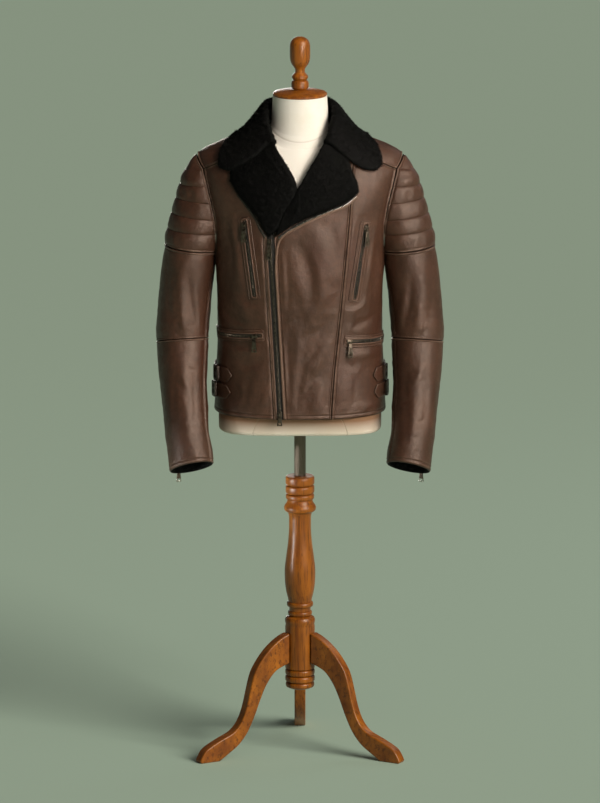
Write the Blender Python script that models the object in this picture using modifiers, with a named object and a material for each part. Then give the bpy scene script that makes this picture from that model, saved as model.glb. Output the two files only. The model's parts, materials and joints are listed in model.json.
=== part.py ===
"""Shearling biker jacket worn by a limbless dress form on a turned wooden tripod.

The wearer's front faces -Y and the wearer's left is +X. Every length below is in
millimetres, measured from the stand's axis on the floor; MM turns it into metres
when a mesh is made. Cloth is cut from one body surface and one sleeve surface:
a panel is a grid of points on its surface, and a wall is that grid and the same
grid moved along the surface's normals. What lies on a panel is made from the
panel's own points, moved outwards.
"""
from bisect import bisect
from math import asin, cos, degrees, pi, radians, sin, sqrt

import bmesh
import bpy
from mathutils import Matrix, Vector

MM = 0.001
WELD = 1e-6                 # metres
AXIS_Y = -48.96             # where the stand's axis lies in the finished object's frame

LEATHER = 2.6               # wall of a leather panel
SHEARLING = 11.0            # wall of a folded shearling piece, leather and pile
SEAM_GAP = 0.3              # between two pieces that are sewn together
LIFT = 0.5                  # between a panel and what lies on it

HEM_Z = 755.0
ARMPIT_Z = 1076.0
CHEST_Z = 1210.0            # above it the body closes in towards the shoulder ridge
SHOULDER_SEAM_Z = 1284.0    # where the forward shoulder seam meets the armhole
SHOULDER_Z = 1312.0         # top of the armhole
SHOULDER_X = 220.0
CUFF_Z = 645.0
ELBOW_Z = 906.0
RIDGE_Y = 8.0               # the shoulder ridge runs this far behind the stand's axis

FORM_BOTTOM_Z = 715.0
POLE_RADIUS = 12.5
POLE_FIT = 0.4
COLUMN_TOP_Z = 606.0
FOOT_RADIUS = 254.0


class Table:
    """Rows of named columns, read along a smooth curve through the first column."""

    def __init__(self, columns, *rows):
        names = columns.split()
        rows = sorted(rows)
        self.keys = [row[0] for row in rows]
        self.columns = {}
        for index, name in enumerate(names[1:], 1):
            values = [row[index] for row in rows]
            self.columns[name] = (values, self.tangents(values))

    def __call__(self, column, at):
        keys = self.keys
        values, tangents = self.columns[column]
        if at <= keys[0]:
            return values[0]
        if at >= keys[-1]:
            return values[-1]
        i = bisect(keys, at) - 1
        span = keys[i + 1] - keys[i]
        t = (at - keys[i]) / span
        start = values[i] * (1 + 2 * t) * (1 - t) ** 2 + tangents[i] * span * t * (1 - t) ** 2
        end = values[i + 1] * (3 - 2 * t) * t ** 2 + tangents[i + 1] * span * (t - 1) * t ** 2
        return start + end

    def tangents(self, values):
        """Slope at each row, level where the curve turns round."""
        keys = self.keys
        slopes = [(values[i + 1] - values[i]) / (keys[i + 1] - keys[i]) for i in range(len(keys) - 1)]
        inner = [2 * a * b / (a + b) if a * b > 0 else 0.0 for a, b in zip(slopes, slopes[1:])]
        return [slopes[0]] + inner + [slopes[-1]]


def straight(points, at):
    """Read (key, value) points joined by straight lines."""
    for (k0, v0), (k1, v1) in zip(points, points[1:]):
        if at <= k1:
            return v0 + (v1 - v0) * max(0.0, at - k0) / (k1 - k0)
    return points[-1][1]


def spread(start, end, count):
    """Even values from start to end, with count steps."""
    return [start + (end - start) * i / count for i in range(count + 1)]


# ---------------------------------------------------------------- body surface

BODY = Table(
    "z width front back power",
    (HEM_Z, 184.0, 126.0, 122.0, 2.3),
    (830.0, 181.0, 122.0, 117.0, 2.3),
    (920.0, 177.0, 119.0, 112.0, 2.3),
    (1000.0, 176.5, 124.0, 117.0, 2.25),
    (ARMPIT_Z, 180.7, 130.0, 124.0, 2.2),
    (1150.0, 188.5, 128.0, 128.0, 2.2),
    (CHEST_Z, 202.5, 124.0, 127.0, 2.2),
    (1240.0, 209.5, 123.0, 126.0, 2.2),
    (SHOULDER_SEAM_Z, 220.0, 122.0, 125.0, 2.2),
    (SHOULDER_Z, 226.0, 121.0, 124.0, 2.2),
    (1400.0, 234.0, 120.0, 123.0, 2.2),
)

# height of the shoulder ridge over the distance from the centre
RIDGE = Table(
    "x z",
    (0.0, 1404.0), (20.0, 1401.0), (40.0, 1391.0), (60.0, 1378.0), (75.0, 1368.0), (120.0, 1354.0),
    (165.0, 1338.5), (187.0, 1329.5), (205.0, 1321.0), (SHOULDER_X, SHOULDER_Z), (230.0, 1302.0),
)


def body_section(turn, z):
    """Plan point of the body's full section: turn 0 is the front, 90 the left side, 180 the back."""
    power = BODY("power", z)
    depth = BODY("front", z) if abs(turn) <= 90 else BODY("back", z)
    across, along = sin(radians(turn)), cos(radians(turn))
    x = BODY("width", z) * abs(across) ** (2 / power) * (1 if across >= 0 else -1)
    y = -depth * abs(along) ** (2 / power) * (1 if along >= 0 else -1)
    return x, y


def body_point(turn, z):
    """Point of the jacket's outer surface at a turn about the body and a height."""
    x, y = body_section(turn, z)
    if z > CHEST_Z:
        climb = min(1.0, (z - CHEST_Z) / (RIDGE("z", abs(x)) - CHEST_Z))
        y = RIDGE_Y + (y - RIDGE_Y) * sqrt(1 - climb ** 2)
    return Vector((x, y, z))


def turn_at(x, z):
    """Turn on the front at which the body is x wide at height z."""
    share = min(1.0, abs(x) / BODY("width", z))
    turn = degrees(asin(share ** (BODY("power", z) / 2)))
    return turn if x >= 0 else -turn


def shoulder_point(x, climb):
    """Point of the same surface above the chest; climb runs over the ridge, 0 at the back to 180."""
    height = RIDGE("z", abs(x)) - CHEST_Z
    z = CHEST_Z + height * sin(radians(climb))
    side = 180 - abs(turn_at(x, z)) if climb < 90 else abs(turn_at(x, z))
    y = body_section(side, z)[1]
    return Vector((x, RIDGE_Y + (y - RIDGE_Y) * abs(cos(radians(climb))), z))


def climb_of(x, z):
    """Climb at the back at which shoulder_point reaches a height."""
    return degrees(asin(min(1.0, (z - CHEST_Z) / (RIDGE("z", abs(x)) - CHEST_Z))))


def climb_at(x, y):
    """Climb at which shoulder_point passes over a plan point, looked for outwards from the ridge."""
    away, step = 0.0, 8.0
    side = -1 if y > RIDGE_Y else 1
    while step > 1e-6:
        reached = shoulder_point(x, 90 + side * (away + step)).y
        if abs(reached - RIDGE_Y) < abs(y - RIDGE_Y):
            away += step
        else:
            step /= 2
    return 90 + side * away


def with_normal(surface, a, b, step_a=0.5, step_b=1.0):
    """A surface's point and its outward normal, for a surface whose a, b and outside are right-handed."""
    along_a = surface(a + step_a, b) - surface(a - step_a, b)
    along_b = surface(a, b + step_b) - surface(a, b - step_b)
    return surface(a, b), along_a.cross(along_b).normalized()


def on_body(turn, z):
    """Body point with its normal, by turn and height."""
    return with_normal(body_point, turn, z)


def on_shoulder(x, climb):
    """Body point with its normal, by distance from the centre and climb over the shoulder."""
    return with_normal(lambda rise, across: shoulder_point(across, rise), climb, x)


def on_front(x, z):
    """Front point with its normal, as seen from straight in front."""
    return on_body(turn_at(x, z), z)


# ------------------------------------------------------------------- armhole

ARMHOLE = Table(
    "z turn",
    (ARMPIT_Z, 90.0), (1090.0, 83.5), (1103.0, 79.8), (1122.0, 75.8), (1142.0, 72.0), (1174.0, 68.2),
    (CHEST_Z, 66.9), (1247.0, 67.9), (SHOULDER_SEAM_Z, 68.5),
)
ARMHOLE_LEVELS = (1076.0, 1090.0, 1103.0, 1122.0, 1142.0, 1158.0, 1174.0, 1192.0, 1210.0, 1228.0, 1247.0,
                  1266.0, 1284.0)
CAP_LEVELS = (1292.0, 1300.0, 1308.0, 1312.0)


def cap_arc(level, back):
    """Distance from the centre and climb of an armhole point over the shoulder seam's level."""
    arc = (level - SHOULDER_SEAM_Z) / (SHOULDER_Z - SHOULDER_SEAM_Z) * pi / 2
    x = shoulder_end() + (SHOULDER_X - shoulder_end()) * sin(arc)
    climb = climb_of(x, level)
    return x, climb if back else 180 - climb


def shoulder_end():
    """Distance from the centre at which the forward shoulder seam meets the armhole."""
    return body_point(ARMHOLE("turn", SHOULDER_SEAM_Z), SHOULDER_SEAM_Z).x


def armhole(level, back=False):
    """Left armhole point at a level from the armpit to the shoulder's top."""
    if level <= SHOULDER_SEAM_Z:
        turn = ARMHOLE("turn", level)
        return body_point(180 - turn if back else turn, level)
    return shoulder_point(*cap_arc(level, back))


# -------------------------------------------------------------------- sleeve

# sections that open into the armhole: the outer point, and the sleeve's own half depth
CAP = Table(
    "level x z depth",
    (1312.0, 220.0, 1312.0, 0.0), (1308.0, 224.0, 1308.5, 0.0), (1300.0, 233.0, 1299.0, 0.0),
    (1292.0, 239.5, 1288.5, 0.0), (1284.0, 244.5, 1277.0, 0.0), (1266.0, 250.5, 1262.0, 45.0),
    (1247.0, 255.5, 1246.6, 50.0), (1228.0, 260.0, 1232.0, 53.0), (1210.0, 264.0, 1217.0, 55.5),
    (1192.0, 269.0, 1200.0, 57.5), (1174.0, 274.0, 1184.0, 59.5), (1158.0, 278.0, 1167.0, 61.3),
    (1142.0, 282.0, 1151.0, 62.8), (1122.0, 286.0, 1132.0, 64.5), (1103.0, 288.5, 1115.0, 65.8),
    (1090.0, 291.0, 1098.0, 66.3), (ARMPIT_Z, 293.0, 1082.0, 66.5),
)

# closed sections below the armpit: centre, width, half depth, outer side's rise, forward lean
ARM = Table(
    "level x y width depth rise lean",
    (ARMPIT_Z, 236.85, 0.0, 112.3, 66.5, 3.0, 0.0),
    (1042.0, 241.5, -1.0, 113.0, 66.0, 2.0, 1.0),
    (988.0, 246.5, -5.0, 112.0, 64.0, -0.5, 5.0),
    (916.0, 251.5, -14.0, 112.0, 61.5, -3.5, 11.0),
    (858.0, 251.0, -29.0, 106.0, 59.0, -3.5, 17.0),
    (815.0, 249.5, -44.0, 99.0, 56.0, -3.0, 21.0),
    (763.0, 245.6, -65.0, 95.0, 53.5, -2.0, 23.0),
    (718.0, 241.7, -84.0, 92.0, 51.5, -3.0, 23.0),
    (674.0, 234.5, -102.0, 94.0, 50.0, -6.0, 23.0),
    (CUFF_Z, 232.0, -111.0, 94.0, 49.5, -9.0, 23.0),
)

# seams of the sleeve about its axis: 0 is outside, 90 the front, 180 the body's side
ARM_SEAMS = Table(
    "level front back",
    (1210.0, 180.0, -112.0), (1192.0, 180.0, -104.0), (1174.0, 180.0, -99.0), (1142.0, 180.0, -90.0),
    (1103.0, 180.0, -80.0), (ARMPIT_Z, 180.0, -75.0), (1042.0, 166.0, -69.0), (988.0, 155.0, -60.0),
    (916.0, 154.0, -52.0), (CUFF_Z, 154.0, -50.0),
)
SLEEVE_EASE = 0.16          # degrees that keep half a seam's gap on a sleeve


def cap_section(level):
    """Measures of an open sleeve section: centre x and y, half width, half depth, widest turn."""
    front, back = armhole(level), armhole(level, back=True)
    half = (back.y - front.y) / 2
    depth = max(CAP("depth", level), half)
    reach = 180 - degrees(asin(min(1.0, half / depth))) if CAP("depth", level) > half else 90.0
    outer = CAP("x", level)
    width = (outer - front.x) / (1 - cos(radians(reach)))
    return outer - width, (front.y + back.y) / 2, width, depth, reach


def sleeve_point(turn, level):
    """Point of the left sleeve's surface."""
    across, along = cos(radians(turn)), sin(radians(turn))
    if level >= ARMPIT_Z:
        x, y, width, depth, reach = cap_section(level)
        inner = armhole(level, back=along < 0).z
        share = (1 - across) / (1 - cos(radians(reach)))
        outer = CAP("z", level)
        return Vector((x + width * across, y - depth * along, outer + (inner - outer) * share))
    lean = radians(ARM("lean", level))
    depth = ARM("depth", level)
    return Vector((
        ARM("x", level) + ARM("width", level) / 2 * across,
        ARM("y", level) - depth * cos(lean) * along,
        level + 3.0 + ARM("rise", level) * across + depth * sin(lean) * along,
    ))


def on_sleeve(turn, level):
    """Sleeve point with its normal."""
    return with_normal(lambda a, b: sleeve_point(a, -b), turn, -level)


def sleeve_range(level, under):
    """First and last turn of the top or the under sleeve at a level, inside its seams."""
    reach = cap_section(level)[4] if level > ARMPIT_Z else ARM_SEAMS("front", level)
    back = ARM_SEAMS("back", level)
    if level > ARMPIT_Z:
        back = max(back, -reach)
    if under:
        first = 360 - reach if level > ARMPIT_Z else ARM_SEAMS("front", level)
        return first + SLEEVE_EASE, max(first, 360 + back) - SLEEVE_EASE
    return back + SLEEVE_EASE, reach - SLEEVE_EASE


# ----------------------------------------------------------------- mesh tools

def finished(name, bm, scale=1.0):
    """The mesh of a bmesh, scaled, its doubles merged and its faces turned outwards."""
    bmesh.ops.scale(bm, vec=(scale, scale, scale), verts=bm.verts)
    bmesh.ops.remove_doubles(bm, verts=bm.verts, dist=WELD)
    bmesh.ops.dissolve_degenerate(bm, edges=bm.edges, dist=WELD)
    if bm.calc_volume(signed=True) < 0:
        bmesh.ops.reverse_faces(bm, faces=bm.faces)
    mesh = bpy.data.meshes.new(name)
    bm.to_mesh(mesh)
    bm.free()
    return mesh


def as_mesh(name, vertices, faces):
    """Mesh in metres from millimetre points and faces wound one way."""
    bm = bmesh.new()
    made = [bm.verts.new(vertex) for vertex in vertices]
    for face in faces:
        bm.faces.new([made[i] for i in face])
    return finished(name, bm, MM)


def wall_mesh(name, rows, low, high, closed=False):
    """Closed wall over a grid of (point, normal): from low to high along the normals."""
    deep, wide = len(rows), len(rows[0])
    vertices = [p + n * high for row in rows for p, n in row]
    vertices += [p + n * low for row in rows for p, n in row]
    inner = deep * wide
    columns = range(wide if closed else wide - 1)
    faces = []
    for r in range(deep - 1):
        for c in columns:
            a, b = r * wide + c, r * wide + (c + 1) % wide
            faces.append((a, b, b + wide, a + wide))
            faces.append((inner + a + wide, inner + b + wide, inner + b, inner + a))
    for r, step in ((0, 1), (deep - 1, -1)):
        for c in columns:
            edge = (r * wide + c, r * wide + (c + 1) % wide)
            a, b = edge[::step]
            faces.append((b, a, inner + a, inner + b))
    if not closed:
        for c, step in ((0, -1), (wide - 1, 1)):
            for r in range(deep - 1):
                edge = (r * wide + c, (r + 1) * wide + c)
                a, b = edge[::step]
                faces.append((b, a, inner + a, inner + b))
    return as_mesh(name, vertices, faces)


def loft_mesh(name, rings):
    """Closed body through rings of points, its ends filled."""
    wide = len(rings[0])
    vertices = [p for ring in rings for p in ring]
    faces = [tuple(range(wide)), tuple(range(len(vertices) - 1, len(vertices) - wide - 1, -1))]
    for r in range(len(rings) - 1):
        for c in range(wide):
            a, b = r * wide + c, r * wide + (c + 1) % wide
            faces.append((a, a + wide, b + wide, b))
    return as_mesh(name, vertices, faces)


class Finish:
    """A part's colour, roughness and metallic value."""

    def __init__(self, name, colour, roughness, metallic=0.0):
        self.material = bpy.data.materials.new(name)
        self.material.use_nodes = True
        shader = self.material.node_tree.nodes["Principled BSDF"]
        shader.inputs["Base Color"].default_value = (*colour, 1.0)
        shader.inputs["Roughness"].default_value = roughness
        shader.inputs["Metallic"].default_value = metallic
        self.material.diffuse_color = (*colour, 1.0)


class Workshop:
    """The object's collection, its empty, and the finishes its parts take."""

    def __init__(self):
        for old in list(bpy.data.objects):
            bpy.data.objects.remove(old, do_unlink=True)
        self.parts = bpy.data.collections.new("shearling_biker_jacket")
        self.cutters = bpy.data.collections.new("cutters")
        for collection in (self.parts, self.cutters):
            bpy.context.scene.collection.children.link(collection)
        self.root = bpy.data.objects.new("stand_axis", None)
        self.root.location = (0.0, AXIS_Y * MM, 0.0)
        self.parts.objects.link(self.root)
        self.finishes = {
            "leather": Finish("brown_leather", (0.085, 0.055, 0.042), 0.45),
            "shearling": Finish("black_shearling", (0.006, 0.006, 0.006), 0.95),
            "tape": Finish("zip_tape", (0.02, 0.019, 0.017), 0.8),
            "metal": Finish("gunmetal", (0.16, 0.15, 0.13), 0.35, 1.0),
            "form": Finish("ivory_cloth", (0.8, 0.77, 0.68), 0.8),
            "wood": Finish("turned_oak", (0.30, 0.115, 0.03), 0.4),
            "steel": Finish("polished_steel", (0.4, 0.38, 0.35), 0.2, 1.0),
        }

    def add(self, name, mesh, finish, location=(0.0, 0.0, 0.0), smooth_angle=45.0):
        """One part from a mesh, under the empty."""
        mesh.shade_smooth()
        mesh.set_sharp_from_angle(angle=radians(smooth_angle))
        part = bpy.data.objects.new(name, mesh)
        part.data.materials.append(self.finishes[finish].material)
        part.location = Vector(location) * MM
        part.parent = self.root
        self.parts.objects.link(part)
        return part

    def cutter(self, name, mesh):
        """A shape that only cuts."""
        tool = bpy.data.objects.new(name, mesh)
        tool.hide_render = True
        tool.display_type = "WIRE"
        tool.parent = self.root
        self.cutters.objects.link(tool)
        return tool

    def boolean(self, part, tool, operation="DIFFERENCE"):
        """Cut or join a part with a tool."""
        step = part.modifiers.new(tool.name, "BOOLEAN")
        step.object = tool
        step.operation = operation
        step.solver = "EXACT"


def mirrored(rows):
    """The same grid for the wearer's right."""
    flip = Matrix.Diagonal((-1.0, 1.0, 1.0))
    return [[(flip @ p, flip @ n) for p, n in row] for row in rows]


# -------------------------------------------------------------- jacket fronts

ZIP_FOOT = (-42.0, HEM_Z)           # centre-front zip, from the hem to its slider
ZIP_HEAD = (-64.5, 1150.0)
ZIP_HALF_GAP = 8.8                  # from the zip's middle to each front edge
V_X, V_Z = -9.5, 1250.0             # where the turned-back fronts part
LEFT_NECK = (53.0, 1334.0)          # where the left roll line reaches the neck seam
RIGHT_NECK = (-61.0, 1346.0)
SHOULDER_NECK = (78.0, 1352.0)      # where the shoulder seam reaches the neck seam
ROLL_GAP = 1.6
SEAM_TURN = 0.05                    # degrees about the body that make half a seam's gap
SEAM_SHARE = 0.0012                 # the same as a share of the shoulder seam
SHOULDER_GAP = 0.5                  # the forward seam's gap, seen from in front
FRONT_COLUMNS = 5

LOW_LEVELS = (HEM_Z, 800.0, 860.0, 920.0, 980.0, 1030.0)
LEFT_LEVELS = (1078.0, 1092.0, 1106.0, 1125.0, 1150.0, 1168.0, 1188.0, 1210.0, 1234.0, 1260.0, 1285.0, 1310.0,
               LEFT_NECK[1])
RIGHT_LEVELS = (1078.0, 1092.0, 1106.0, 1125.0, 1150.0, 1166.0, 1183.0, 1202.0, 1226.0, V_Z, 1282.0, 1314.0,
                RIGHT_NECK[1])

# raised seam between the left front's centre and side
PRINCESS = Table(
    "z x",
    (HEM_Z, 66.0), (830.0, 71.0), (925.0, 80.0), (990.0, 87.0), (1120.0, 99.0), (1190.0, 105.0),
    (1250.0, 109.0), (1300.0, 112.0), (1335.0, 116.0),
)
PRINCESS_SEAM_SHARE = 0.31          # how far along the shoulder seam it ends


def zip_x(z):
    """Middle of the centre-front zip."""
    (foot_x, foot_z), (head_x, head_z) = ZIP_FOOT, ZIP_HEAD
    return foot_x + (head_x - foot_x) * (z - foot_z) / (head_z - foot_z)


def left_edge_x(z):
    """Inner edge of the left front: the zip, then the roll line up to the neck."""
    if z <= ZIP_HEAD[1]:
        return zip_x(z) + ZIP_HALF_GAP
    head = zip_x(ZIP_HEAD[1]) + ZIP_HALF_GAP
    return straight(((ZIP_HEAD[1], head), (1202.0, -37.0), (V_Z, V_X + 1.0), LEFT_NECK[::-1]), z)


def right_edge_x(z):
    """Inner edge of the right front: the zip, the crossing under the left roll, then its own roll."""
    if z <= ZIP_HEAD[1]:
        return zip_x(z) - ZIP_HALF_GAP
    head = zip_x(ZIP_HEAD[1]) - ZIP_HALF_GAP
    return straight(((ZIP_HEAD[1], head), (1166.0, -56.5), (1202.0, -37.0 - ROLL_GAP), (V_Z, V_X - ROLL_GAP),
                     RIGHT_NECK[::-1]), z)


def shoulder_seam(side, share, below=0.0):
    """Point of the forward shoulder seam with its normal, from the neck to the armhole."""
    end_x = shoulder_end()
    x = SHOULDER_NECK[0] + (end_x - SHOULDER_NECK[0]) * share
    z = SHOULDER_NECK[1] + (SHOULDER_SEAM_Z - SHOULDER_NECK[1]) * share - below
    return on_front(side * x, z)


def inner_edge(edge, levels):
    """(turn, z) of a front's inner edge at each row but the last, hem first."""
    return [(turn_at(edge(z), z), z) for z in LOW_LEVELS + levels]


def outer_edge(side):
    """(turn, z) of a front's side seam and armhole at each row but the last, hem first."""
    low = [(side * (90.0 - SEAM_TURN), z) for z in LOW_LEVELS]
    return low + [(side * (ARMHOLE("turn", z) - SEAM_TURN), z) for z in ARMHOLE_LEVELS]


def princess_edge(starts, ends, gap):
    """(turn, z) of the raised seam half-way along each row, moved by half a gap."""
    middles = [(z0 + z1) / 2 for (_, z0), (_, z1) in zip(starts, ends)]
    return [(turn_at(PRINCESS("x", z), z) + gap, z) for z in middles]


def front_grid(starts, ends, columns, side, seam=(0.0, 1.0)):
    """Grid of a front between two edges; its last row follows a stretch of the shoulder seam."""
    grid = []
    for (turn0, z0), (turn1, z1) in zip(starts[:-1], ends[:-1]):
        shares = spread(0.0, 1.0, columns)
        grid.append([on_body(turn0 + (turn1 - turn0) * s, z0 + (z1 - z0) * s) for s in shares])
    first, last = seam[0] + SEAM_SHARE, seam[1] - SEAM_SHARE
    grid.append([shoulder_seam(side, s, SHOULDER_GAP) for s in spread(first, last, columns)])
    return grid


def front_panels(shop):
    """The right front, and the left front in two."""
    inner, outer = inner_edge(right_edge_x, RIGHT_LEVELS), outer_edge(-1)
    grid = front_grid(inner, outer, 2 * FRONT_COLUMNS, -1)
    shop.add("front_right", wall_mesh("front_right", grid, -LEATHER, 0.0), "leather")

    inner, outer = inner_edge(left_edge_x, LEFT_LEVELS), outer_edge(1)
    near, far = princess_edge(inner, outer, -SEAM_TURN), princess_edge(inner, outer, SEAM_TURN)
    centre = front_grid(inner, near, FRONT_COLUMNS, 1, (0.0, PRINCESS_SEAM_SHARE))
    side = front_grid(far, outer, FRONT_COLUMNS, 1, (PRINCESS_SEAM_SHARE, 1.0))
    shop.add("front_left_centre", wall_mesh("front_left_centre", centre, -LEATHER, 0.0), "leather")
    shop.add("front_left_side", wall_mesh("front_left_side", side, -LEATHER, 0.0), "leather")


# ----------------------------------------------------------------------- back

# plan of the neck seam over a share of its half, 0 at the back and 1 at the shoulder seam
NECK_SEAM = Table(
    "share x y",
    (0.0, 0.0, 79.0), (0.17, 30.0, 76.0), (0.35, 56.0, 60.0), (0.53, 74.0, 35.0), (0.70, 80.5, 6.0),
    (0.85, 81.0, -20.0), (1.0, 78.0, -46.0), (1.11, 68.0, -61.0), (1.22, 55.0, -72.0),
)
BACK_NECK_COLUMNS = 4
BACK_SHOULDER_COLUMNS = 5


def neck_seam(share):
    """Distance from the centre and climb of a point of the neck seam."""
    x = NECK_SEAM("x", share)
    return x, climb_at(x, NECK_SEAM("y", share))


def back_top(column):
    """Where a column of the back ends: its distance from the centre and its climb."""
    if column < BACK_NECK_COLUMNS:
        return neck_seam(column / BACK_NECK_COLUMNS)
    share = min(1.0 - SEAM_SHARE, (column - BACK_NECK_COLUMNS) / BACK_SHOULDER_COLUMNS)
    point = shoulder_seam(1, share)[0]
    return point.x, 180 - climb_of(point.x, point.z)


def armhole_climbs():
    """Distance and climb of the armhole from the chest over the shoulder to its seam in front."""
    back = [armhole(z, back=True) for z in ARMHOLE_LEVELS if z > CHEST_Z]
    stations = [(p.x, climb_of(p.x, p.z)) for p in back]
    over = [cap_arc(z, back=True) for z in CAP_LEVELS]
    front = [cap_arc(z, back=False) for z in reversed(CAP_LEVELS[:-1])]
    end_x = shoulder_end()
    return stations + over + front + [(end_x, 180 - climb_of(end_x, SHOULDER_SEAM_Z))]


def back_panel(shop):
    """The back in one piece, carried over both shoulders to the forward seams."""
    columns = BACK_NECK_COLUMNS + BACK_SHOULDER_COLUMNS
    half_rows = []
    for z in LOW_LEVELS + tuple(level for level in ARMHOLE_LEVELS if level <= CHEST_Z):
        reach = 90.0 if z < ARMPIT_Z else ARMHOLE("turn", z)
        turns = [180 - (reach if z >= ARMPIT_Z else 90.0) * c / columns for c in range(columns + 1)]
        turns[-1] += SEAM_TURN
        half_rows.append([on_body(turn, z) for turn in turns])
    starts = [body_point(180 - ARMHOLE("turn", CHEST_Z) * c / columns, CHEST_Z).x for c in range(columns + 1)]
    ends = [back_top(c) for c in range(columns + 1)]
    stations = armhole_climbs()
    for arm_x, arm_climb in stations:
        part = arm_climb / stations[-1][1]
        bulge = arm_x - starts[-1] - (ends[-1][0] - starts[-1]) * part
        row = []
        for c in range(columns + 1):
            x = starts[c] + (ends[c][0] - starts[c]) * part + bulge * (c / columns) ** 3
            draw_in = SEAM_GAP / 2 if c == columns else 0.0
            row.append(on_shoulder(x - draw_in, ends[c][1] * part))
        half_rows.append(row)
    grid = [row[::-1] + right[1:] for row, right in zip(half_rows, mirrored(half_rows))]
    shop.add("back", wall_mesh("back", grid, -LEATHER, 0.0), "leather")


# --------------------------------------------------------------------- sleeve

ROLL_HEIGHT = 4.0
ROLLS = ((1247.0, 1284.0), (1210.0, 1247.0), (1174.0, 1210.0), (1142.0, 1174.0), (1103.0, 1142.0))
RIB_LEVELS = (1308.0, 1300.0, 1292.0, 1284.0, 1266.0, 1247.0, 1228.0, 1210.0, 1192.0, 1174.0, 1158.0, 1142.0,
              1122.0, 1103.0)
UPPER_LEVELS = (1103.0, 1090.0, 1076.0, 1042.0, 1010.0, 960.0, ELBOW_Z)
UNDER_LEVELS = (1206.0, 1192.0, 1174.0, 1158.0, 1142.0, 1122.0) + UPPER_LEVELS
LOWER_LEVELS = (ELBOW_Z, 858.0, 815.0, 763.0, 718.0, 674.0, CUFF_Z)
TOP_COLUMNS = 11
UNDER_COLUMNS = 6


def roll_height(turn, level, first, last):
    """How far a padded roll of the shoulder panel stands out at a point."""
    for low, high in ROLLS:
        if low < level < high:
            fade = min(1.0, (turn - first) / 12, (last - turn) / 12)
            return ROLL_HEIGHT * sin(pi * (level - low) / (high - low)) * max(0.0, fade)
    return 0.0


def sleeve_grid(levels, columns, under=False, top_gap=0.0, foot_gap=0.0, rolls=False):
    """Grid of a sleeve panel over its levels, shoulder first."""
    levels = list(levels)
    levels[0] -= top_gap
    levels[-1] += foot_gap
    grid = []
    for level in levels:
        first, last = sleeve_range(level, under)
        row = []
        for turn in spread(first, last, columns):
            point, normal = on_sleeve(turn, level)
            height = roll_height(turn, level, first, last) if rolls else 0.0
            row.append((point + normal * height, normal))
        grid.append(row)
    return grid


def sleeves(shop):
    """Five panels for each sleeve."""
    half = SEAM_GAP / 2
    panels = {
        "sleeve_rib": sleeve_grid(RIB_LEVELS, TOP_COLUMNS, foot_gap=half, rolls=True),
        "sleeve_top_upper": sleeve_grid(UPPER_LEVELS, TOP_COLUMNS, top_gap=half, foot_gap=half),
        "sleeve_top_lower": sleeve_grid(LOWER_LEVELS, TOP_COLUMNS, top_gap=half),
        "sleeve_under_upper": sleeve_grid(UNDER_LEVELS, UNDER_COLUMNS, under=True, foot_gap=half),
        "sleeve_under_lower": sleeve_grid(LOWER_LEVELS, UNDER_COLUMNS, under=True, top_gap=half),
    }
    for name, grid in panels.items():
        for side, rows in (("left", grid), ("right", mirrored(grid))):
            full = f"{name}_{side}"
            shop.add(full, wall_mesh(full, rows, -LEATHER, 0.0), "leather")


# --------------------------------------------------------- collar and lapels

# the folded collar over a share of the neck seam: its roll, the middle of its fall and its edge
COLLAR = Table(
    "share roll_x roll_y roll_z fall_x fall_y fall_z edge_x edge_y edge_z",
    (0.0, 0.0, 80.0, 1417.0, 0.0, 101.0, 1385.0, 0.0, 112.0, 1340.0),
    (0.35, 55.0, 59.0, 1417.0, 74.0, 77.0, 1384.0, 88.0, 90.0, 1341.0),
    (0.70, 74.0, 6.0, 1411.0, 104.0, 11.0, 1377.0, 137.0, 15.0, 1354.0),
    (0.95, 73.0, -34.0, 1395.0, 112.0, -33.0, 1365.0, 159.0, -22.0, 1341.0),
    (1.10, 67.0, -60.0, 1372.0, 112.0, -63.0, 1341.0, 171.0, -45.0, 1320.0),
    (1.22, 60.0, -80.0, 1349.0, 109.0, -88.0, 1309.0, 174.0, -63.0, 1298.0),
)
COLLAR_END = 1.22
COLLAR_ROLL = 0.4                   # share of the collar's width that stands
COLLAR_LEAN = 4.0                   # how far the stand leans to the neck at its roll
COLLAR_COLUMNS = 24
COLLAR_ROWS = 8
COLLAR_SEAM_LIFT = 1.2

# outlines of the lapels, seen from in front: gorge, outer edge, lower edge, roll line
LEFT_LAPEL = {
    "gorge": ((50.0, 1328.0), (65.0, 1318.0), (80.0, 1306.0)),
    "outer": ((80.0, 1306.0), (95.0, 1289.0), (106.0, 1273.0), (117.0, 1260.0), (121.5, 1247.0)),
    "lower": ((-51.0, 1157.0), (-10.0, 1182.0), (24.5, 1199.0), (59.0, 1213.0), (93.6, 1226.0), (121.5, 1247.0)),
    "roll": ((50.0, 1328.0), (-7.5, 1250.0), (-36.0, 1202.0), (-51.0, 1157.0)),
}
RIGHT_LAPEL = {
    "gorge": ((-58.0, 1337.0), (-80.0, 1319.0), (-101.0, 1302.0)),
    "outer": ((-101.0, 1302.0), (-112.0, 1291.0), (-129.0, 1278.0), (-142.0, 1266.0)),
    "lower": ((-68.0, 1156.0), (-79.0, 1172.0), (-87.0, 1190.0), (-96.0, 1204.0), (-115.0, 1228.0),
              (-128.0, 1243.0), (-142.0, 1266.0)),
    "roll": ((-58.0, 1337.0), (-12.5, 1252.0), (-39.5, 1202.0), (-55.0, 1170.0), (-68.0, 1156.0)),
}
LAPEL_LIFT = 3.2                    # a lapel's outer edge lies on the strip of zip sewn along it
LAPEL_ROLL_LIFT = 0.7               # where it rolls out of the front's own edge
LAPEL_COLUMNS = 6
LAPEL_ROWS = 9


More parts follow.
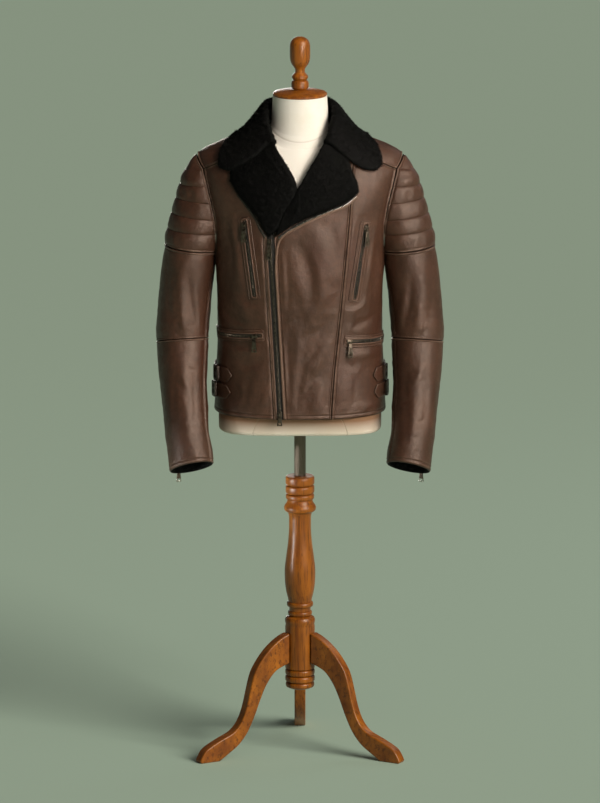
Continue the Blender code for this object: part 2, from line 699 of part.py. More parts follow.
def collar_point(share, width):
    """Leather side of the collar: width 0 at the neck seam, COLLAR_ROLL at the roll, 1 at the edge."""
    reach = abs(share)
    side = 1 if share >= 0 else -1
    seam = shoulder_point(*neck_seam(reach)) + Vector((0.0, 0.0, COLLAR_SEAM_LIFT))
    roll, fall, edge = [Vector([COLLAR(f"{stage}_{axis}", reach) for axis in "xyz"])
                        for stage in ("roll", "fall", "edge")]
    out = (edge - roll).to_2d().normalized().to_3d() * COLLAR_LEAN
    if width < COLLAR_ROLL:
        t = width / COLLAR_ROLL
        stages = (seam, seam + Vector((0.0, 0.0, (roll.z - seam.z) * 0.5)), roll - out, roll)
    else:
        t = (width - COLLAR_ROLL) / (1 - COLLAR_ROLL)
        after = roll + out * 1.5
        stages = (roll, after, (fall * 8 - roll - after * 3 - edge) / 3, edge)
    weights = ((1 - t) ** 3, 3 * t * (1 - t) ** 2, 3 * t ** 2 * (1 - t), t ** 3)
    point = sum((p * w for p, w in zip(stages, weights)), Vector())
    return Vector((point.x * side, point.y, point.z))


def collar(shop):
    """The collar as one shearling wall, its pile towards the neck and outwards on the fall."""
    columns = spread(-COLLAR_END, COLLAR_END, COLLAR_COLUMNS)
    grid = [[with_normal(collar_point, share, width, 0.01, 0.01) for share in columns]
            for width in spread(0.0, 1.0, COLLAR_ROWS)]
    shop.add("collar", wall_mesh("collar", grid, 0.0, SHEARLING), "shearling")


def curve(points):
    """A smooth curve through (x, z) points, read by its share of their length."""
    lengths = [0.0]
    for (x0, z0), (x1, z1) in zip(points, points[1:]):
        lengths.append(lengths[-1] + sqrt((x1 - x0) ** 2 + (z1 - z0) ** 2))
    table = Table("share x z", *[(length / lengths[-1], x, z) for length, (x, z) in zip(lengths, points)])
    return lambda share: Vector((table("x", share), table("z", share)))


def lapel_grid(outline):
    """Grid of a lapel on the front: a patch between its four edges."""
    gorge, outer = curve(outline["gorge"]), curve(outline["outer"])
    lower, roll = curve(outline["lower"]), curve(outline["roll"])
    grid = []
    for v in spread(0.0, 1.0, LAPEL_ROWS):
        row = []
        for u in spread(0.0, 1.0, LAPEL_COLUMNS):
            ruled = gorge(u) * (1 - v) + lower(u) * v + roll(v) * (1 - u) + outer(v) * u
            corners = (gorge(0) * (1 - u) + gorge(1) * u) * (1 - v) + (lower(0) * (1 - u) + lower(1) * u) * v
            flat = ruled - corners
            point, normal = on_front(flat.x, flat.y)
            row.append((point + normal * (LAPEL_ROLL_LIFT - LAPEL_LIFT) * max(0.0, 1 - 3 * u), normal))
        grid.append(row)
    return grid


def lapels(shop):
    """The turned-back tops of the fronts, pile outwards."""
    for name, outline in (("lapel_left", LEFT_LAPEL), ("lapel_right", RIGHT_LAPEL)):
        wall = wall_mesh(name, lapel_grid(outline), LAPEL_LIFT, LAPEL_LIFT + SHEARLING)
        shop.add(name, wall, "shearling")


# ----------------------------------------------------- zips, sliders and pulls

TAPE = 1.9                          # thickness of a zip's tape and teeth
TAPE_WIDTH = 9.0
HIP_LIFT = 1.0                      # the front turns most sharply under the hip zips
CENTRE_TAPE_WIDTH = 16.6
LAPEL_TAPE_WIDTH = 6.0
SLIDER = Vector((10.0, 12.0, 4.2))  # across the zip, along it, off it
SLIDER_CORNER = 1.2
BRIDGE_INSET = 3.0
BRIDGE_HEIGHT = 3.0
PULL_THICKNESS = 1.8
PULL_HINGE_DROP = 5.6               # from a slider's middle down to its pull's hinge
PULL_HINGE_OUT = 1.6                # from a slider's plate out to its pull's hinge
PULL_HEAD = 0.9                     # tab above its hinge
PULL_TOP_WIDTH, PULL_FOOT_WIDTH = 6.5, 11.0
PULL_WINDOW = Vector((5.0, 4.0))
CUFF_ZIP_TURN = -60.0
CUFF_ZIP_TOP = 745.0
CUFF_ZIP_FOOT = 651.0

CHEST_ZIPS = {"right": ((-118.0, 1184.0), (-97.0, 1023.0)), "left": ((140.0, 1173.0), (116.0, 1015.0))}
HIP_ZIPS = {"right": ((-84.0, 936.0), (-169.0, 928.0)), "left": ((101.0, 922.5), (173.0, 915.6))}
CHEST_SLIDER_SHARE = 0.05           # how far along its zip a slider stands
HIP_SLIDER_SHARES = {"right": 0.13, "left": 0.045}
LAPEL_ZIPS = {
    "left": ((-45.0, 1152.0), (-8.0, 1177.0), (26.0, 1194.0), (60.0, 1208.0), (94.0, 1220.0), (120.0, 1238.0)),
    "right": ((-73.0, 1152.0), (-84.0, 1169.0), (-92.0, 1187.0), (-101.0, 1201.0), (-119.0, 1224.0),
              (-132.0, 1240.0)),
}
PULLS = {
    # slider: length of its pull tab
    "front_top": 34.0, "front_foot": 19.0, "chest_left": 31.0, "chest_right": 31.0,
    "hip_left": 29.0, "hip_right": 29.0, "cuff_left": 19.0, "cuff_right": 19.0,
}


def band(path, widths):
    """Grid of a band along (point, normal) stations: two edges, each half a width away."""
    grid = []
    for index, (point, normal) in enumerate(path):
        before, after = path[max(0, index - 1)][0], path[min(len(path) - 1, index + 1)][0]
        across = normal.cross(after - before).normalized() * widths[index] / 2
        grid.append([(point - across, normal), (point + across, normal)])
    return grid


def front_line(start, end, steps):
    """Stations on the front from one (x, z) to another."""
    return [on_front(start[0] + (end[0] - start[0]) * s, start[1] + (end[1] - start[1]) * s)
            for s in spread(0.0, 1.0, steps)]


def slider_mesh(name, station, along):
    """A zip slider on a station: a tapered plate with a bridge for its pull."""
    point, normal = station
    across = along.cross(normal).normalized()
    bm = bmesh.new()
    bmesh.ops.create_cube(bm, size=1.0, matrix=Matrix.Diagonal((*SLIDER, 1.0)))
    for vertex in bm.verts:
        vertex.co.x *= 1.0 if vertex.co.y > 0 else 0.75
    corners = [e for e in bm.edges if abs(e.verts[0].co.z - e.verts[1].co.z) > 1]
    top = max(bm.faces, key=lambda f: f.calc_center_median().z)
    bmesh.ops.inset_individual(bm, faces=[top], thickness=BRIDGE_INSET)
    raised = bmesh.ops.extrude_discrete_faces(bm, faces=[top])["faces"][0]
    bmesh.ops.translate(bm, verts=raised.verts, vec=(0.0, 0.0, BRIDGE_HEIGHT))
    bmesh.ops.bevel(bm, geom=corners, offset=SLIDER_CORNER, segments=1, affect="EDGES")
    centre = point + normal * (SLIDER.z / 2)
    frame = Matrix((across, along, normal)).transposed().to_4x4()
    bm.transform(Matrix.Translation(centre) @ frame)
    return finished(name, bm, MM)


def pull_tab(shop, name, station, length):
    """A tapered tab with a window, hanging from its slider; its origin is on its hinge."""
    point, normal = station
    facing = Vector((normal.x, normal.y, 0.0)).normalized()
    hinge = point + normal * (SLIDER.z + PULL_HINGE_OUT) - Vector((0.0, 0.0, PULL_HINGE_DROP))
    top, foot = PULL_TOP_WIDTH / 2, PULL_FOOT_WIDTH / 2
    outline = [(-top, PULL_HEAD), (-foot, 1.5 - length), (1.5 - foot, -length), (foot - 1.5, -length),
               (foot, 1.5 - length), (top, PULL_HEAD)]
    window_x, window_foot = PULL_WINDOW.x / 2, 3.0 - length
    window = [(-window_x, window_foot), (window_x, window_foot), (window_x, window_foot + PULL_WINDOW.y),
              (-window_x, window_foot + PULL_WINDOW.y)]
    shape = bpy.data.curves.new(name, "CURVE")
    shape.dimensions = "2D"
    shape.fill_mode = "BOTH"
    shape.extrude = PULL_THICKNESS / 2 * MM
    for points in (outline, window):
        spline = shape.splines.new("POLY")
        spline.points.add(len(points) - 1)
        for target, (x, y) in zip(spline.points, points):
            target.co = (x * MM, y * MM, 0.0, 1.0)
        spline.use_cyclic_u = True
    tab = bpy.data.objects.new(name, shape)
    up = Vector((0.0, 0.0, 1.0))
    tab.matrix_world = (Matrix.Translation(hinge * MM)
                        @ Matrix((up.cross(facing), up, facing)).transposed().to_4x4())
    tab.data.materials.append(shop.finishes["metal"].material)
    tab.parent = shop.root
    shop.parts.objects.link(tab)


def tape(shop, name, path, width, low=LIFT):
    """A strip of zip along a path."""
    mesh = wall_mesh(name, band(path, [width] * len(path)), low, low + TAPE)
    shop.add(name, mesh, "tape")


def slider(shop, name, station, along, height):
    """A slider with its pull, the slider's foot at a height above a station's surface."""
    seat = (station[0] + station[1] * height, station[1])
    along = (along - station[1] * along.dot(station[1])).normalized()
    shop.add(f"slider_{name}", slider_mesh(name, seat, along), "metal", smooth_angle=30.0)
    pull_tab(shop, f"pull_{name}", seat, PULLS[name])


def zips(shop):
    """Every zip with its slider and pull."""
    centre_low = -1.3
    levels = LOW_LEVELS + (1078.0, 1092.0, 1106.0, 1125.0, 1146.0)
    path = [on_front(zip_x(z), z) for z in levels]
    tape(shop, "zip_front", path, CENTRE_TAPE_WIDTH, centre_low)
    rise = path[-1][0] - path[0][0]
    on_tape = SEAM_GAP + TAPE
    slider(shop, "front_top", on_front(zip_x(1143.0), 1143.0), rise, centre_low + on_tape)
    slider(shop, "front_foot", on_front(zip_x(767.0), 767.0), rise, centre_low + on_tape)

    for side, points in LAPEL_ZIPS.items():
        line = curve(points)
        stations = [on_front(*line(s)) for s in spread(0.0, 1.0, 8)]
        tape(shop, f"zip_lapel_{side}", stations, LAPEL_TAPE_WIDTH)
    for side, (top, foot) in CHEST_ZIPS.items():
        path = front_line(top, foot, 6)
        tape(shop, f"zip_chest_{side}", path, TAPE_WIDTH)
        share = CHEST_SLIDER_SHARE
        station = on_front(top[0] + (foot[0] - top[0]) * share, top[1] + (foot[1] - top[1]) * share)
        slider(shop, f"chest_{side}", station, path[0][0] - path[-1][0], LIFT + on_tape)
    for side, (inner, outer) in HIP_ZIPS.items():
        path = front_line(inner, outer, 8)
        tape(shop, f"zip_hip_{side}", path, TAPE_WIDTH, HIP_LIFT)
        share = HIP_SLIDER_SHARES[side]
        station = on_front(inner[0] + (outer[0] - inner[0]) * share, inner[1] + (outer[1] - inner[1]) * share)
        slider(shop, f"hip_{side}", station, path[0][0] - path[-1][0], HIP_LIFT + on_tape)

    cuff = [on_sleeve(CUFF_ZIP_TURN, level) for level in spread(CUFF_ZIP_TOP, CUFF_ZIP_FOOT, 4)]
    for side, path in (("left", cuff), ("right", mirrored([cuff])[0])):
        tape(shop, f"zip_cuff_{side}", path, TAPE_WIDTH)
        slider(shop, f"cuff_{side}", path[-1], path[0][0] - path[-1][0], LIFT + on_tape)


# ------------------------------------------------------------- side adjusters

STRAPS = {
    # strap: height of its middle, turn of its tip, turn of its buckle
    "upper_left": (842.0, 57.5, 78.0), "lower_left": (805.5, 58.0, 82.0),
    "upper_right": (842.0, 51.0, 73.0), "lower_right": (805.5, 52.0, 77.0),
}
STRAP_HEIGHT = 31.0
STRAP_BACK_TURN = 116.0
STRAP_LIFT = 0.9
STRAP_THICKNESS = 2.6
STRAP_STEPS = 13
BUCKLE_HALF_LENGTH, BUCKLE_HALF_HEIGHT = 12.5, 17.0
BUCKLE_BAR = 5.5
BUCKLE_LOW, BUCKLE_HIGH = STRAP_LIFT + STRAP_THICKNESS + 0.3, 8.6
BUCKLE_CORNER = 5.0
PRONG_WIDTH = 3.6


def side_station(turn, z, along=0.0, up=0.0):
    """Station on the left side at millimetres along the body and up from a turn and a height."""
    step = (body_point(turn + 0.5, z) - body_point(turn - 0.5, z)).length
    return on_body(turn + along / step, z + up)


def buckle_loop(turn, z, inset):
    """Stations of a rounded oblong about a buckle's middle."""
    half = (BUCKLE_HALF_LENGTH - inset, BUCKLE_HALF_HEIGHT - inset)
    round_off = max(1.0, BUCKLE_CORNER - inset)
    stations = []
    for across, up in ((1, 1), (-1, 1), (-1, -1), (1, -1)):
        corner = [(half[0] * across, (half[1] - round_off) * up), ((half[0] - round_off) * across, half[1] * up)]
        for along, rise in corner if across == up else corner[::-1]:
            stations.append(side_station(turn, z, along, rise))
    return stations


def side_straps(shop):
    """Two straps a side, each through a covered buckle with a prong."""
    for side, (z, tip_turn, turn) in STRAPS.items():
        flip = mirrored if side.endswith("right") else list
        turns = spread(tip_turn, STRAP_BACK_TURN, STRAP_STEPS)
        widths = [STRAP_HEIGHT * 0.3, STRAP_HEIGHT * 0.96] + [STRAP_HEIGHT] * (STRAP_STEPS - 1)
        strap = flip(band([on_body(t, z) for t in turns], widths))
        mesh = wall_mesh(f"strap_{side}", strap, STRAP_LIFT, STRAP_LIFT + STRAP_THICKNESS)
        shop.add(f"strap_{side}", mesh, "leather")
        loop = flip([buckle_loop(turn, z, 0.0), buckle_loop(turn, z, BUCKLE_BAR)])
        mesh = wall_mesh(f"buckle_{side}", loop, BUCKLE_LOW, BUCKLE_HIGH, closed=True)
        buckle = shop.add(f"buckle_{side}", mesh, "leather")
        reach = BUCKLE_HALF_LENGTH - 2.0
        bar = [side_station(turn, z, along) for along in spread(-reach, reach, 2)]
        prong = flip(band(bar, [PRONG_WIDTH] * len(bar)))
        tool = wall_mesh(f"prong_{side}", prong, BUCKLE_LOW + 1.0, BUCKLE_HIGH - 1.0)
        shop.boolean(buckle, shop.cutter(f"prong_{side}", tool), "UNION")


# ----------------------------------------------------------------------- form

FORM = Table(
    "z width front back power",
    (FORM_BOTTOM_Z, 174.6, 106.0, 104.0, 3.8), (740.0, 174.6, 108.0, 105.0, 3.3), (756.0, 174.2, 109.0, 106.0, 2.85),
    (775.0, 173.5, 111.0, 107.0, 2.55),
    (830.0, 171.0, 111.0, 107.0, 2.25), (920.0, 167.0, 108.0, 102.0, 2.25), (1000.0, 167.0, 113.0, 107.0, 2.25),
    (ARMPIT_Z, 171.0, 119.0, 114.0, 2.25), (1150.0, 180.0, 118.0, 118.0, 2.25), (CHEST_Z, 192.0, 114.0, 117.0, 2.25),
)
FORM_COLUMNS = 24
FORM_EDGE = 8.0                    # rounding of the form's lower edge
FORM_UNDER_RIDGE = 4.2              # its shoulders lie this far under the jacket's ridge
FORM_SHOULDER_ROUND = 12            # the higher, the squarer the shoulder's end
FORM_RIDGE = Table(
    "x z",
    (0.0, 1368.0), (60.0, 1359.0), (90.0, 1354.5), (120.0, 1354.0 - FORM_UNDER_RIDGE),
    (165.0, 1338.5 - FORM_UNDER_RIDGE), (192.0, 1327.0 - FORM_UNDER_RIDGE),
)
NECK_RADIUS = 61.0
NECK_TOP_RADIUS = 58.0
NECK_TOP_Z = 1437.0
NECK_FILLET = 20.0


def form_section(turn, z):
    """Plan point of the form at a turn and a height up to the chest."""
    across, along = sin(radians(turn)), cos(radians(turn))
    depth = FORM("front", z) if along > 0 else FORM("back", z)
    power = FORM("power", z)
    x = FORM("width", z) * abs(across) ** (2 / power) * (1 if across >= 0 else -1)
    y = -depth * abs(along) ** (2 / power) * (1 if along >= 0 else -1)
    return x, y


def form_height(x, y):
    """Height of the form's shoulders over a plan point."""
    width, power = FORM("width", CHEST_Z), FORM("power", CHEST_Z)
    share = min(1.0, abs(x) / width)
    depth = (FORM("front", CHEST_Z) if y < RIDGE_Y else FORM("back", CHEST_Z))
    edge = depth * (1 - share ** power) ** (1 / power) * (-1 if y < RIDGE_Y else 1)
    over = 1.0 if abs(edge - RIDGE_Y) < 1e-6 else min(1.0, abs((y - RIDGE_Y) / (edge - RIDGE_Y)))
    rise = FORM_RIDGE("z", abs(x)) - CHEST_Z
    return CHEST_Z + rise * sqrt(1 - over ** 2) * (1 - share ** FORM_SHOULDER_ROUND) ** (1 / FORM_SHOULDER_ROUND)


def form_rings():
    """Rings of the form from its lower edge to the top of its neck."""
    turns = [360.0 * c / FORM_COLUMNS for c in range(FORM_COLUMNS)]
    rings = []
    for step in range(4):
        angle = radians(30.0 * step)
        inset = FORM_EDGE * (1 - sin(angle))
        z = FORM_BOTTOM_Z + FORM_EDGE * (1 - cos(angle))
        ring = [form_section(turn, z) for turn in turns]
        rings.append([Vector((x, y, 0.0)) * (1 - inset / 150.0) + Vector((0.0, 0.0, z)) for x, y in ring])
    for z in (740.0, 757.0, 775.0, 800.0, 850.0, 920.0, 985.0, 1040.0, 1090.0, 1150.0, CHEST_Z):
        rings.append([Vector((*form_section(turn, z), z)) for turn in turns])
    for share in (0.03, 0.09, 0.18, 0.30, 0.44, 0.58, 0.72, 0.85, 0.94, 1.0):
        ring = []
        for turn in turns:
            x0, y0 = form_section(turn, CHEST_Z)
            x = x0 + (NECK_RADIUS * sin(radians(turn)) - x0) * share
            y = y0 + (-NECK_RADIUS * cos(radians(turn)) - y0) * share
            fillet = NECK_FILLET * max(0.0, (share - 0.85) / 0.15) ** 2
            ring.append(Vector((x, y, form_height(x, y) + fillet)))
        rings.append(ring)
    for radius, z in ((NECK_RADIUS - 0.6, 1394.0), (NECK_TOP_RADIUS, NECK_TOP_Z)):
        rings.append([Vector((radius * sin(radians(t)), -radius * cos(radians(t)), z)) for t in turns])
    return rings


def rod_mesh(name, radius, low, high, segments=24):
    """A round rod on the stand's axis."""
    bm = bmesh.new()
    bmesh.ops.create_cone(bm, cap_ends=True, segments=segments, radius1=radius, radius2=radius,
                          depth=high - low, matrix=Matrix.Translation((0.0, 0.0, (low + high) / 2)))
    return finished(name, bm, MM)


def dress_form(shop):
    """The form with a socket for its pole, its neck cap and its finial."""
    form = shop.add("dress_form", loft_mesh("dress_form", form_rings()), "form", smooth_angle=60.0)
    socket = rod_mesh("socket", POLE_RADIUS + POLE_FIT, FORM_BOTTOM_Z - 30.0, POLE_TOP_Z + POLE_FIT)
    shop.boolean(form, shop.cutter("socket", socket))
    turned(shop, "neck_cap", NECK_CAP)
    turned(shop, "finial", FINIAL)


# ---------------------------------------------------------------------- stand

POLE_FOOT_Z = 306.0
POLE_TOP_Z = 905.0
BORE_FOOT_Z = 200.0
TURNED_SEGMENTS = 20

NECK_CAP = ((0.0, 1450.0), (19.0, 1449.8), (44.0, 1447.0), (55.5, 1444.0), (58.0, 1441.5), (58.0, 1439.0),
            (56.5, NECK_TOP_Z + 0.3), (0.0, NECK_TOP_Z + 0.3))
FINIAL = ((0.0, 1564.0), (10.0, 1562.0), (18.0, 1556.0), (21.6, 1545.0), (21.6, 1518.0), (18.0, 1505.0),
          (11.0, 1495.0), (10.5, 1487.0), (17.5, 1476.0), (14.0, 1470.0), (18.0, 1464.0), (18.0, 1455.0),
          (15.0, 1450.3), (0.0, 1450.3))


def ring_of(high, low, radius, groove):
    """Profile of a turned ring from its upper groove, the lower groove left to the next one."""
    edge = min(3.0, (high - low) / 3)
    return ((groove, high), (radius, high - edge), (radius, low + edge))


COLUMN = (
    ((0.0, COLUMN_TOP_Z),)
    + ring_of(COLUMN_TOP_Z, 586.0, 31.0, 28.5)
    + ring_of(586.0, 567.5, 31.0, 27.5)
    + ring_of(567.5, 554.0, 30.5, 27.5)
    + ((27.0, 554.0), (29.5, 547.0), (34.4, 537.0), (33.5, 531.0), (26.0, 526.0), (23.7, 515.0), (23.7, 495.0),
       (25.6, 462.0), (29.7, 430.0), (33.2, 395.0), (32.6, 373.0), (30.0, 352.0), (25.0, 332.0))
    + ring_of(329.0, 317.0, 28.4, 25.0)
    + ((23.0, 314.0),)
    + ring_of(309.0, 297.5, 26.0, 23.0)
    + ((24.5, 297.0), (32.5, 289.5), (31.0, 279.0), (32.0, 274.0))
    + ((32.0, 182.0),)
    + ring_of(180.0, 165.5, 32.0, 29.5)
    + ring_of(165.5, 151.0, 32.0, 29.5)
    + ring_of(151.0, 138.5, 31.0, 29.0)
    + ((22.0, 136.3), (0.0, 136.3))
)
LEG_THICKNESS = 24.0
LEG_SEAT = 32.5                     # the column's radius and a touch, where a leg meets it
LEG_TOP = Table(
    "s z",
    (LEG_SEAT, 262.5), (50.5, 255.0), (80.6, 234.0), (104.7, 207.0), (119.7, 182.0), (128.8, 151.0), (137.8, 115.0),
    (149.8, 84.0), (170.9, 60.0), (201.0, 47.0), (225.0, 36.0), (240.0, 27.0), (249.0, 14.0), (FOOT_RADIUS, 4.0),
)
LEG_UNDER = Table(
    "s z",
    (LEG_SEAT, 197.0), (64.2, 184.0), (88.2, 157.0), (103.3, 127.0), (118.3, 91.0), (136.4, 56.0), (157.4, 31.5),
    (184.5, 13.0), (205.6, 0.0),
)
LEG_TURNS = {"left": -30.0, "right": 210.0, "back": 90.0}


def turned(shop, name, profile, segments=TURNED_SEGMENTS):
    """A part turned about the stand's axis from its outer profile, top to bottom."""
    mesh = bpy.data.meshes.new(name)
    bm = bmesh.new()
    points = [bm.verts.new((radius * MM, 0.0, z * MM)) for radius, z in profile]
    for upper, lower in zip(points, points[1:]):
        bm.edges.new((upper, lower))
    bm.to_mesh(mesh)
    bm.free()
    part = shop.add(name, mesh, "wood")
    screw = part.modifiers.new("turning", "SCREW")
    screw.axis = "Z"
    screw.steps = segments
    screw.render_steps = segments
    screw.use_merge_vertices = True
    screw.merge_threshold = 1e-5
    return part


def stand(shop):
    """The pole, the bored column and the three sawn legs."""
    shop.add("pole", rod_mesh("pole", POLE_RADIUS, POLE_FOOT_Z, POLE_TOP_Z), "steel")
    column = turned(shop, "column", COLUMN)
    bore = rod_mesh("bore", POLE_RADIUS + POLE_FIT, BORE_FOOT_Z, COLUMN_TOP_Z + 20.0)
    shop.boolean(column, shop.cutter("bore", bore))
    outline = [(s, LEG_TOP("z", s)) for s in spread(LEG_SEAT, FOOT_RADIUS, 16)]
    outline += [(FOOT_RADIUS - 4.0, 0.0)]
    outline += [(s, LEG_UNDER("z", s)) for s in reversed(spread(LEG_SEAT, 205.6, 11))]
    for name, turn in LEG_TURNS.items():
        shape = bpy.data.curves.new(f"leg_{name}", "CURVE")
        shape.dimensions = "2D"
        shape.fill_mode = "BOTH"
        shape.extrude = LEG_THICKNESS / 2 * MM
        spline = shape.splines.new("POLY")
        spline.points.add(len(outline) - 1)
        for target, (s, z) in zip(spline.points, outline):
            target.co = (s * MM, z * MM, 0.0, 1.0)
        spline.use_cyclic_u = True
        leg = bpy.data.objects.new(f"leg_{name}", shape)
        leg.rotation_euler = (pi / 2, 0.0, radians(turn))
        leg.data.materials.append(shop.finishes["wood"].material)
        leg.parent = shop.root
        shop.parts.objects.link(leg)


def main():
    """Build the jacket, the form and the stand."""
    shop = Workshop()
    stand(shop)
    dress_form(shop)
    front_panels(shop)
    back_panel(shop)
    sleeves(shop)
    collar(shop)
    lapels(shop)
    zips(shop)
    side_straps(shop)


if __name__ == "__main__":
    main()
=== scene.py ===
"""Fine surfaces and finishes of a shearling biker jacket on its dress form and wooden tripod.

Lengths are millimetres from the stand's axis on the floor, with the wearer's front
towards -Y and the wearer's left at +X; a mesh is made in metres in the frame of the
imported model. The leather panels are cut from one body surface and one sleeve surface.
Each panel is a grid that is fine along its seams, and stands proud of its surface by
the sum of its seams, its puff and its folds. What lies on a panel is made from the
same surface.
"""

import json
import logging
import math
from dataclasses import dataclass, field
from enum import Enum
from typing import Callable, Sequence

import bmesh
import bpy
import numpy as np
from mathutils import Matrix, Vector

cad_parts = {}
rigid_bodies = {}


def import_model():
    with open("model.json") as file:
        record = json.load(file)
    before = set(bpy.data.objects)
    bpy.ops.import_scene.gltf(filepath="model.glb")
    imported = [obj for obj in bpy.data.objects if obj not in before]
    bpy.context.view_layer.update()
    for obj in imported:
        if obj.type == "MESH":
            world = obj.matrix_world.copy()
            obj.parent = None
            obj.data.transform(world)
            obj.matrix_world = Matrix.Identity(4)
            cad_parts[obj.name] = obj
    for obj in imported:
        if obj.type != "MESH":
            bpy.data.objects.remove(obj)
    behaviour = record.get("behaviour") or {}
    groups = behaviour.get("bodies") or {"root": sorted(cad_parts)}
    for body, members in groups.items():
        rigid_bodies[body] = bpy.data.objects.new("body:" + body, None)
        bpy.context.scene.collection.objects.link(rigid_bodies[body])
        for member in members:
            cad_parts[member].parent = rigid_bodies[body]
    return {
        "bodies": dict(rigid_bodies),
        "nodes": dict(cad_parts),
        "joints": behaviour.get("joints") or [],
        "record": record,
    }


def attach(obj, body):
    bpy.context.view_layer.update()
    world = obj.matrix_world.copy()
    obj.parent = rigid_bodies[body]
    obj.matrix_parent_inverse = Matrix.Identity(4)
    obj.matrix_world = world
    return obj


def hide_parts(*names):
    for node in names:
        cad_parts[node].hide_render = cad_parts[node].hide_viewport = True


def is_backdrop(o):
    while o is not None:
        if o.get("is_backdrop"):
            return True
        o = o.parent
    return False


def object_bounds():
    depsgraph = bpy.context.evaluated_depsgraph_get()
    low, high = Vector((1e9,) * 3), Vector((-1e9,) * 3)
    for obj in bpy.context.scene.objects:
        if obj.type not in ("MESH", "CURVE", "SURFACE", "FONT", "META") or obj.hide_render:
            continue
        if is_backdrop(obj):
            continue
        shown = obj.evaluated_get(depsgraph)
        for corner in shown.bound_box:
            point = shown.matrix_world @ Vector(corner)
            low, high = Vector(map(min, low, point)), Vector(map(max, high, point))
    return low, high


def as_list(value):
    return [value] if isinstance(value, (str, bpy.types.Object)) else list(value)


MM = 0.001
AXIS_Y = -48.96             # the stand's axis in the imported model's frame
UP = np.array((0.0, 0.0, 1.0))
LOG = logging.getLogger("jacket")

Array = np.ndarray
Rows = tuple[tuple[float, ...], ...]
Surface = Callable[[Array, Array], Array]
Piece = bpy.types.Object
Material = bpy.types.Material
Socket = bpy.types.NodeSocket


# ------------------------------------------------------------------ number tools

def unit(vectors: Array) -> Array:
    """Vectors scaled to a length of one."""
    return vectors / np.maximum(np.linalg.norm(vectors, axis=-1, keepdims=True), 1e-9)


def ease(low: float, high: float, at: Array) -> Array:
    """Smooth step from 0 at low to 1 at high."""
    share = np.clip((at - low) / (high - low), 0.0, 1.0)
    return share * share * (3 - 2 * share)


def lengths(points: Array, axis: int) -> Array:
    """Whole length of each line of a grid of points along an axis."""
    return np.linalg.norm(np.diff(points, axis=axis), axis=-1).sum(axis=axis)


def travelled(points: Array) -> Array:
    """Length travelled at each point of a path."""
    return np.concatenate([[0.0], np.cumsum(np.linalg.norm(np.diff(points, axis=0), axis=-1))])


def spaced(points: Array, *others: Array, pitch: float) -> tuple[Array, ...]:
    """A path and what goes with it, read again at an even pitch."""
    at = travelled(points)
    new = np.linspace(0.0, at[-1], max(2, round(at[-1] / pitch) + 1))
    return tuple(np.stack([np.interp(new, at, column) for column in data.T], axis=-1)
                 for data in (points, *others))


def waves(points: Array, size: float, seed: int, count: int = 9) -> Array:
    """Smooth unevenness from about -1 to 1 with features of a size."""
    rng = np.random.RandomState(seed)
    ways = unit(rng.normal(size=(count, 3))) * (rng.uniform(0.6, 1.7, (count, 1)) * 2 * math.pi / size)
    phases = rng.uniform(0, 2 * math.pi, count)
    return np.sin(points @ ways.T + phases).sum(axis=-1) / math.sqrt(count)


class Curve:
    """Rows of named sizes, read along a smooth curve through the first column."""

    def __init__(self, rows: Rows) -> None:
        """Sort the rows and find their slopes, level where a column turns round."""
        table = np.array(sorted(rows), float)
        self.keys, self.values = table[:, 0], table[:, 1:]
        slopes = np.diff(self.values, axis=0) / np.diff(self.keys)[:, None]
        before, after = slopes[:-1], slopes[1:]
        total = np.where(before + after == 0, 1.0, before + after)
        inner = np.where(before * after > 0, 2 * before * after / total, 0.0)
        self.slopes = np.vstack([slopes[:1], inner, slopes[-1:]])

    def __call__(self, at: Array) -> Array:
        """Every column at given keys.

        Args:
            at: places along the first column, of any shape.

        Returns:
            The other columns, in a last axis added to that shape.
        """
        at = np.clip(np.asarray(at, float), self.keys[0], self.keys[-1])
        i = np.clip(np.searchsorted(self.keys, at, side="right") - 1, 0, len(self.keys) - 2)
        span = (self.keys[i + 1] - self.keys[i])[..., None]
        t = (at - self.keys[i])[..., None] / span
        start = self.values[i] * (1 + 2 * t) * (1 - t) ** 2 + self.slopes[i] * span * t * (1 - t) ** 2
        end = self.values[i + 1] * (3 - 2 * t) * t ** 2 + self.slopes[i + 1] * span * (t - 1) * t ** 2
        return start + end

    def one(self, at: Array, column: int = 0) -> Array:
        """One column at given keys."""
        return self(at)[..., column]


def smooth(keys: Array, columns: Array) -> Curve:
    """A curve through columns of numbers by their keys."""
    return Curve(tuple(map(tuple, np.column_stack([keys, columns]))))


def through(points: Rows) -> Callable[[Array], Array]:
    """A smooth curve through points, read by its share of their length."""
    table = np.array(points)
    at = travelled(table)
    return smooth(at / at[-1], table)


# ------------------------------------------------------------------- mesh tools

def to_frame(points: Array) -> Array:
    """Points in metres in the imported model's frame."""
    return (points + np.array((0.0, AXIS_Y, 0.0))) * MM


def cut_size(points: Array) -> tuple[tuple[float, float], float]:
    """Width and length, and area, of the cloth that a grid of points covers, in metres."""
    flat = float(lengths(points, 1).max()) * MM, float(lengths(points, 0).max()) * MM
    across = np.linalg.norm(np.diff(points, axis=1), axis=-1)[:-1]
    down = np.linalg.norm(np.diff(points, axis=0), axis=-1)[:, :-1]
    return flat, min(float((across * down).sum()) * MM * MM, flat[0] * flat[1])


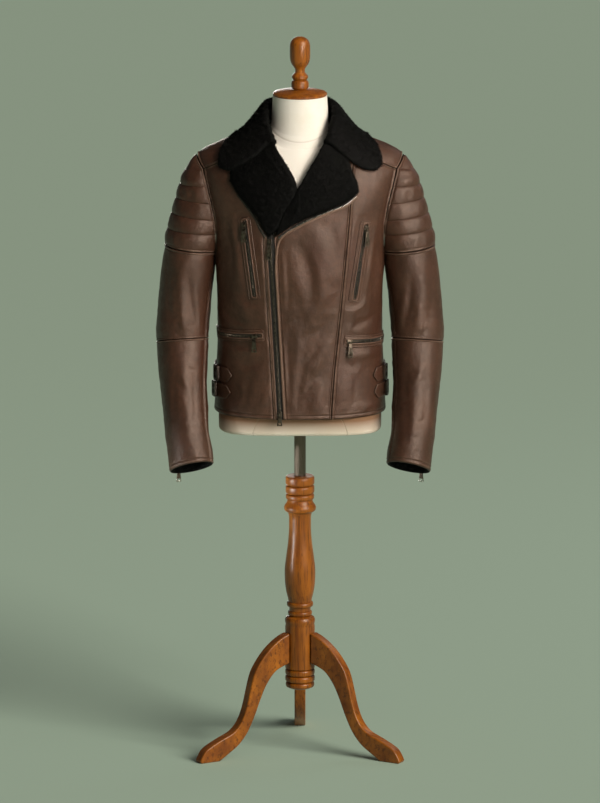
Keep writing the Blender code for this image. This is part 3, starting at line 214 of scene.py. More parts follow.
def new_piece(name: str, points: Array, faces: Sequence, materials: Sequence[Material],
              slots: Array | None = None, smooth: float = 180.0, **marks: Array) -> Piece:
    """A finished mesh object.

    Args:
        name: the piece's name.
        points: its vertices, in millimetres from the stand's axis.
        faces: tuples or rows of vertex numbers.
        materials: its material slots.
        slots: a material number for each face.
        smooth: the angle over which an edge stays sharp, in degrees.
        marks: named numbers for each vertex, which materials read.

    Returns:
        The object, its place in its mesh.
    """
    mesh = bpy.data.meshes.new(name)
    rows = [face.tolist() if isinstance(face, Array) else face for face in faces]
    mesh.from_pydata(to_frame(points).tolist(), [], rows)
    for material in materials:
        mesh.materials.append(material)
    if slots is not None:
        mesh.polygons.foreach_set("material_index", np.asarray(slots, np.int32))
    for mark, values in marks.items():
        mesh.attributes.new(mark, "FLOAT", "POINT").data.foreach_set("value", np.asarray(values, np.float32))
    mesh.shade_smooth()
    if smooth < 180.0:
        mesh.set_sharp_from_angle(angle=math.radians(smooth))
    mesh.update()
    piece = bpy.data.objects.new(name, mesh)
    bpy.context.scene.collection.objects.link(piece)
    return piece


def quads(first: Array, second: Array) -> Array:
    """Faces between two lines of vertex numbers."""
    return np.stack([first[:-1], first[1:], second[1:], second[:-1]], axis=-1)


def cells(grid: Array) -> Array:
    """Faces of a grid of vertex numbers."""
    return np.stack([grid[:-1, :-1], grid[:-1, 1:], grid[1:, 1:], grid[1:, :-1]], -1).reshape(-1, 4)


def closed(grid: Array) -> Array:
    """A grid whose first column is met by its last."""
    return np.hstack([grid, grid[:, :1]])


def wall_faces(deep: int, wide: int, ring: bool = False) -> tuple[Array, Array]:
    """Faces of a closed wall over a grid, outer layer first.

    Args:
        deep: rows of the grid.
        wide: columns of the grid.
        ring: whether the last column meets the first.

    Returns:
        The faces, and 0 for each outer, 1 for each rim and 2 for each inner face.
    """
    outer = np.arange(deep * wide).reshape(deep, wide)
    if ring:
        outer = closed(outer)
    inner = outer + deep * wide
    top, low = cells(outer), cells(inner)[:, ::-1]
    rims = [quads(outer[0][::-1], inner[0][::-1]), quads(outer[-1], inner[-1])]
    if not ring:
        rims += [quads(outer[:, 0], inner[:, 0]), quads(outer[::-1, -1], inner[::-1, -1])]
    rim = np.vstack(rims)
    kinds = np.repeat([0, 1, 2], [len(top), len(rim), len(low)])
    return np.vstack([top, rim, low]), kinds


def swept(path: Array, normals: Array, outline: Array, ring: bool = False) -> tuple[Array, list]:
    """A solid of one outline carried along a path.

    Args:
        path: stations of the path.
        normals: the outward direction at each station.
        outline: the outline's points as (across, outwards), anticlockwise as seen along the path.
        ring: whether the path closes.

    Returns:
        Points and faces.
    """
    ahead = np.roll(path, -1, axis=0) - np.roll(path, 1, axis=0)
    if not ring:
        ahead[0], ahead[-1] = path[1] - path[0], path[-1] - path[-2]
    across = unit(np.cross(normals, ahead))
    points = path[:, None] + across[:, None] * outline[None, :, :1] + normals[:, None] * outline[None, :, 1:]
    stations, sides = len(path), len(outline)
    grid = closed(np.arange(stations * sides).reshape(stations, sides))
    if ring:
        grid = np.vstack([grid, grid[:1]])
    faces = cells(grid)[:, [0, 3, 2, 1]].tolist()
    if not ring:
        faces += [list(range(sides)), list(range(stations * sides - 1, (stations - 1) * sides - 1, -1))]
    return points.reshape(-1, 3), faces


def scattered(shape: Array, faces: Sequence, places: Array, frames: Array,
              scales: Array) -> tuple[Array, list]:
    """Many copies of one small shape in one mesh.

    Args:
        shape: the shape's points.
        faces: its faces.
        places: a point for each copy.
        frames: three directions for each copy, those of the shape's x, y and z.
        scales: a size along each of them for each copy.

    Returns:
        Points and faces.
    """
    points = places[:, None] + np.einsum("ps,ns,nsx->npx", shape, scales, frames)
    step = np.arange(len(places))[:, None] * len(shape)
    rows = []
    for face in faces:
        rows += (np.array(face)[None] + step).tolist()
    return points.reshape(-1, 3), rows


# ----------------------------------------------------------------- body surface

def oval(sizes: Array, turn: Array) -> tuple[Array, Array]:
    """Plan of a section of a width, front, back and power; turn 0 is the front and 90 the left side."""
    width, front, back, power = np.moveaxis(sizes, -1, 0)
    across, along = np.sin(np.radians(turn)), np.cos(np.radians(turn))
    x = width * np.sign(across) * np.abs(across) ** (2 / power)
    return x, -np.where(along > 0, front, back) * np.sign(along) * np.abs(along) ** (2 / power)


@dataclass
class JacketBody:
    """The jacket's outer surface from the hem over the shoulders."""

    hem: float = 755.0
    armpit: float = 1076.0
    chest: float = 1210.0               # above it the body closes in towards the shoulder ridge
    shoulder_seam: float = 1284.0       # where the forward shoulder seam meets the armhole
    shoulder: float = 1312.0
    shoulder_x: float = 220.0
    ridge_y: float = 8.0
    neck_x: float = 78.0                # where the shoulder seam meets the neck seam
    neck_z: float = 1352.0
    # z, width, front, back, power
    section_rows: Rows = (
        (755, 184, 126, 122, 2.3), (830, 181, 122, 117, 2.3), (920, 177, 119, 112, 2.3),
        (1000, 176.5, 124, 117, 2.25), (1076, 180.7, 130, 124, 2.2), (1150, 188.5, 128, 128, 2.2),
        (1210, 202.5, 124, 127, 2.2), (1240, 209.5, 123, 126, 2.2), (1284, 220, 122, 125, 2.2),
        (1312, 226, 121, 124, 2.2), (1400, 234, 120, 123, 2.2))
    # distance from the centre, height of the shoulder ridge
    ridge_rows: Rows = (
        (0, 1404), (20, 1401), (40, 1391), (60, 1378), (75, 1368), (120, 1354), (165, 1338.5), (187, 1329.5),
        (205, 1321), (220, 1312), (230, 1302))
    # z, turn of the armhole about the body
    armhole_rows: Rows = (
        (1076, 90), (1090, 83.5), (1103, 79.8), (1122, 75.8), (1142, 72), (1174, 68.2), (1210, 66.9),
        (1247, 67.9), (1284, 68.5))
    # share, x, y of the neck seam's plan
    neck_rows: Rows = (
        (0, 0, 79), (0.17, 30, 76), (0.35, 56, 60), (0.53, 74, 35), (0.70, 80.5, 6), (0.85, 81, -20),
        (1, 78, -46), (1.11, 68, -61), (1.22, 55, -72))

    def __post_init__(self) -> None:
        """Make the curves, and find where the shoulder seam ends."""
        self.sections, self.ridge = Curve(self.section_rows), Curve(self.ridge_rows)
        self.armhole_turn, self.neck = Curve(self.armhole_rows), Curve(self.neck_rows)
        seam = np.array(self.shoulder_seam)
        self.shoulder_end = float(self.point(self.armhole_turn.one(seam), seam)[0])

    def plan(self, turn: Array, z: Array) -> tuple[Array, Array]:
        """Plan of the full section: turn 0 is the front, 90 the left side and 180 the back."""
        return oval(self.sections(z), turn)

    def point(self, turn: Array, z: Array) -> Array:
        """Points by turn about the body and height."""
        turn, z = np.broadcast_arrays(np.asarray(turn, float), np.asarray(z, float))
        x, y = self.plan(turn, z)
        climb = np.clip((z - self.chest) / (self.ridge.one(np.abs(x)) - self.chest), 0.0, 1.0)
        y = self.ridge_y + (y - self.ridge_y) * np.sqrt(1 - climb ** 2)
        below = self.plan(turn, z)[1]
        return np.stack([x, np.where(z > self.chest, y, below), z], axis=-1)

    def turn_at(self, x: Array, z: Array) -> Array:
        """Turn on the front at which the body is x wide at a height."""
        width, _, _, power = np.moveaxis(self.sections(z), -1, 0)
        return np.sign(x) * np.degrees(np.arcsin(np.minimum(1.0, np.abs(x) / width) ** (power / 2)))

    def over(self, x: Array, climb: Array) -> Array:
        """Points above the chest by distance from the centre and climb, 0 at the back to 180."""
        x, climb = np.broadcast_arrays(np.asarray(x, float), np.asarray(climb, float))
        rise = self.ridge.one(np.abs(x)) - self.chest
        z = self.chest + rise * np.sin(np.radians(climb))
        turn = np.abs(self.turn_at(x, z))
        y = self.plan(np.where(climb < 90, 180 - turn, turn), z)[1]
        y = self.ridge_y + (y - self.ridge_y) * np.abs(np.cos(np.radians(climb)))
        return np.stack([x, y, z], axis=-1)

    def climb_of(self, x: Array, z: Array) -> Array:
        """Climb at the back at which the surface reaches a height."""
        rise = self.ridge.one(np.abs(x)) - self.chest
        return np.degrees(np.arcsin(np.clip((z - self.chest) / rise, 0.0, 1.0)))

    def climb_at(self, x: Array, y: Array) -> Array:
        """Climb at which the surface passes over a plan point, looked for outwards from the ridge."""
        side = np.where(y > self.ridge_y, -1.0, 1.0)
        near, far = np.zeros_like(x), np.full_like(x, 85.0)
        for _ in range(30):
            middle = (near + far) / 2
            reached = self.over(x, 90 + side * middle)[..., 1]
            short = np.abs(reached - self.ridge_y) < np.abs(y - self.ridge_y)
            near, far = np.where(short, middle, near), np.where(short, far, middle)
        return 90 + side * near

    def cap_arc(self, level: Array, back: bool) -> tuple[Array, Array]:
        """Distance from the centre and climb of the armhole above the shoulder seam's level."""
        share = np.clip((level - self.shoulder_seam) / (self.shoulder - self.shoulder_seam), 0.0, 1.0)
        x = self.shoulder_end + (self.shoulder_x - self.shoulder_end) * np.sin(share * math.pi / 2)
        climb = self.climb_of(x, np.maximum(level, self.shoulder_seam))
        return x, climb if back else 180 - climb

    def armhole(self, level: Array, back: bool) -> Array:
        """Points of the left armhole by level."""
        level = np.asarray(level, float)
        turn = self.armhole_turn.one(level)
        low = self.point(180 - turn if back else turn, level)
        high = self.over(*self.cap_arc(level, back))
        return np.where((level <= self.shoulder_seam)[..., None], low, high)

    def on_front(self, x: Array, z: Array) -> tuple[Array, Array]:
        """Points of the front and their outward normals, as seen from straight in front."""
        x, z = np.broadcast_arrays(np.asarray(x, float), np.asarray(z, float))
        return self.with_normal(self.turn_at(x, z), z)

    def with_normal(self, turn: Array, z: Array) -> tuple[Array, Array]:
        """Points and outward normals by turn and height."""
        along = self.point(turn + 0.5, z) - self.point(turn - 0.5, z)
        rise = self.point(turn, z + 1.0) - self.point(turn, z - 1.0)
        return self.point(turn, z), unit(np.cross(along, rise))


BODY = JacketBody()


@dataclass
class SleeveForm:
    """The left sleeve's outer surface; turn 0 is outside, 90 the front and 180 the body's side."""

    cuff: float = 645.0
    elbow: float = 906.0
    # level, x and z of the outer point, the sleeve's own half depth, for sections that open into the armhole
    cap_rows: Rows = (
        (1312, 220, 1312, 0), (1308, 224, 1308.5, 0), (1300, 233, 1299, 0), (1292, 239.5, 1288.5, 0),
        (1284, 244.5, 1277, 0), (1266, 250.5, 1262, 45), (1247, 255.5, 1246.6, 50), (1228, 260, 1232, 53),
        (1210, 264, 1217, 55.5), (1192, 269, 1200, 57.5), (1174, 274, 1184, 59.5), (1158, 278, 1167, 61.3),
        (1142, 282, 1151, 62.8), (1122, 286, 1132, 64.5), (1103, 288.5, 1115, 65.8), (1090, 291, 1098, 66.3),
        (1076, 293, 1082, 66.5))
    # level, centre x and y, width, half depth, the outer side's rise, forward lean, below the armpit
    arm_rows: Rows = (
        (1076, 236.85, 0, 112.3, 66.5, 3, 0), (1042, 241.5, -1, 113, 66, 2, 1),
        (988, 246.5, -5, 112, 64, -0.5, 5), (916, 251.5, -14, 112, 61.5, -3.5, 11),
        (858, 251, -29, 106, 59, -3.5, 17), (815, 249.5, -44, 99, 56, -3, 21),
        (763, 245.6, -65, 95, 53.5, -2, 23), (718, 241.7, -84, 92, 51.5, -3, 23),
        (674, 234.5, -102, 94, 50, -6, 23), (645, 232, -111, 94, 49.5, -9, 23))
    # level, turns of the front and back seams
    seam_rows: Rows = (
        (1210, 180, -112), (1192, 180, -104), (1174, 180, -99), (1142, 180, -90), (1103, 180, -80),
        (1076, 180, -75), (1042, 166, -69), (988, 155, -60), (916, 154, -52), (645, 154, -50))

    def __post_init__(self) -> None:
        """Make the curves."""
        self.cap, self.arm, self.seams = Curve(self.cap_rows), Curve(self.arm_rows), Curve(self.seam_rows)

    def cap_measures(self, level: Array) -> tuple[Array, ...]:
        """Centre x and y, half width, half depth and widest turn of a section open to the armhole."""
        front, back = BODY.armhole(level, False), BODY.armhole(level, True)
        outer, _, own = np.moveaxis(self.cap(level), -1, 0)
        half = (back[..., 1] - front[..., 1]) / 2
        depth = np.maximum(own, half)
        closed = 180 - np.degrees(np.arcsin(np.clip(half / np.maximum(depth, 1e-6), 0.0, 1.0)))
        reach = np.where(own > half, closed, 90.0)
        width = (outer - front[..., 0]) / (1 - np.cos(np.radians(reach)))
        return outer - width, (front[..., 1] + back[..., 1]) / 2, width, depth, reach

    def point(self, turn: Array, level: Array) -> Array:
        """Points by turn about the sleeve and level."""
        turn, level = np.broadcast_arrays(np.asarray(turn, float), np.asarray(level, float))
        across, along = np.cos(np.radians(turn)), np.sin(np.radians(turn))
        high = np.maximum(level, BODY.armpit)
        x, y, width, depth, reach = self.cap_measures(high)
        inner = np.where(along < 0, BODY.armhole(high, True)[..., 2], BODY.armhole(high, False)[..., 2])
        share = (1 - across) / (1 - np.cos(np.radians(reach)))
        outer = self.cap.one(high, 1)
        cap = np.stack([x + width * across, y - depth * along, outer + (inner - outer) * share], axis=-1)
        x, y, width, depth, rise, lean = np.moveaxis(self.arm(level), -1, 0)
        lean = np.radians(lean)
        arm = np.stack([x + width / 2 * across, y - depth * np.cos(lean) * along,
                        level + 3.0 + rise * across + depth * np.sin(lean) * along], axis=-1)
        return np.where((level >= BODY.armpit)[..., None], cap, arm)

    def ends(self, level: Array, under: bool) -> tuple[Array, Array]:
        """First and last turn of the top or the under sleeve by level."""
        front, back = np.moveaxis(self.seams(level), -1, 0)
        reach = self.cap_measures(np.maximum(level, BODY.armpit))[4]
        high = level > BODY.armpit
        front = np.where(high, reach, front)
        back = np.where(high, np.maximum(back, -reach), back)
        if under:
            first = np.where(high, 360 - reach, front)
            return first, np.maximum(first, 360 + back)
        return back, front


SLEEVE = SleeveForm()


# ----------------------------------------------------------------- seams, folds

@dataclass(frozen=True)
class Seam:
    """Relief beside a seam: grid lines, bumps as (distance, height, half width), and stitch rows."""

    lines: tuple[float, ...]
    bumps: Rows
    stitches: tuple[float, ...] = ()
    dark: float = 0.0                   # half width of the shade painted into the seam's valley


FINE = (0, 0.5, 1, 1.5, 2, 2.6, 3.2, 3.8, 4.4, 4.9, 5.4, 6, 6.8, 8, 10)
EDGE = (0, 0.6, 1.3, 2.2, 3.4, 4.8, 6.2, 7.4, 8.2, 9, 9.8, 10.8, 12.5)
PLAIN = Seam((0, 0.8, 1.6, 2.6, 4.2, 6.5), ((0, -1.8, 1.7),), (), 1.6)
DOUBLE = Seam(FINE, ((0, -2, 1), (2.7, 1, 1.5), (5.3, -0.9, 0.8)), (5.3,), 1.1)
SOFT = Seam(FINE, ((0, -1.5, 0.9), (2.2, 0.5, 1.2), (4.6, -0.45, 0.8)), (4.6,), 0.9)
HEM = Seam(EDGE, ((0, -1.4, 1.2), (4.6, 0.5, 2.6), (8.6, -1, 0.9), (11.5, 0.35, 1.6)), (8.6,), 0.8)
ZIPPED = Seam(FINE, ((0, -0.8, 0.9), (2.4, 1.1, 1.4), (5.2, -0.9, 0.8), (8.4, 0.5, 1.4)), (5.2,), 0.8)


class Side(Enum):
    """The four sides of a panel's grid."""

    LEFT = "left"
    RIGHT = "right"
    FOOT = "foot"
    HEAD = "head"


@dataclass(frozen=True)
class Run:
    """A seam along a share of one side of a panel."""

    seam: Seam
    start: float = -1.0
    end: float = 2.0
    fade: float = 0.015                 # share of the side over which it starts and ends

    def strength(self, along: Array) -> Array:
        """How much of the seam there is at shares along the side."""
        begun, done = (ease(at - self.fade, at + self.fade, along) for at in (self.start, self.end))
        return begun * (1 - done)


@dataclass(frozen=True)
class Fold:
    """A soft ridge, or a trough where its height is below 0, in the view from the front or back."""

    start: tuple[float, float]
    end: tuple[float, float]
    height: float
    width: float
    bow: float = 0.0
    skew: float = 0.0

    def at(self, x: Array, z: Array) -> Array:
        """Height of the fold at places of the view."""
        begin, finish = np.array(self.start), np.array(self.end)
        chord = finish - begin
        length = float(np.hypot(*chord))
        ahead = chord / length
        share = ((x - begin[0]) * ahead[0] + (z - begin[1]) * ahead[1]) / length
        inside = np.clip(share, 0.0, 1.0)
        off = (z - begin[1]) * ahead[0] - (x - begin[0]) * ahead[1] - self.bow * 4 * inside * (1 - inside)
        width = self.width * (1 + self.skew * np.sign(off))
        return self.height * np.sin(math.pi * inside) ** 0.8 * np.exp(-(off / width) ** 2)


def folded(*rows: tuple[float, ...]) -> list[Fold]:
    """Folds from rows of start x and z, end x and z, height, half width and bow."""
    return [Fold(row[:2], row[2:4], *row[4:]) for row in rows]


def creases(seed: int, count: int, box: tuple[float, float, float, float], angle: float, length: float,
            depth: float, width: float, spread: float = 25.0) -> list[Fold]:
    """Short uneven creases over a box of the front view.

    Args:
        seed: start of the random draws.
        count: how many creases.
        box: x0, z0, x1, z1 of their middles.
        angle: their usual direction in degrees from level.
        length: their usual length.
        depth: their usual depth.
        width: their usual half width.
        spread: how far a direction strays from the usual, in degrees.

    Returns:
        The creases, each with a lower ridge beside it.
    """
    rng = np.random.RandomState(seed)
    made = []
    for _ in range(count):
        middle = np.array((rng.uniform(box[0], box[2]), rng.uniform(box[1], box[3])))
        way = math.radians(angle + rng.uniform(-spread, spread))
        half = np.array((math.cos(way), math.sin(way))) * length * rng.uniform(0.25, 0.75)
        deep, wide, bow = depth * rng.uniform(0.5, 1.3), width * rng.uniform(0.7, 1.4), rng.uniform(-4, 4)
        skew = rng.uniform(-0.3, 0.3)
        made.append(Fold(tuple(middle - half), tuple(middle + half), -deep, wide, bow, skew))
        aside = np.array((-math.sin(way), math.cos(way))) * wide * 1.9
        made.append(Fold(tuple(middle - half * 0.8 + aside), tuple(middle + half * 0.8 + aside),
                         deep * 0.7, wide * 1.1, bow))
    return made


@dataclass(frozen=True)
class Flat:
    """A line of the front view along which the leather is held flat under something sewn on."""

    start: tuple[float, float]
    end: tuple[float, float]
    half: float

    def at(self, x: Array, z: Array) -> Array:
        """1 where the leather is flat, falling to 0 around it."""
        begin, finish = np.array(self.start), np.array(self.end)
        chord = finish - begin
        share = np.clip(((x - begin[0]) * chord[0] + (z - begin[1]) * chord[1]) / (chord @ chord), 0.0, 1.0)
        away = np.hypot(x - begin[0] - chord[0] * share, z - begin[1] - chord[1] * share)
        return 1 - ease(self.half, self.half + 12.0, away)


# ----------------------------------------------------------------------- panels

def shares(length: Array, start: Sequence[float], end: Sequence[float], inner: int) -> Array:
    """Where grid lines cross strips of given lengths, fine near both ends and even between.

    Args:
        length: the strips' lengths.
        start: distances of the first lines from the start.
        end: distances of the last lines from the end.
        inner: how many lines lie between them.

    Returns:
        Shares of each strip's length, a row for each strip.
    """
    length = np.atleast_1d(length).astype(float)
    squeeze = np.minimum(1.0, 0.42 * length / max(start[-1], end[-1]))[:, None] / length[:, None]
    head = np.array(start)[None] * squeeze
    tail = 1 - np.array(end)[::-1][None] * squeeze
    between = np.linspace(0.0, 1.0, inner + 2)[None, 1:-1]
    return np.hstack([head, head[:, -1:] + (tail[:, :1] - head[:, -1:]) * between, tail])


def spine(points: Array) -> Array:
    """Points of the body's axis level with given points."""
    return points * UP + (0.0, BODY.ridge_y, 0.0)


@dataclass
class Panel:
    """A leather panel: a grid over a surface between four seams, with its relief."""

    name: str
    surface: Surface
    seams: dict[Side, tuple[Run, ...]]
    centre: Callable[[Array], Array] = spine
    spacing: float = 4.0
    puff: float = 1.8
    folds: Sequence[Fold] = ()
    back_folds: Sequence[Fold] = ()
    flats: Sequence[Flat] = ()
    extra: Callable[[Array, Array], Array] | None = None
    levels: Array | None = None
    mirrored: bool = False
    thickness: float = 2.6
    puff_reach: float = 16.0            # from a seam to where the padding is nearly full
    puff_sink: float = 0.4              # share of the puff by which a panel sinks beside its seams
    deepest: float = -2.2
    uneven: Rows = ((0.55, 70, 3), (0.22, 24, 5))       # height, size and seed
    facing: float = field(init=False, default=1.0)

    def __post_init__(self) -> None:
        """Measure the panel on a coarse grid."""
        self.measure = np.linspace(0.0, 1.0, 41)
        u, v = np.meshgrid(self.measure, self.measure)
        points = self.surface(u, v)
        self.widths, self.heights = lengths(points, 1), lengths(points, 0)
        normals = self.normals(u[1:-1, 1:-1], v[1:-1, 1:-1])
        middle = points[1:-1, 1:-1]
        self.facing = 1.0 if float(((middle - self.centre(middle)) * normals).sum()) > 0 else -1.0

    def normals(self, u: Array, v: Array) -> Array:
        """Outward normals of the surface."""
        step = 2e-3
        along = self.surface(np.minimum(1.0, u + step), v) - self.surface(np.maximum(0.0, u - step), v)
        rise = self.surface(u, np.minimum(1.0, v + step)) - self.surface(u, np.maximum(0.0, v - step))
        return unit(np.cross(along, rise)) * self.facing

    def reach(self, u: Array, v: Array) -> dict[Side, tuple[Array, Array]]:
        """Distance from each side, with the share along it."""
        wide = np.interp(v, self.measure, self.widths)
        high = np.interp(u, self.measure, self.heights)
        return {Side.LEFT: (u * wide, v), Side.RIGHT: ((1 - u) * wide, v),
                Side.FOOT: (v * high, u), Side.HEAD: ((1 - v) * high, u)}

    def at(self, u: Array, v: Array) -> tuple[Array, Array, Array, Array, Array]:
        """Base points, normals, relief, wear with painted highlight, and painted shade at places of the
        panel.
        """
        points, normals = self.surface(u, v), self.normals(u, v)
        reach = self.reach(u, v)
        nearest = np.minimum.reduce([distance for distance, _ in reach.values()])
        height = self.puff * (1 - np.exp(-(nearest / self.puff_reach) ** 1.5)) - self.puff_sink * self.puff
        if self.extra is not None:
            height = height + self.extra(u, v)
        for tall, size, seed in self.uneven:
            height = height + tall * waves(points, size, seed)
        front = ease(-0.25, 0.25, -normals[..., 1])
        for folds, weight in ((self.folds, front), (self.back_folds, 1 - front)):
            for fold in folds:
                height = height + fold.at(points[..., 0], points[..., 2]) * weight
        away = ease(2.0, 9.0, nearest)
        height = height * (0.35 + 0.65 * away) + 0.12 * (1 - away)
        for flat in self.flats:
            height = height * (1 - flat.at(points[..., 0], points[..., 2]) * front)
        wear, shade = np.zeros_like(height), np.zeros_like(height)
        for side, runs in self.seams.items():
            distance, along = reach[side]
            for run in runs:
                strength = run.strength(along)
                for place, rise, half in run.seam.bumps:
                    bump = rise * np.exp(-((distance - place) / half) ** 2) * strength
                    height = height + bump
                    # real wear and a painted highlight: lighter on each raised seam ridge
                    wear = wear + np.maximum(bump, 0.0) * (0.75 + 0.45 * waves(points, 21.0, 11))
                # painted shade: the colour darkens in each seam's valley
                if run.seam.dark:
                    shade = np.maximum(shade, strength * np.exp(-(distance / run.seam.dark) ** 2))
        height = np.maximum(height, self.deepest)
        return points, normals, height, np.clip(wear, 0.0, 1.0), np.clip(shade, 0.0, 1.0)

    def grid(self) -> tuple[Array, Array]:
        """Places of the grid's lines, fine along the seams."""
        fine = {side: max((run.seam.lines for run in self.seams[side]), key=len) for side in Side}
        down = round(float(self.heights.max()) / self.spacing)
        rows = self.levels
        if rows is None:
            rows = shares(np.median(self.heights), fine[Side.FOOT], fine[Side.HEAD], down)[0]
        wide = np.interp(rows, self.measure, self.widths)
        u = shares(wide, fine[Side.LEFT], fine[Side.RIGHT], round(float(self.widths.max()) / self.spacing))
        if self.levels is not None:
            return u, np.broadcast_to(rows[:, None], u.shape)
        high = np.interp(u.mean(axis=0), self.measure, self.heights)
        return u, shares(high, fine[Side.FOOT], fine[Side.HEAD], down).T

    def turned(self, points: Array) -> Array:
        """Points or directions on the panel's own side of the jacket."""
        return points * np.array((-1.0, 1.0, 1.0)) if self.mirrored else points

    def build(self, outside: Material, inside: Material) -> Piece:
        """The panel as a closed wall, leather outside and on its edges."""
        u, v = self.grid()
        points, normals, height, wear, shade = self.at(u, v)
        outer = points + normals * height[..., None]
        inner = points - normals * self.thickness
        faces, kinds = wall_faces(*u.shape)
        if (self.facing < 0) != self.mirrored:
            faces = faces[:, ::-1]
        both = np.concatenate([outer.reshape(-1, 3), inner.reshape(-1, 3)])
        wear, shade = (np.concatenate([mark.ravel(), np.zeros(u.size)]) for mark in (wear, shade))
        piece = new_piece(self.name, self.turned(both), faces, (outside, inside), (kinds == 2).astype(int),
                          wear=wear, shade=shade)
        self.flat, self.area = cut_size(points)
        return piece

    def row(self, side: Side, offset: float, run: Run) -> tuple[Array, Array]:
        """A line at a distance from one side, raised with the relief, with its normals."""
        along = np.linspace(max(0.0, run.start), min(1.0, run.end), 160)
        level = side in (Side.FOOT, Side.HEAD)
        size = np.interp(along, self.measure, self.heights if level else self.widths)
        share = np.minimum(offset / size, 0.45)
        if side in (Side.RIGHT, Side.HEAD):
            share = 1 - share
        u, v = (along, share) if level else (share, along)
        points, normals, height, _, _ = self.at(u, v)
        return self.turned(points + normals * height[..., None]), self.turned(normals)


@dataclass
class Stitching:
    """Lockstitch in waxed thread: a slim grain for each stitch, in the groove that it pulls down."""

    pitch: float = 4.2
    length: float = 3.3
    width: float = 0.95
    height: float = 0.6
    sink: float = 0.15

    def on(self, panel: Panel, thread: Material) -> Piece | None:
        """The stitches of every row of a panel's seams."""
        found = [(side, offset, run) for side, runs in panel.seams.items() for run in runs
                 for offset in run.seam.stitches]
        rows = [self.places(*panel.row(*entry)) for entry in found]
        if not rows:
            return None
        return self.piece(f"stitches_{panel.name}", rows, thread)

    def places(self, points: Array, normals: Array) -> tuple[Array, Array]:
        """Middles and frames of the stitches along a line."""
        points, normals = spaced(points, normals, pitch=self.pitch)
        ahead = unit(np.diff(points, axis=0))
        normals = unit(normals[1:] + normals[:-1])
        across = unit(np.cross(normals, ahead))
        ahead = unit(ahead + across * 0.12)
        across = np.cross(normals, ahead)
        return (points[1:] + points[:-1]) / 2, np.stack([ahead, across, normals], axis=1)

    def piece(self, name: str, rows: Sequence[tuple[Array, Array]], thread: Material) -> Piece:
        """One mesh of all the stitches of some rows."""
        middles = np.concatenate([middle for middle, _ in rows])
        frames = np.concatenate([frame for _, frame in rows])
        grain = np.array(((-0.5, 0, -0.4), (-0.3, -0.5, 0), (-0.3, 0, 0.5), (-0.3, 0.5, 0), (0.3, -0.5, 0),
                          (0.3, 0, 0.5), (0.3, 0.5, 0), (0.5, 0, -0.4)))
        faces = [(0, 1, 2), (0, 2, 3), (0, 3, 6, 7, 4, 1), (1, 4, 5, 2), (2, 5, 6, 3), (4, 7, 5), (5, 7, 6)]
        scales = np.tile((self.length, self.width, self.height), (len(middles), 1))
        middles = middles + frames[:, 2] * (self.height / 2 - self.sink)
        return new_piece(name, *scattered(grain, faces, middles, frames, scales), (thread,))


# -------------------------------------------------------------------- materials

def linear(colour: str) -> tuple[float, float, float, float]:
    """Linear colour of an sRGB hex value."""
    shares = [int(colour[i:i + 2], 16) / 255 for i in (1, 3, 5)]
    return (*[c / 12.92 if c <= 0.04045 else ((c + 0.055) / 1.055) ** 2.4 for c in shares], 1.0)


class Recipe:
    """A material being made: its shader, and a way to add nodes to it."""

    def __init__(self, name: str, **sockets: float | tuple) -> None:
        """Start the material and set its shader's own sockets."""
        self.material = bpy.data.materials.new(name)
        self.material.use_nodes = True
        self.tree = self.material.node_tree
        self.shader = self.tree.nodes["Principled BSDF"]
        for socket, value in sockets.items():
            self.shader.inputs[socket.replace("_", " ")].default_value = value

    def add(self, kind: str, links: dict | None = None, settings: dict | None = None) -> bpy.types.Node:
        """A node with its settings and links.

        Args:
            kind: the node's type without its prefix.
            links: for each input, an output socket to link or a value to set.
            settings: the node's own properties.

        Returns:
            The node.
        """
        node = self.tree.nodes.new(f"ShaderNode{kind}")
        for key, value in (settings or {}).items():
            setattr(node, key, value)
        for key, value in (links or {}).items():
            if isinstance(value, Socket):
                self.tree.links.new(value, node.inputs[key])
            else:
                node.inputs[key].default_value = value
        return node

    def place(self, scale: tuple[float, float, float] = (1.0, 1.0, 1.0),
              turn: tuple[float, float, float] = (0.0, 0.0, 0.0)) -> Socket:
        """Object coordinates, stretched and turned."""
        source = self.add("TexCoord").outputs["Object"]
        return self.add("Mapping", {"Vector": source, "Scale": scale, "Rotation": turn}).outputs["Vector"]

    def noise(self, place: Socket, size: float, detail: float = 3.0,
              rough: float = 0.55) -> Socket:
        """Noise with features of a size in millimetres."""
        links = {"Vector": place, "Scale": 1 / (size * MM), "Detail": detail, "Roughness": rough}
        return self.add("TexNoise", links).outputs["Fac"]

    def spread(self, value: Socket, low: float, high: float, start: float = 0.0,
               end: float = 1.0) -> Socket:
        """A value from low to high carried to start to end."""
        links = {"Value": value, "From Min": low, "From Max": high, "To Min": start, "To Max": end}
        return self.add("MapRange", links).outputs["Result"]

    def maths(self, kind: str, first: object, second: object) -> Socket:
        """One of the node's operations on two values."""
        return self.add("Math", {0: first, 1: second}, {"operation": kind}).outputs["Value"]

    def mix(self, share: object, first: object, second: object) -> Socket:
        """A colour between two."""
        first, second = [linear(c) if isinstance(c, str) else c for c in (first, second)]
        node = self.add("Mix", {0: share, 6: first, 7: second}, {"data_type": "RGBA"})
        return node.outputs[2]

    def attribute(self, name: str) -> Socket:
        """A mark of the mesh's points."""
        return self.add("Attribute", settings={"attribute_name": name}).outputs["Fac"]

    def bump(self, height: Socket, depth: float,
             over: Socket | None = None) -> Socket:
        """Bump of a depth in millimetres, over another."""
        links = {"Height": height, "Distance": depth * MM, "Strength": 1.0}
        if over is not None:
            links["Normal"] = over
        return self.add("Bump", links).outputs["Normal"]

    def done(self, colour: object, roughness: object | None = None,
             normal: Socket | None = None) -> Material:
        """Link the last of the nodes to the shader."""
        for socket, value in (("Base Color", colour), ("Roughness", roughness), ("Normal", normal)):
            if isinstance(value, Socket):
                self.tree.links.new(value, self.shader.inputs[socket])
            elif value is not None:
                self.shader.inputs[socket].default_value = linear(value) if isinstance(value, str) else value
        return self.material


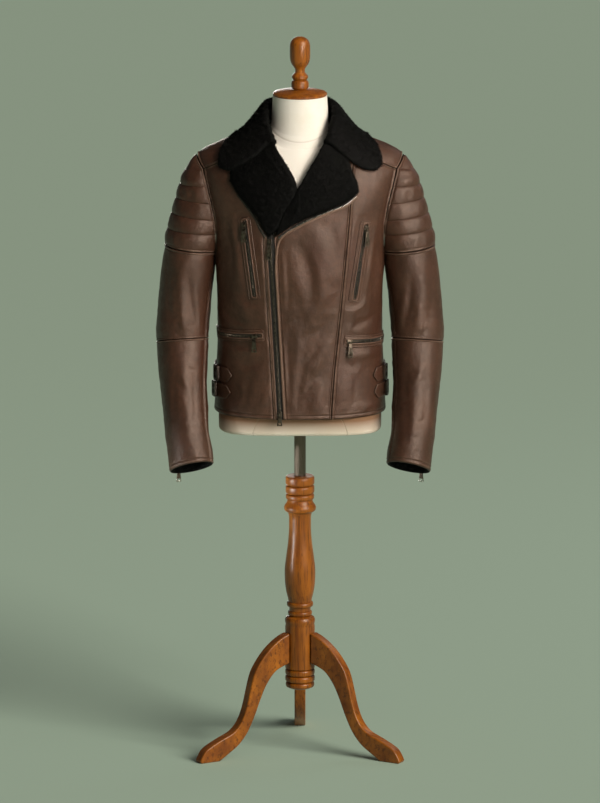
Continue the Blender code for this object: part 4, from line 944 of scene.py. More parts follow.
@dataclass(frozen=True)
class WaxedNappa:
    """Drum-dyed lamb nappa with a wax finish: a soft pebble, rubbed tan and painted lighter as a highlight on
    the ridges of its seams, and painted dark as shade in their valleys.
    """

    deep: str = "#1b110b"
    body: str = "#402619"
    light: str = "#533628"
    red: str = "#47261b"
    # tan of real wear and of the painted highlight on ridges
    tan: str = "#8a7060"
    pebble: float = 2.0                 # leather grain is about 1 mm, drawn coarser so that it shows
    name: str = "waxed_nappa_leather"

    def material(self) -> Material:
        """The leather of the panels, straps and buckles."""
        made = Recipe(self.name, Specular_IOR_Level=0.72, Specular_Tint=linear("#ffefe4"))
        place = made.place()
        cloudy = made.spread(made.noise(place, 70.0, 4.0), 0.35, 0.65)
        blotchy = made.spread(made.noise(place, 9.0, 4.0, 0.65), 0.3, 0.7)
        colour = made.mix(cloudy, self.body, self.light)
        reddish = made.spread(made.noise(made.place((1, 1, 0.7)), 110.0, 2.0), 0.52, 0.7, 0.0, 0.75)
        colour = made.mix(reddish, colour, self.red)
        colour = made.mix(made.maths("MULTIPLY", blotchy, 0.45), colour, self.deep)
        # real wear and a painted highlight: lighter tan on seam ridges and on the tops of guards and piping
        colour = made.mix(made.spread(made.attribute("wear"), 0.1, 1.0, 0.0, 0.5), colour, self.tan)
        # painted shade: near black in seam valleys and under guards and piping
        colour = made.mix(made.spread(made.attribute("shade"), 0.1, 0.9, 0.0, 0.9), colour, "#120b08")
        cell = {"Vector": place, "Scale": 1 / (self.pebble * MM), "Randomness": 0.9}
        grain = made.add("TexVoronoi", cell, {"feature": "DISTANCE_TO_EDGE"}).outputs["Distance"]
        pebbled = made.bump(made.spread(grain, 0.0, 0.28), 0.17)
        soft = made.bump(made.noise(place, 7.0, 3.0), 0.55, pebbled)
        finish = made.spread(blotchy, 0.0, 1.0, 0.37, 0.48)
        return made.done(colour, finish, soft)


@dataclass(frozen=True)
class WaxedThread:
    """Bonded polyester thread, a shade lighter than the leather, with a dull waxed surface."""

    def material(self) -> Material:
        """The thread of the stitches."""
        made = Recipe("waxed_polyester_thread", Roughness=0.6)
        strands = made.noise(made.place((1.0, 1.0, 1.0), (0.5, 0.3, 0)), 1.2, 1.0)
        return made.done(made.mix(strands, "#3d2f27", "#6e5b4d"), None, made.bump(strands, 0.2))


@dataclass(frozen=True)
class BlackShearling:
    """Dyed sheepskin with its pile left long: nearly black at the root, with a cold sheen at the tips, and a
    painted sheen in soft patches.
    """

    root: str = "#020202"
    tip: str = "#070706"
    painted_sheen: str = "#171915"             # painted sheen: lighter patches where the nap would catch the light
    sheen: str = "#3d4a40"

    def material(self) -> Material:
        """The pile, which lightens from root to tip by the mesh's own mark."""
        made = Recipe("black_shearling", Roughness=0.7, Sheen_Weight=0.1, Sheen_Roughness=0.4,
                      Sheen_Tint=linear(self.sheen), Specular_IOR_Level=0.14)
        place = made.place()
        clumps = made.spread(made.noise(place, 9.0, 3.0), 0.4, 0.65)
        tips = made.maths("MULTIPLY", made.attribute("tip"), made.spread(clumps, 0.0, 1.0, 0.35, 1.0))
        strands = made.bump(made.noise(place, 1.1, 2.0), 0.5)
        # painted sheen: soft lighter patches of the tips' colour
        painted_sheen = made.mix(made.spread(made.noise(place, 34.0, 3.0, 0.6), 0.5, 0.68), self.tip, self.painted_sheen)
        return made.done(made.mix(tips, self.root, painted_sheen), None, strands)


@dataclass(frozen=True)
class ZipTape:
    """Woven polyester tape, in ribs about 1 mm apart."""

    def material(self) -> Material:
        """The tape that the teeth are clamped to."""
        made = Recipe("woven_polyester_tape", Roughness=0.85, Sheen_Weight=0.15)
        place = made.place()
        ribs = made.add("TexWave", {"Vector": place, "Scale": 0.16 / MM, "Distortion": 0.6}).outputs["Fac"]
        dust = made.spread(made.noise(place, 6.0, 3.0), 0.4, 0.7)
        return made.done(made.mix(dust, "#100e0b", "#221e19"), None, made.bump(ribs, 0.25))


@dataclass(frozen=True)
class Gunmetal:
    """Zinc alloy plated in black nickel and tumbled: darker and brighter in soft random patches."""

    dark: str
    bright: str
    roughness: float

    def material(self, name: str) -> Material:
        """The metal of sliders, pulls or teeth."""
        made = Recipe(name, Metallic=1.0)
        place = made.place()
        tumbled = made.noise(place, 5.0, 2.0, 0.5)
        colour = made.mix(made.spread(tumbled, 0.3, 0.7), self.dark, self.bright)
        finish = made.spread(tumbled, 0.3, 0.7, self.roughness - 0.05, self.roughness + 0.08)
        return made.done(colour, finish, made.bump(tumbled, 0.02))


@dataclass(frozen=True)
class FormCloth:
    """Ivory cotton jersey drawn tight over the form: its weave of 0.6 mm shows only as a soft mottle."""

    clean: str = "#eeebe3"
    soiled: str = "#d3bf9a"
    # colour of the painted shade in the seam grooves
    seam: str = "#8f8069"

    def material(self) -> Material:
        """The cover of the dress form, a little soiled towards its lower edge, with a painted warm shadow
        under the jacket's hem and painted shade in its seams.
        """
        made = Recipe("ivory_cotton_jersey", Roughness=0.85, Sheen_Weight=0.1, Specular_IOR_Level=0.3)
        place = made.place()
        weave = made.noise(place, 1.4, 2.0, 0.6)
        height = made.add("SeparateXYZ", {0: made.add("TexCoord").outputs["Object"]}).outputs["Z"]
        low = made.spread(height, 0.715, 0.765, 0.35, 0.0)
        soiled = made.maths("ADD", low, made.spread(made.noise(place, 45.0, 3.0), 0.4, 0.8, 0.0, 0.2))
        colour = made.mix(soiled, self.clean, self.soiled)
        # painted shadow: a warm brown band just under the jacket's hem
        painted_hem_shadow = made.maths("MULTIPLY", made.spread(height, 0.716, 0.747, 0.0, 0.95),
                            made.spread(height, 0.80, 0.85, 1.0, 0.0))
        colour = made.mix(painted_hem_shadow, colour, "#7d5838")
        # painted shade in the form's seam grooves
        colour = made.mix(made.attribute("shade"), colour, self.seam)
        return made.done(colour, None, made.bump(weave, 0.12))


class Grain(Enum):
    """The way the timber's grain runs in a piece."""

    UPRIGHT = (1, 1, 0.05)
    ALONG_X = (0.06, 1, 0.35)
    ALONG_Y = (1, 0.06, 0.35)


@dataclass(frozen=True)
class StainedOak:
    """Oak, stained mid brown and varnished: long dark pores in a warm ground, with a satin coat."""

    dark: str = "#421f08"
    body: str = "#82450d"
    light: str = "#b0691b"

    def material(self, grain: Grain) -> Material:
        """The timber with its grain along a piece."""
        made = Recipe(f"stained_oak_{grain.name.lower()}", Coat_Weight=0.22, Coat_Roughness=0.25,
                      Specular_IOR_Level=0.35)
        stretched = made.place(grain.value)
        figure = made.spread(made.noise(stretched, 14.0, 5.0, 0.6), 0.32, 0.68)
        pores = made.spread(made.noise(stretched, 4.0, 3.0, 0.7), 0.52, 0.66)
        patchy = made.spread(made.noise(made.place(), 60.0, 2.0), 0.35, 0.7)
        colour = made.mix(figure, self.body, self.light)
        colour = made.mix(made.maths("MULTIPLY", pores, 0.65), colour, self.dark)
        colour = made.mix(made.maths("MULTIPLY", patchy, 0.35), colour, self.dark)
        return made.done(colour, made.spread(figure, 0.0, 1.0, 0.42, 0.30), made.bump(pores, -0.12))


@dataclass(frozen=True)
class PolishedSteel:
    """Steel tube, ground in the round: its fine hoops draw each light out into a sharp upright line."""

    def material(self) -> Material:
        """The pole's metal."""
        made = Recipe("ground_steel_tube", Metallic=1.0, Anisotropic=0.92)
        around = made.add("Tangent", settings={"direction_type": "RADIAL", "axis": "Z"}).outputs["Tangent"]
        made.tree.links.new(around, made.shader.inputs["Tangent"])
        scratches = made.noise(made.place((1, 1, 0.02)), 1.5, 3.0)
        colour = made.mix(scratches, "#5b4f44", "#84776b")
        return made.done(colour, made.spread(scratches, 0.3, 0.7, 0.26, 0.36), made.bump(scratches, 0.02))


@dataclass
class Finishes:
    """Every material of the object, made once."""

    def __post_init__(self) -> None:
        """Make them."""
        self.leather = WaxedNappa().material()
        # painted shade: the straps and buckles take a darker copy of the same leather, standing in for the
        # shade on the jacket's sides
        self.strap = WaxedNappa("#100a06", "#21140c", "#2f1f16", "#28160e", "#7d6656",
                                name="waxed_nappa_straps").material()
        self.thread = WaxedThread().material()
        self.fur = BlackShearling().material()
        self.tape = ZipTape().material()
        self.slider = Gunmetal("#453d36", "#7b7063", 0.32).material("black_nickel_plate")
        self.teeth = Gunmetal("#463f38", "#7d7365", 0.32).material("antique_nickel_teeth")
        self.silver = Gunmetal("#a5a29a", "#e2dfd6", 0.26).material("bright_nickel_teeth")
        self.cloth = FormCloth().material()
        self.wood = {grain: StainedOak().material(grain) for grain in Grain}
        self.steel = PolishedSteel().material()


# --------------------------------------------------------------------- workroom

@dataclass
class Cut:
    """A piece of cloth as it was cut, with what is sewn on it."""

    piece: Piece
    flat: tuple[float, float]
    area: float
    trims: list[Piece] = field(default_factory=list)


@dataclass
class Workroom:
    """The object's finishes, and the cloth that has been cut so far."""

    finishes: Finishes
    cuts: dict[str, Cut] = field(default_factory=dict)

    def declare(self, piece: Piece, slot: str, *nodes: str, body: str = "form") -> Piece:
        """Attach a piece to the body it rides on, and hide the nodes that it stands for, naming it after the
        first.
        """
        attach(piece, body)
        if nodes:
            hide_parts(*nodes)
            piece.name = piece.data.name = f"fine_{nodes[0]}"
        LOG.info("%s: %d faces", piece.name, len(piece.data.polygons))
        return piece

    def trim(self, cloth: str, piece: Piece, slot: str, *nodes: str) -> None:
        """Declare a piece that is sewn on a piece of cloth."""
        self.declare(piece, slot, *nodes)
        self.cuts[cloth].trims.append(piece)

    def sew(self, panel: Panel, inside: Material, node: str | None = None,
            cloth: str | None = None) -> None:
        """Build and stitch a panel of leather.

        Args:
            panel: the panel.
            inside: the material of its inner side.
            node: the CAD node that it stands for.
            cloth: the cloth that it is sewn on, where it is only a trim.
        """
        piece = panel.build(self.finishes.leather, inside)
        nodes = (node,) if node else ()
        if cloth is None:
            self.declare(piece, "leather", *nodes)
            self.cuts[panel.name] = Cut(piece, panel.flat, panel.area)
        else:
            self.trim(cloth, piece, "leather", *nodes)
        stitches = Stitching().on(panel, self.finishes.thread)
        if stitches is not None:
            self.trim(cloth or panel.name, stitches, "leather")

    def close(self) -> None:
        """Go over the trims of every piece of cloth; nothing more is done with them."""
        for cut in self.cuts.values():
            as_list(cut.trims)


# ------------------------------------------------------------------ leather body

STRAP_LEVELS = (842, 805.5)


def strap_flats(side: int, inner: float) -> list[Flat]:
    """Where the side straps hold a panel flat, from a distance off the centre."""
    return [Flat((side * inner, z), (side * 196.0, z), 16.5) for z in STRAP_LEVELS]


def mean_share(*rails: Array) -> Array:
    """Share of the mean length of two rails of (turn, z) travelled at each of their stations."""
    steps = np.mean([np.linalg.norm(np.diff(BODY.point(*rail.T), axis=0), axis=-1) for rail in rails], axis=0)
    at = np.concatenate([[0.0], np.cumsum(steps)])
    return at / at[-1]


@dataclass
class Fronts:
    """The three front panels, ruled between their edges and drawn up to the shoulder seam."""

    room: Workroom
    zip_foot: tuple[float, float] = (-42, 755)
    zip_head: tuple[float, float] = (-64.5, 1150)
    zip_half_gap: float = 8.8
    princess_rows: Rows = (
        (755, 66), (830, 71), (925, 80), (990, 87), (1120, 99), (1190, 105), (1250, 109), (1300, 112),
        (1335, 116))
    princess_share: float = 0.31        # how far along the shoulder seam it ends
    shoulder_gap: float = 0.5
    low_levels: tuple[float, ...] = (755, 800, 860, 920, 980, 1030)
    left_levels: tuple[float, ...] = (
        1078, 1092, 1106, 1125, 1150, 1168, 1188, 1210, 1234, 1260, 1285, 1310, 1334)
    right_levels: tuple[float, ...] = (
        1078, 1092, 1106, 1125, 1150, 1166, 1183, 1202, 1226, 1250, 1282, 1314, 1346)
    armhole_levels: tuple[float, ...] = (
        1076, 1090, 1103, 1122, 1142, 1158, 1174, 1192, 1210, 1228, 1247, 1266, 1284)

    def zip_x(self, z: Array) -> Array:
        """Middle of the centre-front zip."""
        (foot_x, foot_z), (head_x, head_z) = self.zip_foot, self.zip_head
        return foot_x + (head_x - foot_x) * (np.asarray(z) - foot_z) / (head_z - foot_z)

    def inner_x(self, z: Array, side: int) -> Array:
        """Inner edge of a front: the zip, then its roll line up to the neck."""
        z = np.asarray(z, float)
        head = float(self.zip_x(self.zip_head[1])) + side * self.zip_half_gap
        if side > 0:
            line = np.interp(z, (1150, 1202, 1250, 1334), (head, -37.0, -8.5, 53.0))
        else:
            line = np.interp(z, (1150, 1166, 1202, 1250, 1346), (head, -56.5, -38.6, -11.1, -61.0))
        return np.where(z <= self.zip_head[1], self.zip_x(z) + side * self.zip_half_gap, line)

    def seam_point(self, share: Array, side: int) -> Array:
        """Points of the forward shoulder seam, from the neck to the armhole."""
        share = np.asarray(share, float)
        x = BODY.neck_x + (BODY.shoulder_end - BODY.neck_x) * share
        z = BODY.neck_z + (BODY.shoulder_seam - BODY.neck_z) * share - self.shoulder_gap
        return BODY.on_front(side * x, z)[0]

    def rails(self, side: int) -> tuple[Array, Array]:
        """(turn, z) of the inner and outer edges of a whole front at each row."""
        levels = np.array(self.low_levels + (self.left_levels if side > 0 else self.right_levels))
        inner = np.stack([BODY.turn_at(self.inner_x(levels, side), levels), levels], axis=-1)
        heights = np.array(self.low_levels + self.armhole_levels)
        turns = np.where(heights < BODY.armpit, 90.0, BODY.armhole_turn.one(heights))
        outer = np.stack([side * turns, heights], axis=-1)
        neck = side * BODY.neck_x, BODY.neck_z - self.shoulder_gap
        inner[-1] = BODY.turn_at(np.array(neck[0]), np.array(neck[1])), neck[1]
        return inner, outer

    def surface(self, side: int, part: tuple[float, float]) -> Surface:
        """Surface of a front, or of one part of it beside the raised seam.

        Args:
            side: 1 for the wearer's left, -1 for the right.
            part: the stretch of the shoulder seam that it ends at.

        Returns:
            Points by u, outwards from the zip, and v, upwards from the hem.
        """
        inner, outer = self.rails(side)
        middles = (inner[:, 1] + outer[:, 1]) / 2
        seam_x = Curve(self.princess_rows).one(middles)
        princess = np.stack([BODY.turn_at(side * seam_x, middles), middles], axis=-1)
        joint = self.seam_point(np.array(self.princess_share), side)
        princess[-1] = BODY.turn_at(joint[0], joint[2]), joint[2]
        first = princess if part[0] > 0 else inner
        last = princess if part[1] < 1 else outer
        share = mean_share(first, last)
        start, end = smooth(share, first), smooth(share, last)

        def point(u: Array, v: Array) -> Array:
            """Points of the panel."""
            ruled = start(v) * (1 - u)[..., None] + end(v) * u[..., None]
            points = BODY.point(ruled[..., 0], ruled[..., 1])
            flat = start(np.ones_like(u)) * (1 - u)[..., None] + end(np.ones_like(u)) * u[..., None]
            top = BODY.point(flat[..., 0], flat[..., 1])
            seam = self.seam_point(part[0] + (part[1] - part[0]) * u, side)
            return points + (seam - top) * ease(0.86, 1.0, v)[..., None]
        return point

    def stops(self, side: int) -> tuple[float, float]:
        """Shares of a front's edges at which the zip stops, and its side seam meets the armhole."""
        inner, outer = self.rails(side)
        share = mean_share(inner, outer)
        return (float(np.interp(self.zip_head[1], inner[:, 1], share)),
                float(np.interp(BODY.armpit, outer[:, 1], share)))

    def panel(self, name: str, side: int, part: tuple[float, float], folds: Sequence[Fold],
              flats: Sequence[Flat]) -> Panel:
        """A front panel with its seams."""
        zip_stop, armpit = self.stops(side)
        zipped = (Run(ZIPPED, -1.0, zip_stop), Run(PLAIN, zip_stop, 2.0))
        outer = (Run(PLAIN, -1.0, armpit), Run(DOUBLE, armpit, 2.0))
        seams = {
            Side.LEFT: zipped if part[0] == 0 else (Run(DOUBLE),), Side.FOOT: (Run(HEM),),
            Side.RIGHT: outer if part[1] == 1 else (Run(DOUBLE),), Side.HEAD: (Run(DOUBLE),)}
        return Panel(name, self.surface(side, part), seams, spacing=5.2, folds=folds, flats=flats)

    def build(self) -> None:
        """Make the three panels."""
        pockets = {1: [Flat((140, 1176), (115.5, 1012), 13.0), Flat((98, 922.8), (180, 915), 12.0)],
                   -1: [Flat((-118.5, 1187), (-96.5, 1020), 13.0), Flat((-81, 936.2), (-176, 927.4), 12.0)]}
        folds = FrontFolds()
        whole = (0.0, 1.0)
        for name, side, part, creased in (
                ("front_right", -1, whole, folds.right()),
                ("front_left_centre", 1, (0.0, self.princess_share), folds.left_centre()),
                ("front_left_side", 1, (self.princess_share, 1.0), folds.left_side())):
            flats = [] if name == "front_left_centre" else strap_flats(side, 146.0) + pockets[side]
            self.room.sew(self.panel(name, side, part, creased, flats), self.room.finishes.fur, name)


class FrontFolds:
    """The folds of the fronts: soft slanting swells over the chest, drag lines at pockets, zip and hem."""

    def right(self) -> list[Fold]:
        """Folds of the wearer's right front."""
        return folded(
            (-78, 1150, -60, 1010, 1.6, 8, 4), (-72, 1120, -62, 960, -1.5, 6, -3),
            (-66, 1050, -60, 860, 1.5, 6, 2), (-92, 1010, -66, 900, 2.2, 13, 8),
            (-140, 1200, -122, 1030, 2.6, 11, -6), (-160, 1180, -140, 1060, -1.8, 8, 5),
            (-88, 1150, -84, 1050, 2, 10, 5), (-150, 1020, -110, 975, 2.6, 12, 6),
            (-165, 985, -95, 955, -2.2, 8, -5), (-95, 905, -170, 895, 2.4, 9, 4),
            (-75, 885, -130, 868, -1.7, 8, 4), (-70, 830, -88, 775, 2, 9, 4),
            (-100, 860, -118, 780, -2, 8, -4), (-62, 800, -72, 765, -1.3, 6, 2),
            (-128, 840, -140, 770, 1.8, 9, 3), (-170, 1130, -176, 960, 2, 9, 3),
            (-166, 960, -176, 880, -1.6, 7, -3), (-190, 1190, -160, 1120, 1.8, 8, -4),
        ) + creases(21, 5, (-165, 880, -80, 1010), 160.0, 34.0, 1.1, 4.2) + creases(
            22, 5, (-70, 830, -58, 1120), 100.0, 26.0, 0.8, 3.6, 18.0)

    def left_centre(self) -> list[Fold]:
        """Folds of the wearer's left front between the zip and the raised seam."""
        return folded(
            (-40, 1140, -33, 990, 1.9, 5, 2), (-31, 1130, -25, 980, -1.5, 5, 2),
            (-34, 960, -26, 800, 1.7, 5, -2), (-27, 930, -18, 790, -1.4, 5, -2),
            (20, 1190, 70, 1045, 3, 15, 9), (60, 1190, 90, 1060, -2.6, 11, 6),
            (-12, 1150, 30, 1030, -2.2, 11, 6), (-18, 1090, 12, 990, 2.2, 11, 4),
            (75, 1040, 15, 960, 3, 14, -10), (70, 985, 0, 925, -2.5, 11, 8), (75, 940, 30, 850, 2.8, 13, -7),
            (-5, 960, -12, 850, 2, 9, 4), (60, 880, 5, 830, -2.2, 10, 6), (45, 840, 20, 765, 2.4, 10, 5),
            (10, 880, -6, 770, -1.8, 8, -4), (64, 850, 52, 765, -2, 8, 3), (88, 1190, 84, 1100, 1.8, 8, -3),
            (30, 1150, 46, 975, 3.2, 17, 5), (12, 1140, 26, 990, -2.4, 13, 4),
        ) + creases(31, 6, (-20, 800, 60, 1120), 55.0, 34.0, 1.0, 4.5)

    def left_side(self) -> list[Fold]:
        """Folds of the wearer's left front beyond the raised seam."""
        return folded(
            (158, 1205, 140, 1020, 2.6, 10, 5), (172, 1170, 158, 1050, -2, 8, -4),
            (118, 1190, 104, 1040, 1.6, 7, -3), (150, 1010, 100, 975, 2.6, 11, -5),
            (172, 985, 105, 950, -2.2, 8, 5), (100, 895, 172, 888, 2.2, 9, -4),
            (88, 880, 130, 862, -1.6, 7, -4), (96, 850, 88, 770, 2, 8, -3), (118, 850, 112, 768, -1.8, 7, 3),
            (136, 790, 140, 762, 1.4, 8, 2), (170, 1120, 174, 960, 2, 9, -3),
            (186, 1190, 160, 1120, 1.8, 8, 4),
        ) + creases(41, 6, (100, 870, 165, 1000), 20.0, 34.0, 1.1, 4.2)


@dataclass
class Back:
    """The back in one piece, carried over both shoulders to the forward seams."""

    room: Workroom
    knee: float = 0.68                  # share of its height at which it starts to close over the shoulders
    neck_share: float = 4 / 9           # share of its half width that ends at the neck seam

    def __post_init__(self) -> None:
        """Work out the armhole's line over the shoulder."""
        levels = np.linspace(BODY.chest + 0.5, BODY.shoulder, 30)
        behind = BODY.armhole(levels, True)
        over = BODY.cap_arc(levels[::-1], False)
        xs = np.concatenate([behind[:, 0], over[0][1:]])
        climbs = np.concatenate([BODY.climb_of(behind[:, 0], behind[:, 2]), over[1][1:]])
        end = 180 - float(BODY.climb_of(np.array(BODY.shoulder_end), np.array(BODY.shoulder_seam)))
        keep = climbs < end - 0.5
        self.arm_climbs = np.append(climbs[keep], end)
        self.arm_xs = np.append(xs[keep], BODY.shoulder_end)

    def arm_x(self, climb: Array) -> Array:
        """Distance of the armhole from the centre by climb."""
        return np.interp(climb, self.arm_climbs, self.arm_xs)

    def ends(self, half: Array) -> tuple[Array, Array]:
        """Where each line of a half ends: its distance from the centre and its climb."""
        share = np.clip(half / self.neck_share, 0.0, 1.0)
        neck = BODY.neck(share)
        neck_climb = BODY.climb_at(neck[..., 0], neck[..., 1])
        share = np.clip((half - self.neck_share) / (1 - self.neck_share), 0.0, 1.0)
        x = BODY.neck_x + (BODY.shoulder_end - BODY.neck_x) * share
        z = BODY.neck_z + (BODY.shoulder_seam - BODY.neck_z) * share
        seam_x = BODY.on_front(x, z)[0][..., 0]
        on_neck = half < self.neck_share
        return (np.where(on_neck, neck[..., 0], seam_x),
                np.where(on_neck, neck_climb, 180 - BODY.climb_of(seam_x, z)))

    def point(self, u: Array, v: Array) -> Array:
        """Points by u, across, and v, upwards from the hem."""
        side, half = np.sign(2 * u - 1), np.abs(2 * u - 1)
        z = BODY.hem + (BODY.chest - BODY.hem) * np.clip(v / self.knee, 0.0, 1.0)
        reach = np.where(z < BODY.armpit, 90.0, BODY.armhole_turn.one(z))
        low = BODY.point(180 - reach * half, z)
        part = np.clip((v - self.knee) / (1 - self.knee), 0.0, 1.0)
        starts = BODY.point(180 - BODY.armhole_turn.one(np.array(BODY.chest)) * half, BODY.chest)[..., 0]
        end_x, end_climb = self.ends(half)
        arm_start, arm_end = self.arm_x(0.0), BODY.shoulder_end
        bulge = self.arm_x(part * self.arm_climbs[-1]) - arm_start - (arm_end - arm_start) * part
        high = BODY.over(starts + (end_x - starts) * part + bulge * half ** 3, end_climb * part)
        points = np.where((v <= self.knee)[..., None], low, high)
        return points * np.stack([side, np.ones_like(side), np.ones_like(side)], axis=-1)

    def folds(self) -> list[Fold]:
        """Long soft drops from the shoulder blades and short drags over the waist."""
        return folded(
            (-120, 1240, -70, 1040, 2.6, 15, -8), (118, 1250, 78, 1030, 2.4, 14, 8),
            (-60, 1180, -20, 1000, -2.4, 13, 6), (52, 1190, 28, 1010, -2.2, 12, -6),
            (-10, 1150, 5, 990, 2.4, 14, 4), (-150, 1040, -60, 990, 2.6, 11, 6),
            (150, 1030, 50, 980, 2.5, 11, -7), (-140, 985, -30, 955, -2.6, 9, -5),
            (145, 970, 40, 945, -2.4, 9, 5), (-120, 940, 20, 925, 2.2, 9, 5), (130, 920, 10, 900, 2, 9, -4),
            (-90, 900, -110, 780, 2.2, 12, 5), (-40, 890, -46, 775, -2, 11, -4),
            (20, 880, 28, 770, 2.2, 12, 4), (80, 880, 96, 775, -2, 10, 4), (130, 870, 142, 780, 1.8, 9, 3),
        ) + creases(51, 7, (-120, 900, 120, 1010), 0.0, 40.0, 1.2, 5.0, 30.0)

    def build(self) -> None:
        """Make the back."""
        armpit = self.knee * (BODY.armpit - BODY.hem) / (BODY.chest - BODY.hem)
        sides = (Run(PLAIN, -1.0, armpit), Run(DOUBLE, armpit, 2.0))
        first, last = 0.5 - self.neck_share / 2, 0.5 + self.neck_share / 2
        head = (Run(DOUBLE, -1.0, first), Run(PLAIN, first, last), Run(DOUBLE, last, 2.0))
        flats = strap_flats(1, 150.0) + strap_flats(-1, 150.0)
        seams = {Side.LEFT: sides, Side.RIGHT: sides, Side.FOOT: (Run(HEM),), Side.HEAD: head}
        panel = Panel("back", self.point, seams, spacing=6.6, back_folds=self.folds(), flats=flats)
        self.room.sew(panel, self.room.finishes.fur, "back")


# ---------------------------------------------------------------------- sleeves

@dataclass
class Sleeves:
    """Five panels for each sleeve, with padded rolls over the shoulder."""

    room: Workroom
    roll_levels: tuple[float, ...] = (1103, 1142, 1174, 1210, 1247, 1284)
    roll_height: float = 3.7
    rib_top: float = 1308.0
    under_top: float = 1206.0
    rib_foot: float = 1103.0
    half_gap: float = 0.15

    def surface(self, low: float, high: float, under: bool) -> Surface:
        """Surface of a panel between two levels: u from its back seam, v upwards."""
        def point(u: Array, v: Array) -> Array:
            """Points of the panel."""
            level = low + (high - low) * v
            first, last = SLEEVE.ends(level, under)
            return SLEEVE.point(first + 0.16 + (last - first - 0.32) * u, level)
        return point

    def middle(self, points: Array) -> Array:
        """Points inside the sleeve level with given points, nearer the body above the armpit."""
        plan = SLEEVE.arm(np.clip(points[..., 2], SLEEVE.cuff, BODY.armpit))[..., :2]
        above = points[..., 2:] > BODY.armpit
        return np.concatenate([plan, points[..., 2:]], axis=-1) - np.array((30.0, 0.0, 20.0)) * above

    def rolls(self, u: Array, v: Array) -> Array:
        """Height of the padded rolls, sharp in their valleys and run right to the armhole seam."""
        level = self.rib_foot + (self.rib_top - self.rib_foot) * v
        keys = np.array(self.roll_levels)
        phase = np.interp(level, keys, np.arange(len(keys)))
        inside = (level > keys[0]) & (level < keys[-1])
        first, last = SLEEVE.ends(level, False)
        turn = first + (last - first) * u
        uneven = 1 + 0.12 * np.sin(turn / 17.0 + phase * 2.3)
        fade = ease(0.0, 7.0, turn - first) * ease(0.0, 7.0, last - turn)
        tall = self.roll_height * np.abs(np.sin(math.pi * phase)) ** 0.42 * uneven
        dents = 0.7 * np.sin(turn / 4.1 + np.floor(phase) * 1.9) * np.abs(np.sin(math.pi * phase)) ** 2
        dents *= ease(0.0, 1.0, np.sin(turn / 31.0 + np.floor(phase) * 2.1))
        return np.where(inside, (tall - dents) * fade, 0.0) - 1.0

    def rib_rows(self) -> Array:
        """Rows of the shoulder panel, close together in the valleys."""
        shape = np.array((0, 0.5, 1.1, 1.9, 3, 4.6, 6.8, 9.6, 13))
        levels = [self.rib_foot + self.half_gap]
        for low, high in zip(self.roll_levels, self.roll_levels[1:]):
            half = (high - low) / 2
            near = shape * min(1.0, half / 17.0)
            levels += [*(low + near[1:]), (low + high) / 2, *(high - near[::-1])]
        levels += list(np.linspace(self.roll_levels[-1] + 2.5, self.rib_top, 9))
        return (np.array(levels) - self.rib_foot) / (self.rib_top - self.rib_foot)

    def folds(self, name: str, right: bool) -> tuple[list[Fold], list[Fold]]:
        """Folds of a panel, in front and behind, in the left sleeve's own place.

        Args:
            name: the panel.
            right: whether it is for the wearer's right.

        Returns:
            The front folds and the back folds.
        """
        shift = -7.0 if right else 0.0
        seed = 100 if right else 0
        if name == "sleeve_rib":
            return [], []
        if name == "sleeve_top_upper":
            front = folded(
                (263 + shift, 1090, 253 + shift, 935, 2.7, 11, 3), (238, 1070, 220, 932, -3, 8, 4),
                (226, 1040, 211, 930, 1.8, 7, 2), (283, 1075, 277, 950, -1.5, 8, 2),
                (252, 1000, 238, 915, 1.5, 7, 5), (272, 945, 246, 916, -1.3, 6, 3))
            back = folded(
                (262, 1080, 266, 960, 2.8, 9, 4), (240, 1080, 250, 950, -2.4, 8, -4),
                (280, 1060, 278, 940, -2, 7, 3), (250, 980, 236, 915, 2.2, 8, 4))
            return front + creases(61 + seed, 3, (226, 920, 276, 1060), 70.0, 30.0, 0.6, 4.5), back
        if name == "sleeve_top_lower":
            front = folded(
                (257 + shift, 898, 247 + shift, 800, 1.7, 9, 4), (233, 890, 227, 730, -1.5, 7, -4),
                (270, 850, 260, 720, -1.3, 8, 4), (250 + shift, 800, 236, 680, 1.5, 9, -3),
                (262, 862, 240, 832, 1.2, 5, 3))
            wrinkles = [*creases(71 + seed, 8, (226, 720, 262, 860), 38.0, 26.0, 0.85, 4.2, 16.0),
                        *creases(72 + seed, 5, (224, 670, 258, 730), 20.0, 24.0, 0.7, 4.0, 20.0)]
            back = folded(
                (268, 890, 240, 860, 3, 7, 4), (272, 872, 236, 838, -2.8, 6, 3),
                (270, 850, 238, 815, 2.8, 7, 4), (266, 828, 240, 796, -2.2, 6, 3),
                (262, 790, 250, 700, 2, 8, 3))
            return front + wrinkles, back + creases(73 + seed, 5, (226, 700, 262, 860), 30.0, 28.0, 1.2, 4.0)
        front = folded(
            (206, 1040, 208, 940, 2, 6, 2), (210, 860, 206, 740, 2, 7, 2), (216, 900, 200, 860, -2, 6, 2))
        return (front, creases(81 + seed, 7, (205, 700, 260, 1040), 20.0, 36.0, 1.5, 5.0, 35.0))

